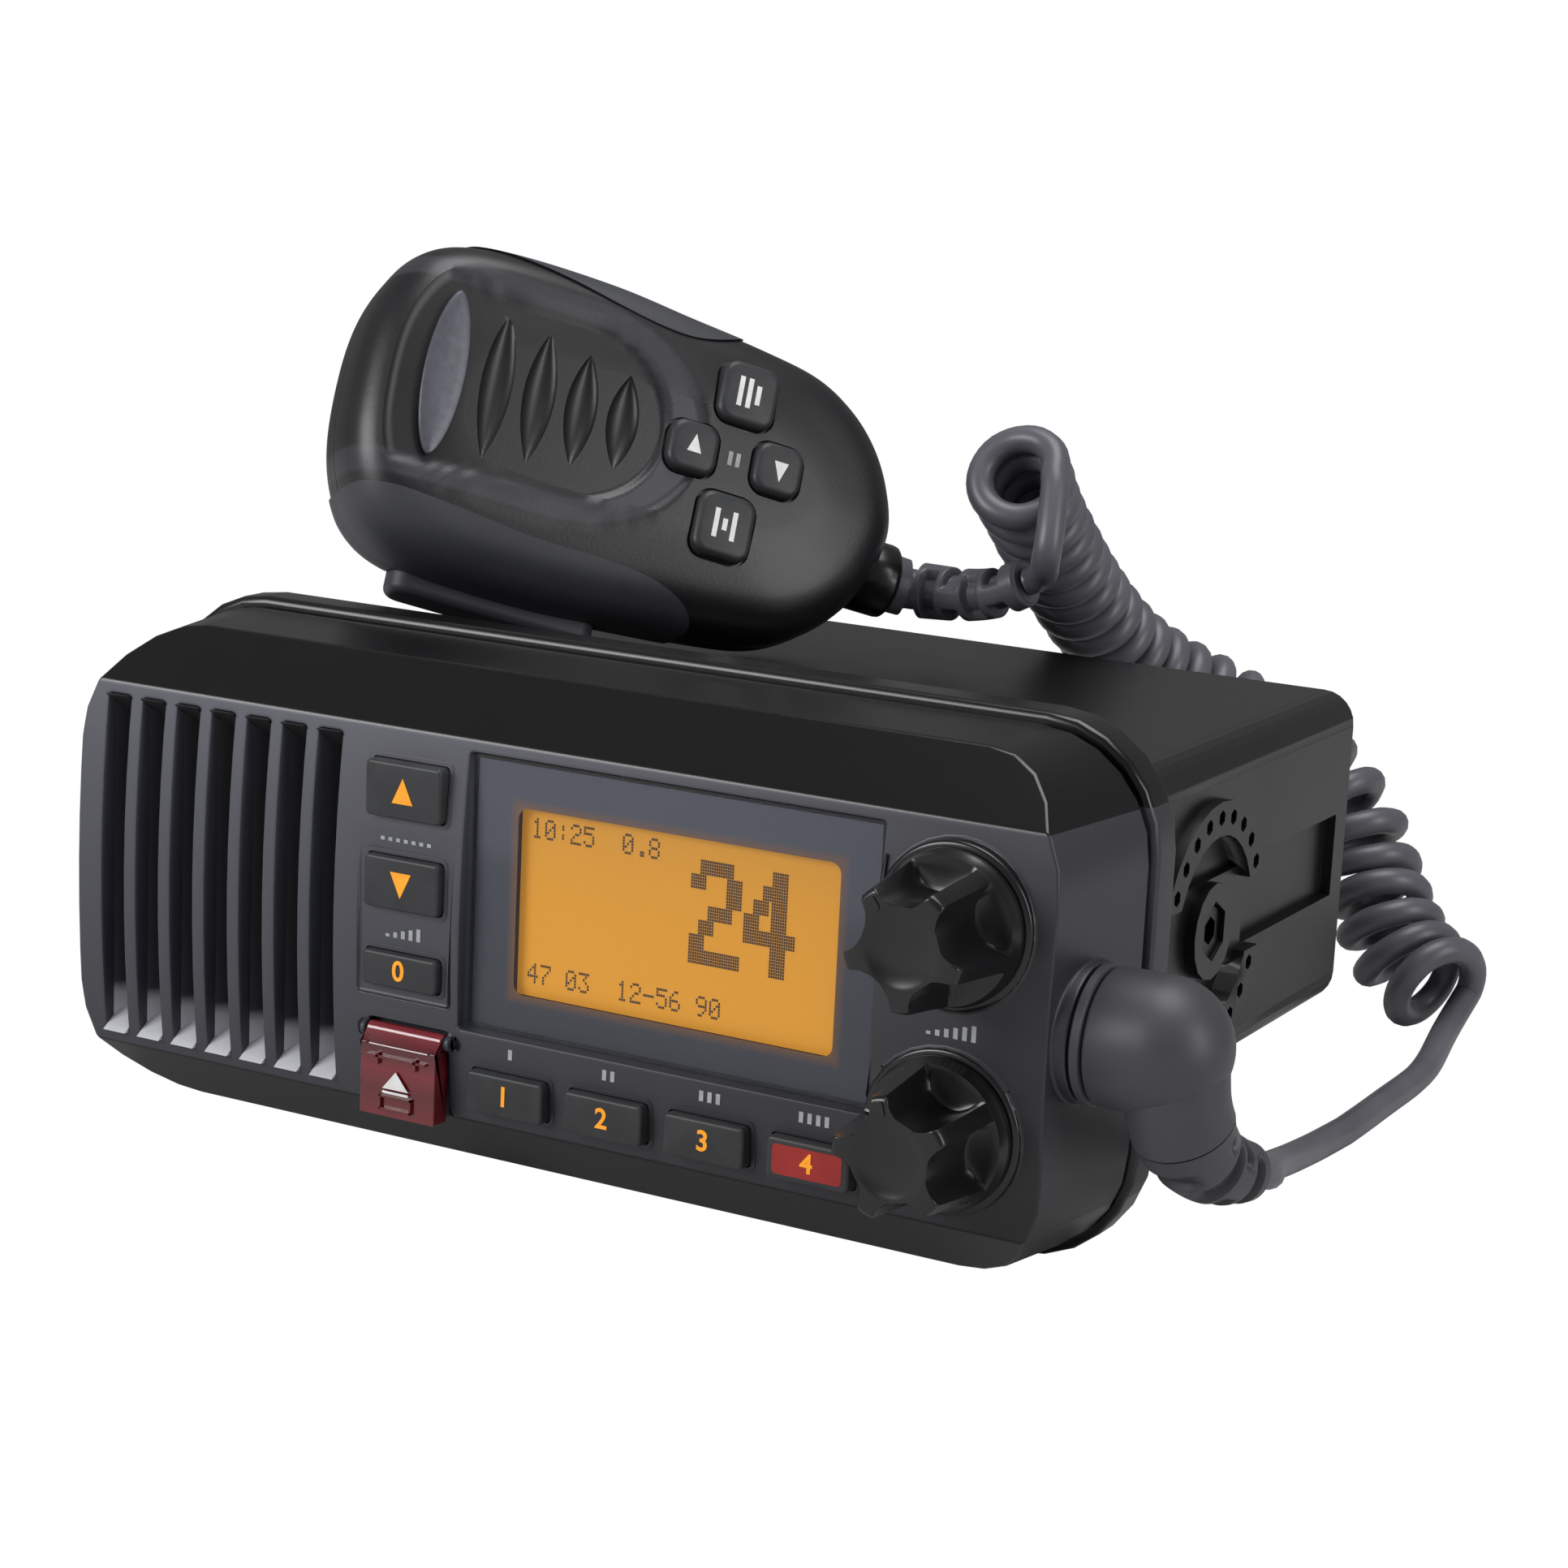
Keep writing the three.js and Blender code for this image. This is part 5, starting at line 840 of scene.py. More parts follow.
# Knobs: gloss black plastic with five deep scallops, a dished end and a small pointer.
# Each is pressed on its shaft and stands just clear of a round collar on the face.
KNOB_X = 74.5
KNOBS = {"volume": (15.8, 128), "squelch": (-16.0, 104)}
LOBES = 5
SCALLOP_RADIUS = 5.2
SCALLOP_PLACE = 11.3
SCALLOP_EASE = 0.8
KNOB_SIDES = 200
POINTER_LOW, POINTER_HIGH, POINTER_CORNER_MM = (6.5, -18.62, -0.75), (8.9, -18.2, 0.75), 0.6


def angles_round(count):
    """Evenly spaced angles round a full turn."""
    return [2 * math.pi * i / count for i in range(count)]


def ring_stack(shape, rings):
    """A skin through rings of points.

    A circle is set on the first ring and extruded on to each next one.
    """
    corners = list(bmesh.ops.create_circle(shape, segments=len(rings[0]), radius=1)["verts"])
    for corner, point in zip(corners, rings[0]):
        corner.co = point
    edges = list(dict.fromkeys(e for v in corners for e in v.link_edges))
    first_edges = edges
    for ring in rings[1:]:
        made = bmesh.ops.extrude_edge_only(shape, edges=edges)["geom"]
        fresh = {g for g in made if isinstance(g, bmesh.types.BMVert)}
        edges = [g for g in made if isinstance(g, bmesh.types.BMEdge) and set(g.verts) <= fresh]
        corners = [next(e.other_vert(v) for e in v.link_edges if e.other_vert(v) in fresh) for v in corners]
        for corner, point in zip(corners, ring):
            corner.co = point
    bmesh.ops.edgeloop_fill(shape, edges=first_edges)
    bmesh.ops.edgeloop_fill(shape, edges=edges)
    bmesh.ops.recalc_face_normals(shape, faces=shape.faces)
    return shape


def lobed(angle, radius):
    """The knob's radius at one angle: a cone cut by five round scallops, eased where they meet."""
    step = 2 * math.pi / LOBES
    off = (angle - step / 2) % step
    off = min(off, step - off)
    inside = SCALLOP_RADIUS ** 2 - (SCALLOP_PLACE * math.sin(off)) ** 2
    if inside <= 0:
        return radius
    cut = SCALLOP_PLACE * math.cos(off) - math.sqrt(inside)
    blend = max(0.0, min(1.0, 0.5 + 0.5 * (radius - cut) / SCALLOP_EASE))
    return radius + (cut - radius) * blend - SCALLOP_EASE * blend * (1 - blend) / 2


# Each ring of a knob: its place in front of the face, its radius, and how much of the scallops it has
KNOB_RINGS = (
    (-1.8, 11.7, 0), (-2.0, 12.0, 0), (-2.7, 12.0, 0), (-3.0, 11.85, 0), (-4.4, 11.5, 0), (-4.8, 11.4, 0),
    (-4.95, 11.35, 0.25), (-5.1, 11.3, 0.85), (-5.4, 11.25, 1), (-8.0, 10.9, 1), (-12.0, 10.4, 1),
    (-16.0, 9.95, 1), (-17.4, 9.75, 1), (-17.9, 9.6, 1), (-18.2, 9.35, 1), (-18.35, 9.05, 1),
    (-18.4, 8.7, 1), (-18.4, 7.6, 0.9), (-18.4, 6.6, 0.55), (-18.35, 6.0, 0.2), (-18.2, 5.5, 0),
    (-17.95, 4.6, 0), (-17.75, 3.2, 0), (-17.65, 1.6, 0), (-17.62, 0.2, 0),
)

# Gloss ABS: near black and hard, with fine scratches that only its reflections show.
gloss_black = mottled(
    "polished_black_ABS", ("#101012", "#161618"), cloud_mm=28.571, detail=6.0,
    roughness=(0.2, 0.32), ior=1.53,
)

for name, (height, lean) in KNOBS.items():
    rings = []
    for place, radius, share in KNOB_RINGS:
        ring = []
        for angle in angles_round(KNOB_SIDES):
            reach = radius + (lobed(angle, radius) - radius) * share
            turn = angle + math.radians(lean)
            ring.append(on_radio(KNOB_X + reach * math.cos(turn), place, height + reach * math.sin(turn)))
        rings.append(ring)
    knob = ring_stack(bmesh.new(), rings)
    knob_piece = piece_from(knob, f"{name}_knob_body", gloss_black, name, smooth=45)
    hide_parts(f"{name}_knob")
    pointer = bmesh.new()
    rounded_block(pointer, metres(*POINTER_LOW), metres(*POINTER_HIGH), POINTER_CORNER_MM)
    turn = Matrix.Translation(on_radio(KNOB_X, 0, height)) @ Matrix.Rotation(-math.radians(lean), 4, "Y")
    bmesh.ops.transform(pointer, matrix=turn, verts=pointer.verts)
    piece_from(pointer, f"{name}_pointer", gloss_black, name)


# The face's round collars are lacquered in the knobs' black. Dark strips of the same black round the
# lens's edge are painted shade, for the gap round the lens.
FACE_COLLAR_RADIUS, FACE_COLLAR_SIDES = 13.0, 120
FACE_COLLAR_PROFILE = ((0.9, -0.02), (-1.1, -0.02), (-1.45, 0.12), (-1.62, 0.5), (-1.66, 1.2))
for name, (height, _) in KNOBS.items():
    rings = []
    for place, inset in FACE_COLLAR_PROFILE:
        reach = FACE_COLLAR_RADIUS - inset
        rings.append([
            on_radio(KNOB_X + reach * math.cos(angle), place, height + reach * math.sin(angle))
            for angle in angles_round(FACE_COLLAR_SIDES)
        ])
    collar = ring_stack(bmesh.new(), rings)
    piece_from(collar, f"{name}_collar", gloss_black, "radio_body", smooth=60)
# Painted shade: strips round the lens's edge, dark as the gap round it
EDGE_MM = 0.6
EDGE_FRONT, EDGE_BACK = PRINT_PLACE - 0.14, PRINT_PLACE - 0.04
lens_gap_shade_strips = bmesh.new()
for x in (LENS[0], LENS[1] - EDGE_MM):
    block(lens_gap_shade_strips, on_radio(x, EDGE_FRONT, LENS[2]), on_radio(x + EDGE_MM, EDGE_BACK, LENS[3]))
for z in (LENS[2], LENS[3] - EDGE_MM):
    block(
        lens_gap_shade_strips,
        on_radio(LENS[0] + EDGE_MM, EDGE_FRONT, z), on_radio(LENS[1] - EDGE_MM, EDGE_BACK, z + EDGE_MM),
    )
piece_from(lens_gap_shade_strips, "lens_gap_painted_shade", gloss_black, "radio_body")


# Plug: a domed elbow in soft vinyl with a locking ring, and a strain relief that bends down and back.
# Cords and strain reliefs follow the frame's own routes, so the curve and its frames are worked out alike.
SOCKET_Y, SOCKET_Z = 11, 0
PLUG_SIDES = 96
SHORTEST = 1e-9


def curve_points(route, count, substeps=60):
    """Evenly spaced points along a centripetal Catmull-Rom curve."""
    fine = [route[0].copy()]
    last = len(route) - 1
    for i in range(last):
        here, there = route[i], route[i + 1]
        before = route[i - 1] if i else 2 * here - there
        after = route[i + 2] if i + 2 <= last else 2 * there - here
        runs = [(b - a).length for a, b in ((before, here), (here, there), (there, after))]
        spans = [max(run, SHORTEST) ** 0.5 for run in runs]
        first, middle, last_span = spans
        start = (here - before) / first - (there - before) / (first + middle) + (there - here) / middle
        end = (there - here) / middle - (after - here) / (middle + last_span) + (after - there) / last_span
        start, end = start * middle, end * middle
        for step in range(1, substeps + 1):
            t = step / substeps
            fine.append(
                here * (2 * t ** 3 - 3 * t ** 2 + 1) + start * (t ** 3 - 2 * t ** 2 + t)
                + there * (3 * t ** 2 - 2 * t ** 3) + end * (t ** 3 - t ** 2)
            )
    reach = [0.0]
    for a, b in zip(fine, fine[1:]):
        reach.append(reach[-1] + (b - a).length)
    points = []
    place = 0
    for i in range(count + 1):
        goal = reach[-1] * i / count
        while place + 2 < len(fine) and reach[place + 1] < goal:
            place += 1
        share = (goal - reach[place]) / max(reach[place + 1] - reach[place], SHORTEST)
        points.append(fine[place].lerp(fine[place + 1], share))
    return points


def frames_along(points):
    """For each point the direction ahead and two sides, which follow the curve without twisting."""
    frames = []
    across = None
    for i, point in enumerate(points):
        before = points[max(i - 1, 0)]
        after = points[min(i + 1, len(points) - 1)]
        ahead = (after - before).normalized()
        if across is None:
            across = Vector((0, 0, 1)).cross(ahead)
        across = (across - ahead * across.dot(ahead)).normalized()
        frames.append((point, ahead, across, ahead.cross(across)))
    return frames


def tube(points, radius_at, sides):
    """A closed round skin along points. radius_at gives the radius in metres for a share and an angle."""
    rings = []
    for i, (point, ahead, across, up) in enumerate(frames_along(points)):
        ring = []
        for angle in angles_round(sides):
            radius = radius_at(i / (len(points) - 1), angle)
            ring.append(point + (across * math.cos(angle) + up * math.sin(angle)) * radius)
        rings.append(ring)
    return ring_stack(bmesh.new(), rings)


SLOT_EASE = 0.3
TIP_SHARE, TIP_SPREAD = 0.86, 400


def slotted(share, angle, root_mm, tip_mm, slots, depth_mm, width, half_angle):
    """The radius of a tapering strain relief with staggered slots cut across it and a rounded tip."""
    radius = root_mm + (tip_mm - root_mm) * share
    for place, middle in slots:
        along = abs(share - place) / width
        turn = abs((angle - middle + math.pi) % (2 * math.pi) - math.pi) / half_angle
        if along < 1 and turn < 1:
            radius -= depth_mm * min(1, (1 - along) / SLOT_EASE) * min(1, (1 - turn) / SLOT_EASE)
    rounding = min(1.0, (1 - share) * (1 - share) * TIP_SPREAD + TIP_SHARE)
    return radius * rounding / 1000


def staggered_slots(count, first, step, turn):
    """Pairs of slots along a strain relief, each pair a quarter turn on from the last."""
    slots = []
    for i in range(count):
        for side in ((turn, math.pi + turn) if i % 2 else (math.pi / 2 + turn, -math.pi / 2 + turn)):
            slots.append((first + step * i, side))
    return slots


def add_shape(shape, part):
    """Joins one bmesh into another and frees it."""
    mesh = bpy.data.meshes.new("part")
    part.to_mesh(mesh)
    part.free()
    shape.from_mesh(mesh)
    bpy.data.meshes.remove(mesh)


# Soft vinyl over the plug and its cord: a dull grey sheen with a fine skin.
soft_vinyl = mottled(
    "moulded_soft_vinyl", ("#3c3c41", "#46464b"), cloud_mm=22.222, detail=4.0, roughness=(0.4, 0.52),
    grain=(0.22, 0.01, 0.6),
)


def turned_on_socket(profile):
    """A piece turned about the socket. Each point of its profile is a place along X and a radius."""
    rings = [
        [
            on_radio(place, SOCKET_Y + radius * math.cos(angle), SOCKET_Z + radius * math.sin(angle))
            for angle in angles_round(PLUG_SIDES)
        ]
        for place, radius in profile
    ]
    return ring_stack(bmesh.new(), rings)


ring_profile = [(93.5, 9.9), (93.5, 10.5), (93.8, 10.85), (94.9, 10.85), (95.15, 10.5), (95.2, 9.9)]
plug_ring = piece_from(
    turned_on_socket(ring_profile), "plug_lock_ring", soft_vinyl, "radio_body",
)
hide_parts("plug_ring")
ELBOW_START, DOME_MIDDLE, DOME_RADIUS = 95.5, 104.1, 10.7
DOME_STEPS = 25
dome_profile = [
    (ELBOW_START, 9.6), (ELBOW_START, 10.2), (ELBOW_START + 0.2, 10.5), (ELBOW_START + 0.6, DOME_RADIUS),
]
for i in range(DOME_STEPS):
    angle = math.pi / 2 * i / (DOME_STEPS - 0.5)
    dome_profile.append((DOME_MIDDLE + DOME_RADIUS * math.sin(angle), DOME_RADIUS * math.cos(angle)))
plug_route = [
    on_radio(DOME_MIDDLE + x, SOCKET_Y + y, z)
    for x, y, z in (
        (2.3, 0, -3), (2.7, 0.6, -8.5), (3.5, 2.8, -13.6),
        (5.1, 7.4, -18.4), (6.7, 12.6, -20.9), (7.9, 17.4, -22.3),
    )
]
PLUG_POINTS, NECK_POINTS = 150, 50
BOOT_GAP = 0.0002
# A strain relief's slots: their depth, their half width as a share of its length, and their half angle
BOOT_CUT = (1.3, 0.075, 1.15)
plug_line = curve_points(plug_route, PLUG_POINTS)
NECK_RADIUS, BOOT_TIP_RADIUS = 8.0, 4.6
elbow = turned_on_socket(dome_profile)
add_shape(elbow, tube(plug_line[:NECK_POINTS + 1], lambda share, angle: NECK_RADIUS / 1000, PLUG_SIDES))
elbow_piece = piece_from(elbow, "plug_elbow_body", soft_vinyl, "radio_body", smooth=50)
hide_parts("plug_elbow")
boot_slots = staggered_slots(4, first=0.2, step=0.2, turn=0.3)
boot_shift = (plug_line[NECK_POINTS + 1] - plug_line[NECK_POINTS]).normalized() * BOOT_GAP
boot = tube(
    [point + boot_shift for point in plug_line[NECK_POINTS:]],
    lambda share, angle: slotted(share, angle, NECK_RADIUS, BOOT_TIP_RADIUS, boot_slots, *BOOT_CUT),
    PLUG_SIDES,
)
boot_piece = piece_from(boot, "plug_strain_relief", soft_vinyl, "radio_body", smooth=50)
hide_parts("plug_boot")


# Rear casing: die-cast aluminium in satin black powder coat, with cooling fins and bracket knuckles.
# It takes the frame's solid, welded and with its edges rounded as a casting's are.
powder_coat = mottled(
    "satin_black_powder_coat", ("#0a0a0b", "#0f0f10"), cloud_mm=33.333, detail=5.0, roughness=(0.3, 0.4),
    grain=(0.6, 0.015, 0.4),
)
casing = piece_from(welded("rear_casing"), "rear_casing_body", powder_coat, "radio_body")
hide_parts("rear_casing")
KNUCKLE_REACH = 0.02
EDGE_LENGTH = 0.006
CASTING_EDGE_MM = 0.35
nut_corners = [v.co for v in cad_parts["bracket_nut_right"].data.vertices]
nut_middle = sum(nut_corners, Vector()) / len(nut_corners)
weights = casing.data.attributes.new("bevel_weight_edge", "FLOAT", "EDGE")
for edge in casing.data.edges:
    ends = [casing.data.vertices[i].co for i in edge.vertices]
    away = min(math.hypot(end.y - nut_middle.y, end.z - nut_middle.z) for end in ends)
    weights.data[edge.index].value = float(away > KNUCKLE_REACH and (ends[1] - ends[0]).length > EDGE_LENGTH)
round_edges(casing, CASTING_EDGE_MM, by_weight=True)

# Metal fittings, dressed on the frame's own solids: nickel-plated brass, blackened nuts, stainless
# screws and the tinned can over the radio stage. Plating gives brass a warm shine, tin and zinc look
# greyer and duller, and handling leaves each a little brighter in some places than in others.
SMOOTHER, ROUGHER = 0.08, 0.1
METALS = {
    "nickel_plated_brass": ("#b9b3a4", "#cfc8b6", 0.3, ("aerial_socket", "mic_socket")),
    "blackened_steel": ("#2a2a2c", "#3a3a3d", 0.32, ("bracket_nut_left", "bracket_nut_right")),
    "stainless_steel": ("#9a9b9e", "#b4b5b8", 0.28, (
        "casing_screw_1", "casing_screw_2", "casing_screw_3", "casing_screw_4", "distress_hinge_pin",
        "mic_hanger_stud", "volume_shaft", "squelch_shaft",
    )),
    "tinned_steel": ("#a9adb0", "#c2c5c8", 0.38, ("radio_shield_can", "speaker_frame", "mic_capsule")),
    "zinc_plated_magnet_steel": ("#8e9195", "#a6a9ad", 0.42, ("speaker_magnet",)),
}
for name, (dark, light, roughness, nodes) in METALS.items():
    metal = mottled(
        name, (dark, light), cloud_mm=8.3333, detail=5.0, metallic=1.0,
        roughness=(roughness - SMOOTHER, roughness + ROUGHER),
    )
    dress(metal, *nodes)


# Hand microphone: a palm-sized clam of two ABS shells with rubber grips on both long sides.
# Its own directions, as it lies on the casing: U towards the cord, V across and N out of its front.
MIC_U = Vector((0.66775, 0.69147, -0.27564))
MIC_V = Vector((-0.09838, 0.44902, 0.88809))
MIC_N = Vector((0.73786, -0.56590, 0.36786))
MIC_PLACE = (-33.7, 70.7, 75.1)
MIC_LENGTH, MIC_WIDTH, MIC_DEPTH = 105.0, 61.5, 32.0
MIC_START, MIC_SHIFT, MIC_PART = -43.4, -1.9, -16.0
MIC_SIDES = 240


def on_mic(u, v, n):
    """A place measured in millimetres in the microphone's own directions."""
    return on_radio(*MIC_PLACE) + (MIC_U * u + MIC_V * v + MIC_N * n) / 1000


MIC_TURN = Matrix((MIC_U, MIC_V, MIC_N)).transposed().to_4x4()
MIC_MATRIX = Matrix.Translation(on_radio(*MIC_PLACE)) @ MIC_TURN
OUTLINE_SHARES = (
    (0, 0), (0.006, 0.34), (0.028, 0.61), (0.066, 0.82), (0.132, 0.95), (0.245, 1), (0.415, 1),
    (0.557, 0.955), (0.698, 0.91), (0.811, 0.845), (0.887, 0.71), (0.943, 0.52), (0.981, 0.28), (1, 0),
)
# How far in the skin lies at each share of the depth, from the front to the back
PROFILE_SHARES = (
    (0, 0.6), (0.025, 0.37), (0.07, 0.19), (0.15, 0.08), (0.27, 0.02), (0.4, 0), (0.55, 0),
    (0.7, 0.01), (0.84, 0.07), (0.95, 0.19), (1, 0.36),
)
FRONT_CURL = 0.6
half_outline = [Vector((u, v, 0)) for u, v in OUTLINE_SHARES]
lower_outline = [Vector((p.x, -p.y, 0)) for p in half_outline[1:-1]][::-1]
outline_loop = half_outline + lower_outline


def smooth_loop(points, count):
    """Evenly shared points round a closed loop, smoothed through its corners."""
    size = len(points)
    result = []
    for i in range(count):
        place = i / count * size
        step = int(place)
        t = place - step
        a, b, c, d = (points[(step + k) % size] for k in (-1, 0, 1, 2))
        bend, twist = 2 * a - 5 * b + 4 * c - d, 3 * b - a - 3 * c + d
        result.append(0.5 * ((2 * b) + (c - a) * t + bend * t ** 2 + twist * t ** 3))
    return result


mic_outline = smooth_loop(outline_loop, MIC_SIDES)


def mic_ring(height, inset_mm):
    """The microphone's outline at one height, drawn in by an inset."""
    long = MIC_LENGTH - 2 * inset_mm
    wide = MIC_WIDTH / 2 - inset_mm
    middle = MIC_START + MIC_LENGTH / 2
    return [(middle + (p.x - 0.5) * long, MIC_SHIFT + p.y * wide, height) for p in mic_outline]


def inset_at(depth_share):
    """The inset at one share of the depth, in shares of half the width, along a smooth curve."""
    points = PROFILE_SHARES
    for i in range(len(points) - 1):
        (a, inset_a), (b, inset_b) = points[i], points[i + 1]
        if depth_share <= b:
            t = (depth_share - a) / (b - a)
            before = points[max(i - 1, 0)]
            after = points[min(i + 2, len(points) - 1)]
            slope_a = (inset_b - before[1]) / (b - before[0]) * (b - a)
            slope_b = (after[1] - inset_a) / (after[0] - a) * (b - a)
            if i == 0:
                return inset_a + (inset_b - inset_a) * (t ** FRONT_CURL)
            return (
                inset_a * (2 * t ** 3 - 3 * t ** 2 + 1) + slope_a * (t ** 3 - 2 * t ** 2 + t)
                + inset_b * (3 * t ** 2 - 2 * t ** 3) + slope_b * (t ** 3 - t ** 2)
            )
    return points[-1][1]


def ease(value, low, high):
    """Turns smoothly from 0 at low to 1 at high."""
    t = max(0.0, min(1.0, (value - low) / (high - low)))
    return t * t * (3 - 2 * t)


# The front's relief: a sunk field inside a shallow horseshoe round its cord end. Both are half ellipses
# of these half lengths and half widths, which run on straight past the place where they start to turn.
HORSESHOE, FIELD = (24.5, 20.5), (17.6, 16.6)
STEP_DEPTH, FIELD_DEPTH = 0.55, 1.5
STEP_EDGE, FIELD_EDGE = (0.97, 1.03), (0.955, 1.03)
TURN_U, FIELD_V = -5, 1.2
FIELD_FLARE, FLARE_END = 1.6, 40
FIELD_START, FIELD_FULL = -42, -38.5


def relief(u, v):
    """How deep the front is sunk at one place."""
    ahead, aside = max(u - TURN_U, 0), v - FIELD_V
    field_wide = FIELD[1] + FIELD_FLARE * ease(-u, -TURN_U, FLARE_END)
    outer = math.hypot(ahead / HORSESHOE[0], aside / HORSESHOE[1])
    inner = math.hypot(ahead / FIELD[0], aside / field_wide)
    step = STEP_DEPTH * (1 - ease(outer, *STEP_EDGE))
    sunk = step + (FIELD_DEPTH - STEP_DEPTH) * (1 - ease(inner, *FIELD_EDGE))
    return sunk * ease(u, FIELD_START, FIELD_FULL)


FRONT_RINGS = 110
SIDE_RINGS = 46
INNER_SHARE = 0.004
MIDDLE_U = 8.0
SIDE_SPREAD = 1.5
CROWN_MM, CROWN_LONG, CROWN_WIDE = 0.7, 44, 26
# The heights between which the crown and the relief fade in
CROWN_FADE, RELIEF_FADE = (-3, 0), (-4.5, -1.5)


def mic_body(swell_mm=0.0, with_relief=True):
    """The whole microphone as a closed bmesh in world places, with the front's relief pressed in."""
    rings = []
    widest = MIC_WIDTH / 2
    front_inset = PROFILE_SHARES[0][1] * widest
    for i in range(FRONT_RINGS):
        share = INNER_SHARE + (1 - INNER_SHARE) * i / FRONT_RINGS
        rings.append([
            (MIDDLE_U + (u - MIDDLE_U) * share, MIC_SHIFT + (v - MIC_SHIFT) * share, n)
            for u, v, n in mic_ring(swell_mm, front_inset - swell_mm)
        ])
    for i in range(SIDE_RINGS + 1):
        depth_share = (i / SIDE_RINGS) ** SIDE_SPREAD if i < SIDE_RINGS else 1.0
        inset = inset_at(depth_share) * widest - swell_mm
        height = swell_mm - depth_share * (MIC_DEPTH + 2 * swell_mm)
        rings.append(mic_ring(height, inset))
    placed = []
    for ring in rings:
        points = []
        for u, v, n in ring:
            along, across = (u - MIDDLE_U) / CROWN_LONG, (v - MIC_SHIFT) / CROWN_WIDE
            crown = CROWN_MM * along ** 2 + CROWN_MM * across ** 2
            if n > CROWN_FADE[0]:
                n -= crown * ease(n, *CROWN_FADE)
                if with_relief:
                    n -= relief(u, v) * ease(n, *RELIEF_FADE)
            points.append(on_mic(u, v, n))
        placed.append(points)
    return ring_stack(bmesh.new(), placed)


# ABS for the microphone: charcoal with a fine leather-like grain that takes a soft sheen.
grained_abs, shader = new_material("grained_charcoal_ABS")
where = add_node(grained_abs, "ShaderNodeTexCoord").outputs["Object"]
CLOUD_MM = 20
cloud = add_node(
    grained_abs, "ShaderNodeTexNoise", {"Scale": 1000 / CLOUD_MM, "Detail": 4.0}, {"Vector": where},
)
shade = add_node(
    grained_abs, "ShaderNodeValToRGB",
    {"stops": [(0.3, "#141417"), (0.7, "#1a1a1e")]},
    {"Fac": cloud.outputs["Fac"]},
).outputs["Color"]
# The horseshoe round the field is painted lighter, as painted light on its sloping rim
from_middle = add_node(
    grained_abs, "ShaderNodeVectorMath", {"operation": "SUBTRACT", 1: on_mic(0, FIELD_V, 0)}, {0: where},
)
along, aside = [
    add_node(
        grained_abs, "ShaderNodeVectorMath", {"operation": "DOT_PRODUCT", 1: direction},
        {0: from_middle.outputs[0]},
    ).outputs["Value"]
    for direction in (MIC_U, MIC_V)
]
ahead = add_node(grained_abs, "ShaderNodeMath", {"operation": "ADD", 1: -TURN_U / 1000}, {0: along})
ahead = add_node(grained_abs, "ShaderNodeMath", {"operation": "MAXIMUM", 1: 0.0}, {0: ahead.outputs[0]})
place = add_node(grained_abs, "ShaderNodeCombineXYZ", links={"X": ahead.outputs[0], "Y": aside})
reaches = []
for long, wide in (HORSESHOE, FIELD):
    scaled = add_node(
        grained_abs, "ShaderNodeVectorMath",
        {"operation": "MULTIPLY", 1: (1000 / long, 1000 / wide, 0)}, {0: place.outputs[0]},
    )
    reaches.append(
        add_node(grained_abs, "ShaderNodeVectorMath", {"operation": "LENGTH"}, {0: scaled.outputs[0]})
    )
inside = add_node(
    grained_abs, "ShaderNodeMapRange",
    {"From Min": 1.03, "From Max": 0.99}, {"Value": reaches[0].outputs["Value"]},
)
outside = add_node(
    grained_abs, "ShaderNodeMapRange",
    {"From Min": 0.97, "From Max": 1.02}, {"Value": reaches[1].outputs["Value"]},
)
horseshoe_painted_light = add_node(
    grained_abs, "ShaderNodeMath", {"operation": "MULTIPLY"}, {0: inside.outputs[0], 1: outside.outputs[0]},
)
shade = add_node(
    grained_abs, "ShaderNodeMix", {"data_type": "RGBA", 7: linear("#313138")},
    {0: horseshoe_painted_light.outputs[0], 6: shade},
).outputs[2]
grained_abs.node_tree.links.new(shade, shader.inputs["Base Color"])
polish = add_node(
    grained_abs, "ShaderNodeMapRange", {"To Min": 0.34, "To Max": 0.44}, {"Value": cloud.outputs["Fac"]},
)
grained_abs.node_tree.links.new(polish.outputs[0], shader.inputs["Roughness"])
shader.inputs["IOR"].default_value = 1.53
grain_bump(grained_abs, shader, where, size_mm=0.7, depth_mm=0.03, detail=3.0, strength=0.7)

SHELL_SWELL, GRIP_SWELL = -0.6, -0.25
SHELL_GAP = 0.25


def keep_side(shape, height, keep_front):
    """Cuts a bmesh at one height of the microphone, keeps one side and closes it."""
    cut = bmesh.ops.bisect_plane(
        shape, geom=shape.verts[:] + shape.edges[:] + shape.faces[:],
        plane_co=on_mic(0, 0, height), plane_no=MIC_N,
        clear_inner=keep_front, clear_outer=not keep_front,
    )
    rim = [g for g in cut["geom_cut"] if isinstance(g, bmesh.types.BMEdge)]
    bmesh.ops.edgeloop_fill(shape, edges=rim)
    return shape


front_shell = piece_from(
    keep_side(mic_body(SHELL_SWELL), MIC_PART, True), "mic_front", grained_abs, "microphone",
)
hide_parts("mic_front_shell")
back_shell = piece_from(
    keep_side(mic_body(SHELL_SWELL, with_relief=False), MIC_PART - SHELL_GAP, False),
    "mic_back", grained_abs, "microphone",
)
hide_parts("mic_back_shell")

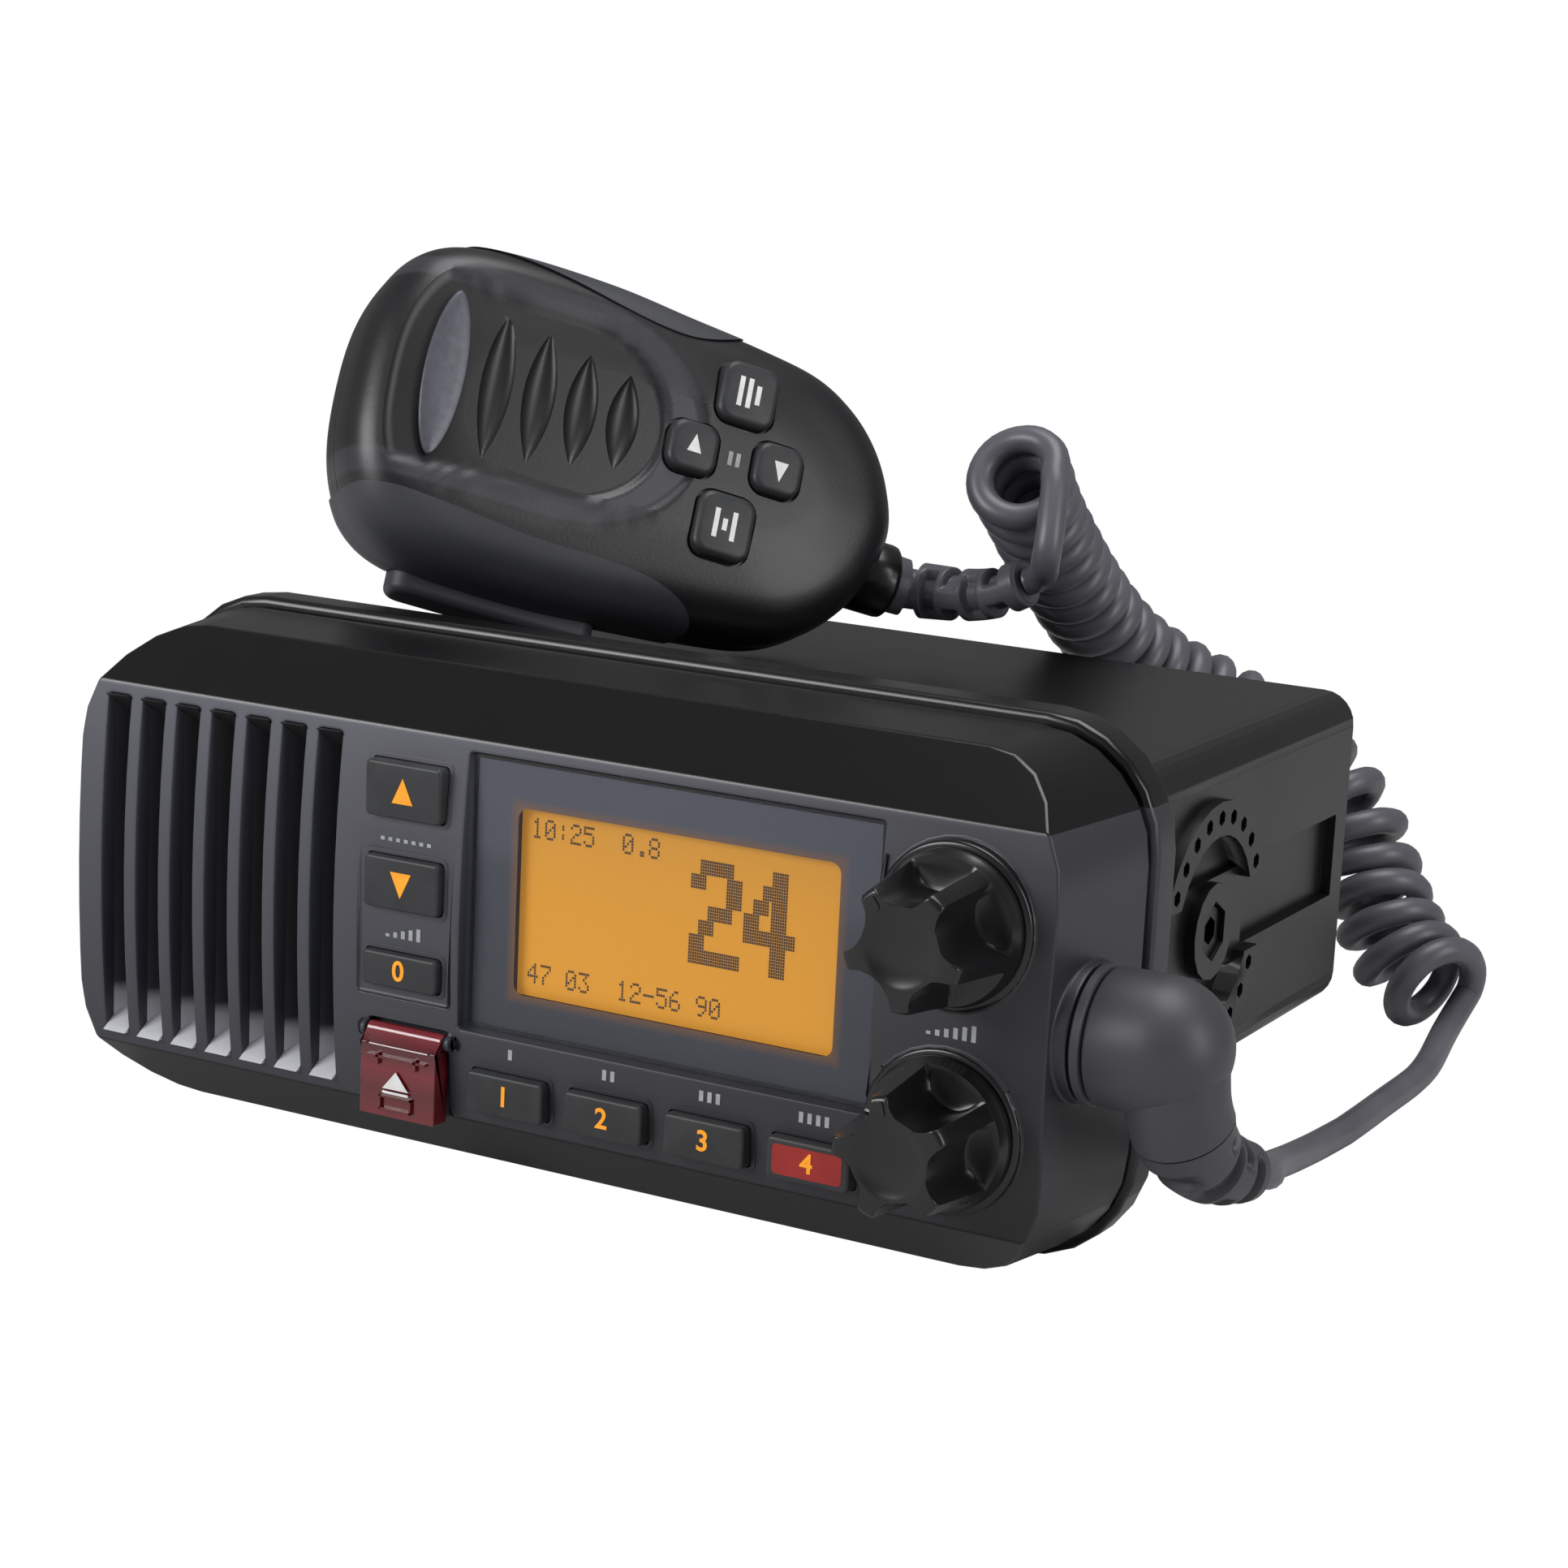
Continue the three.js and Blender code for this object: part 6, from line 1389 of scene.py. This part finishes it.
# Cuts in the front: four lens-shaped sound grooves, the sound hole, the badge's bed and the key wells
GROOVES = ((-19.2, 14.6), (-11.3, 12.8), (-3.4, 10.8), (4.5, 9.1))
GROOVE_HALF_WIDTH = 3.0
GROOVE_DEPTH = 2.0
GROOVE_FLOOR = -1.85
GROOVE_STEPS, GROOVE_SIDES = 40, 28
GROOVE_TIP = 0.9995
SOUND_HOLE_U, SOUND_HOLE_V, SOUND_HOLE_LONG, SOUND_HOLE_WIDE = -19.2, -0.4, 0.8, 0.9
SOUND_HOLE_DEPTHS, SOUND_HOLE_SIDES = (-7.5, -1.0), 24
BADGE = (-28.8, 3.7, 15.2)
BADGE_V, BADGE_BLUNT, BADGE_SIDES = 0.4, 1.2, 72
BED_GAP, BED_DEPTHS = 0.35, (-2.45, 2.0)
MIC_KEYS = {
    "mic_scan": (26.0, 12.5, 5.5, 5.8),
    "mic_sixteen": (26.0, -12.5, 5.5, 6.0),
    "mic_up": (17.6, 0.0, 4.7, 4.8),
    "mic_down": (34.0, 0.5, 4.7, 4.8),
}
WELL_GAP = 0.5
WELL_DEPTH, WELL_FRONT = 2.4, 4
KEY_ROUND = 2.8
FRONT_CUT_ANGLE, CUT_ANGLE = 38, 40


def local_block(low, high, radius_mm, crown_mm=0.0):
    """A block in the microphone's own directions, with round corners and a crowned front."""
    shape = bmesh.new()
    rounded_block(shape, metres(*low), metres(*high), radius_mm, axis=2, steps=6)
    if crown_mm:
        top = high[2] / 1000 - TOUCH
        soften(shape, [e for e in shape.edges if all(v.co.z > top for v in e.verts)], crown_mm, 5)
    bmesh.ops.transform(shape, matrix=MIC_MATRIX, verts=shape.verts)
    return shape


cuts = bmesh.new()
for middle, half_length in GROOVES:
    rings = []
    for i in range(GROOVE_STEPS + 1):
        v = half_length * math.sin(math.pi * (i / GROOVE_STEPS - 0.5)) * GROOVE_TIP
        width = GROOVE_HALF_WIDTH * (1 - (v / half_length) ** 2)
        depth = GROOVE_DEPTH * math.sqrt(1 - (v / half_length) ** 2)
        rings.append([
            on_mic(middle + width * math.cos(angle), v + FIELD_V, GROOVE_FLOOR + depth * math.sin(angle))
            for angle in angles_round(GROOVE_SIDES)
        ])
    add_shape(cuts, ring_stack(bmesh.new(), rings))
hole = [
    [
        on_mic(
            SOUND_HOLE_U + SOUND_HOLE_LONG * math.cos(angle),
            SOUND_HOLE_V + SOUND_HOLE_WIDE * math.sin(angle), n,
        )
        for angle in angles_round(SOUND_HOLE_SIDES)
    ]
    for n in SOUND_HOLE_DEPTHS
]
add_shape(cuts, ring_stack(bmesh.new(), hole))
for u, v, half_long, half_wide in MIC_KEYS.values():
    long, wide = half_long + WELL_GAP, half_wide + WELL_GAP
    add_shape(cuts, local_block(
        (u - long, v - wide, -WELL_DEPTH), (u + long, v + wide, WELL_FRONT), KEY_ROUND + WELL_GAP,
    ))


def lens_outline(middle, half_width, half_length, grow, n):
    """A lens-shaped outline round the badge, with slightly blunt tips."""
    points = []
    for angle in angles_round(BADGE_SIDES):
        v = (half_length + grow) * math.sin(angle)
        u = (half_width + grow) * math.copysign(abs(math.cos(angle)) ** BADGE_BLUNT, math.cos(angle))
        points.append(on_mic(middle + u, v + BADGE_V, n))
    return points


badge_bed = [lens_outline(*BADGE, BED_GAP, n) for n in BED_DEPTHS]
add_shape(cuts, ring_stack(bmesh.new(), badge_bed))
cut_away(front_shell, cuts)
smooth_to(front_shell, FRONT_CUT_ANGLE)

# Badge plate: painted metal, bare satin grey and a little crowned, in its bed
badge_paint = mottled(
    "satin_grey_painted_plate", ("#52525b", "#5e5e68"), cloud_mm=1.6667, roughness=0.36, metallic=0.25,
)
badge_rings = [
    lens_outline(*BADGE, grow, n)
    for grow, n in ((0, -2.4), (0, -1.75), (-0.12, -1.6), (-0.5, -1.5), (-1.6, -1.42), (-3.0, -1.38))
]
badge = piece_from(
    ring_stack(bmesh.new(), badge_rings), "mic_badge_plate", badge_paint, "microphone",
)
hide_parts("mic_badge")

# Rubber grips, moulded over both long sides and a touch proud of the shells: a dull, slightly lighter
# grey with hardly any sheen
grip_rubber = mottled(
    "overmoulded_grip_rubber", ("#393a40", "#414248"), cloud_mm=25, detail=4.0, ior=1.48,
    grain=(0.2, 0.008, 0.5),
)
GRIP_SHARES = (
    (0.012, 1.25), (0.012, 0.9), (0.016, 0.72), (0.035, 0.645), (0.09, 0.635), (0.2, 0.665), (0.35, 0.715),
    (0.48, 0.72), (0.56, 0.745), (0.62, 0.81), (0.665, 0.91), (0.69, 1.02), (0.7, 1.25),
)
UPPER_GRIP_SHARES = (
    (0.012, 1.25), (0.012, 1.06), (0.04, 0.99), (0.12, 0.965), (0.22, 0.935), (0.32, 0.87), (0.42, 0.79),
    (0.5, 0.745), (0.56, 0.745), (0.62, 0.81), (0.665, 0.91), (0.69, 1.02), (0.7, 1.25),
)
GRIP_POINTS = 90
GRIP_BACK, GRIP_FRONT = -27.0, 3


def grip(name, side, shares, node):
    """One grip: the swollen body inside a prism over the grip's outline."""
    route = [Vector((MIC_START + a * MIC_LENGTH, MIC_SHIFT + side * b * MIC_WIDTH / 2, 0)) for a, b in shares]
    outline = [on_mic(p.x, p.y, GRIP_BACK) for p in curve_points(route, GRIP_POINTS)]
    region = bmesh.new()
    prism(region, outline, MIC_N * (GRIP_FRONT - GRIP_BACK) / 1000)
    bmesh.ops.recalc_face_normals(region, faces=region.faces)
    piece = piece_from(mic_body(GRIP_SWELL, with_relief=False), name, grip_rubber, "microphone")
    cut_away(piece, region, "INTERSECT")
    smooth_to(piece, CUT_ANGLE)
    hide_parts(node)
    return piece


lower_grip = grip("mic_lower_grip", -1, GRIP_SHARES, "mic_grip_lower")
grip("mic_upper_grip", 1, UPPER_GRIP_SHARES, "mic_grip_upper")

# The press-to-talk bar lies in a slot of the lower grip and back shell
TALK_LOW, TALK_HIGH = (-26.5, -35.25, -26.0), (12.0, -26.2, -17.0)
TALK_CORNER_MM, TALK_CROWN_MM = 3.6, 1.6
SLOT_GAP, SLOT_OUT, SLOT_IN, SLOT_CORNER_MM = 0.4, 3, 2.2, 3.9
talk = bmesh.new()
rounded_block(talk, metres(*TALK_LOW), metres(*TALK_HIGH), TALK_CORNER_MM, axis=1, steps=8)
outer_side = (TALK_LOW[1] + CREST_MM) / 1000
soften(talk, [e for e in talk.edges if all(v.co.y < outer_side for v in e.verts)], TALK_CROWN_MM, 6)
bmesh.ops.transform(talk, matrix=MIC_MATRIX, verts=talk.verts)
talk_piece = piece_from(talk, "mic_talk_bar", grip_rubber, "mic_talk", smooth=50)
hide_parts("mic_talk_key")
for piece in (lower_grip, back_shell):
    slot_cut = bmesh.new()
    rounded_block(
        slot_cut,
        metres(TALK_LOW[0] - SLOT_GAP, TALK_LOW[1] - SLOT_OUT, TALK_LOW[2] - SLOT_GAP),
        metres(TALK_HIGH[0] + SLOT_GAP, TALK_HIGH[1] + SLOT_IN, TALK_HIGH[2] + SLOT_GAP),
        SLOT_CORNER_MM, axis=1, steps=8,
    )
    bmesh.ops.transform(slot_cut, matrix=MIC_MATRIX, verts=slot_cut.verts)
    cut_away(piece, slot_cut)
    smooth_to(piece, CUT_ANGLE)

# Microphone keys with white printed marks
CAP_FOOT, CAP_TOP, CAP_CROWN_MM = -5, 0.98, 1.3
MARK_PLACE = 0.96
for name, (u, v, half_long, half_wide) in MIC_KEYS.items():
    low, high = (u - half_long, v - half_wide, CAP_FOOT), (u + half_long, v + half_wide, CAP_TOP)
    cap = local_block(low, high, KEY_ROUND, CAP_CROWN_MM)
    cap_piece = piece_from(cap, f"{name}_cap", silicone, name, smooth=50)
    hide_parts(f"{name}_key")


def mic_mark(name, outlines, material, body, n=MARK_PLACE):
    """A flat printed mark on the microphone, from outlines along and across it."""
    shape = bmesh.new()
    for outline in outlines:
        prism(shape, [on_mic(u, v, n) for u, v in outline], MIC_N * MARK_THICKNESS / 1000)
    bmesh.ops.recalc_face_normals(shape, faces=shape.faces)
    return piece_from(shape, name, material, body)


def mic_bars(u, v, sizes, pitch=1.7, width=0.9):
    """Short bars side by side, each as long across the microphone as its size."""
    outlines = []
    for i, size in enumerate(sizes):
        near, half = u + i * pitch, size / 2
        far = near + width
        outlines.append([(near, v - half), (far, v - half), (far, v + half), (near, v + half)])
    return outlines


mic_mark("mic_up_arrow", [[(16.2, -1.2), (18.9, -1.2), (17.5, 2.2)]], white_ink, "mic_up")
mic_mark("mic_down_arrow", [[(32.8, 1.8), (34.2, -1.9), (35.5, 1.8)]], white_ink, "mic_down")
mic_mark("mic_scan_mark", mic_bars(23.6, 12.5, (5.6, 5.6, 3.6)), white_ink, "mic_scan")
mic_mark("mic_sixteen_mark", mic_bars(23.6, -12.5, (5.4, 2.2, 5.4)), white_ink, "mic_sixteen")
channel_bars = mic_bars(24.6, 0.3, (2.6, 2.6), 1.5, 0.8)
mic_mark("mic_channel_mark", channel_bars, grey_ink, "microphone", n=-0.78)

# Collar and strain relief at the cord's end of the microphone
COLLAR_V, COLLAR_N = -7.9, -17.0
COLLAR_END, COLLAR_RADIUS, COLLAR_SIDES = 65.4, 7.0, 72
BOOT_START = 65.85
collar_profile = [
    (50, 5.7), (57.9, 5.7), (57.9, 6.5), (58.3, 6.9), (64.2, 6.9), (64.9, 6.75), (65.3, 6.3), (65.4, 5.9),
]
collar_rings = [
    [
        on_mic(u, COLLAR_V + radius * math.cos(angle), COLLAR_N + radius * math.sin(angle))
        for angle in angles_round(COLLAR_SIDES)
    ]
    for u, radius in collar_profile
]
collar = piece_from(
    ring_stack(bmesh.new(), collar_rings),
    "mic_collar", gloss_black, "microphone", smooth=50,
)
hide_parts("mic_cord_collar")
mic_boot_route = [on_mic(BOOT_START, COLLAR_V, COLLAR_N)] + [
    on_mic(COLLAR_END + a * COLLAR_RADIUS, COLLAR_V + b * COLLAR_RADIUS, COLLAR_N + c * COLLAR_RADIUS)
    for a, b, c in (
        (0.5714, 0, 0.0286), (1.1714, -0.0571, 0.5714), (1.7143, -0.1571, 1.3714),
        (2.1857, -0.1571, 2.2857), (2.5714, 0.0429, 3.1571),
    )
]
# The cord's jacket and this strain relief are a softer, slightly glossier vinyl than the plug's
cord_jacket = mottled(
    "extruded_vinyl_cord_jacket", ("#53535a", "#5f5f67"), cloud_mm=14.286, detail=3.0,
    roughness=0.38, ior=1.52, grain=(0.5, 0.006, 0.4),
)
MIC_BOOT_ROOT, MIC_BOOT_TIP, MIC_BOOT_POINTS = 5.4, 4.4, 130
MIC_BOOT_CUT = (1.5, 0.062, 1.2)
mic_boot_slots = staggered_slots(5, first=0.16, step=0.165, turn=0.2)
mic_boot = tube(
    curve_points(mic_boot_route, MIC_BOOT_POINTS),
    lambda share, angle: slotted(share, angle, MIC_BOOT_ROOT, MIC_BOOT_TIP, mic_boot_slots, *MIC_BOOT_CUT),
    PLUG_SIDES,
)
mic_boot_piece = piece_from(
    mic_boot, "mic_strain_relief", cord_jacket, "microphone", smooth=50,
)
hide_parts("mic_cord_boot")


# Curly cord: one vinyl-jacketed cord from the microphone over the casing's rear edge, down behind it,
# and forward along the floor to the plug. Its route repeats the frame's, with finer turns.
CORD_MM = 5.2
COIL_MM = 18.6
COIL_TURNS = 25
COIL_ROUTE = (
    (25.1, 117, 68), (23.4, 135, 54.6), (23.4, 155, 39.5), (26.6, 168.9, 28.5), (32.5, 179.2, 21.5),
    (42.1, 188.5, 15), (52.2, 193.5, 8.7), (60.6, 195.4, 1.9), (66.7, 195.2, -5), (71.1, 194, -13.2),
    (75.9, 190.2, -19.9), (83, 186.2, -27.6), (91.8, 182.2, -31.6),
)
MIC_LEAD_MIDDLE = (33.5, 111.6, 51)
PLUG_LEAD_ROUTE = (
    (98.2, 158, -40.9), (97.2, 142, -40.9), (98, 122, -40.9),
    (97.6, 104, -40.4), (98.9, 86, -38), (103.6, 59, -32),
)
FINE_STEPS = 1200
BEND_SPAN = 30
STEPS_PER_TURN = 24
FRAME_STEPS_PER_TURN = 8
COIL_START_SHARE, COIL_END_SHARE = 0.5, 0.375
SEAT_GAP = 0.0003
TURN_GAP = 0.0006
HEAD_SHARE, HEAD_SWELL, TAIL_SWELL = 0.08, 0.8, 1.6
LEAD_STEPS, LEAD_STEP = 3, 0.0024
MIC_LEAD_POINTS, PLUG_LEAD_POINTS = 24, 50
CORD_STEP, CORD_SIDES = 0.0013, 14
JACKET_SHARE = 0.995
CORD = CORD_MM / 1000
coil_line = curve_points([on_radio(*p) for p in COIL_ROUTE], FINE_STEPS)
coil_frames = frames_along(coil_line)
fine_step = sum((b - a).length for a, b in zip(coil_line, coil_line[1:])) / FINE_STEPS


def coil_radius(share):
    """The coil is a little wider at its head, and widens slowly towards its tail."""
    head = max(0, 1 - share / HEAD_SHARE)
    return ((COIL_MM - CORD_MM) / 2 + HEAD_SWELL * head + TAIL_SWELL * share * share) / 1000


turns_at = [0.0]
for i in range(1, FINE_STEPS + 1):
    low, high = max(i - BEND_SPAN, 0), min(i + BEND_SPAN, FINE_STEPS)
    bend = coil_frames[low][1].angle(coil_frames[high][1]) / ((high - low) * fine_step)
    spread = 1 - coil_radius(i / FINE_STEPS) * bend
    turns_at.append(turns_at[-1] + fine_step * spread / (CORD + TURN_GAP))
turn_scale = turns_at[-1] / (COIL_TURNS + COIL_END_SHARE)
windings = []
place = 0
for i in range(int((COIL_TURNS + COIL_END_SHARE) * STEPS_PER_TURN) + 1):
    while place < FINE_STEPS and turns_at[place] < i / STEPS_PER_TURN * turn_scale:
        place += 1
    point, ahead, across, up = coil_frames[place]
    angle = (COIL_START_SHARE - i / STEPS_PER_TURN) * 2 * math.pi
    outward = across * math.cos(angle) + up * math.sin(angle)
    windings.append(point + outward * coil_radius(place / FINE_STEPS))


def lead_out(end, before, direction):
    """Turns out of the coil in a few short steps and then runs straight."""
    heading = (end - before).normalized()
    run = [end]
    for i in range(1, LEAD_STEPS + 1):
        run.append(run[-1] + heading.lerp(direction, i / LEAD_STEPS).normalized() * LEAD_STEP)
    run.append(run[-1] + direction * CORD)
    return run[1:]


frame_step = STEPS_PER_TURN // FRAME_STEPS_PER_TURN
head_direction = Vector((0.15, -0.45, -0.88)).normalized()
tail_direction = Vector((0.12, -0.99, 0)).normalized()
head_run = lead_out(windings[0], windings[frame_step], head_direction)[::-1]
tail_run = lead_out(windings[-1], windings[-1 - frame_step], tail_direction)
mic_exit = (mic_boot_route[-1] - mic_boot_route[-2]).normalized()
plug_exit = (plug_route[-1] - plug_route[-2]).normalized()
mic_start = mic_boot_route[-1] + mic_exit * SEAT_GAP
plug_start = plug_route[-1] + plug_exit * SEAT_GAP
head_seat = head_run[0] + head_direction * (CORD + SEAT_GAP)
mic_lead = curve_points(
    [mic_start, mic_start + mic_exit * CORD, on_radio(*MIC_LEAD_MIDDLE), head_seat, head_run[0]],
    MIC_LEAD_POINTS,
)
plug_lead = curve_points(
    [
        tail_run[-1], tail_run[-1] + tail_direction * CORD, *[on_radio(*p) for p in PLUG_LEAD_ROUTE],
        plug_start + plug_exit * CORD, plug_start,
    ],
    PLUG_LEAD_POINTS,
)
cord_route = mic_lead + head_run[1:] + windings + tail_run[:-1] + plug_lead
cord_length = sum((b - a).length for a, b in zip(cord_route, cord_route[1:]))
cord_line = curve_points(cord_route, int(cord_length / CORD_STEP), 4)


def relaxed(points, first, last, rounds):
    """Opens out the tight bends between two points of a line, which stay where they are."""
    points = list(points)
    for _ in range(rounds):
        inner = points[first + 1:last]
        middles = [(points[i - 1] + points[i + 1]) / 2 for i in range(first + 1, last)]
        points[first + 1:last] = [point.lerp(middle, 0.5) for point, middle in zip(inner, middles)]
    return points


# The stretch at the microphone, and the one from the coil's end to where the lead lies straight
HEAD_FIRST, HEAD_LAST, HEAD_ROUNDS = 1, 27, 40
TAIL_BEFORE, TAIL_AFTER, TAIL_ROUNDS = 2, 60, 120
coil_end = min(range(len(cord_line)), key=lambda i: (cord_line[i] - windings[-1]).length)
cord_line = relaxed(cord_line, HEAD_FIRST, HEAD_LAST, HEAD_ROUNDS)
cord_line = relaxed(cord_line, coil_end - TAIL_BEFORE, coil_end + TAIL_AFTER, TAIL_ROUNDS)
cord_length = sum((b - a).length for a, b in zip(cord_line, cord_line[1:]))
cord_shape = tube(cord_line, lambda share, angle: CORD / 2 * JACKET_SHARE, CORD_SIDES)
cord = piece_from(cord_shape, "curly_cord", cord_jacket, None, smooth=60)
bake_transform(cord)
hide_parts("cord_mic_lead", "cord_coil", "cord_plug_lead")


# Inner pieces: boards, speaker cone, carriers and seals, which are screwed or pressed in and stay hidden.
# They keep the frame's solids. The boards show a satin green lacquer, the cone dull black paper, the
# carriers an even dark nylon, and the seals matt black rubber.
INNER = {
    "green_solder_mask": ("#1d4a2e", "#2a6340", 0.35, (
        "front_circuit_board", "main_circuit_board", "mic_circuit_board",
    )),
    "black_paper_cone": ("#1c1c1e", "#2a2a2c", 0.9, ("speaker_cone",)),
    "moulded_black_nylon": ("#1e1f22", "#2a2b2f", 0.5, (
        "display_frame", "volume_potentiometer", "squelch_potentiometer",
    )),
    "moulded_seal_rubber": ("#1b1b1c", "#262628", 0.7, ("housing_seal", "power_inlet", "keypad_mat")),
}
for name, (dark, light, roughness, nodes) in INNER.items():
    stuff = mottled(name, (dark, light), cloud_mm=5.5556, detail=4.0, roughness=roughness)
    dress(stuff, *nodes)
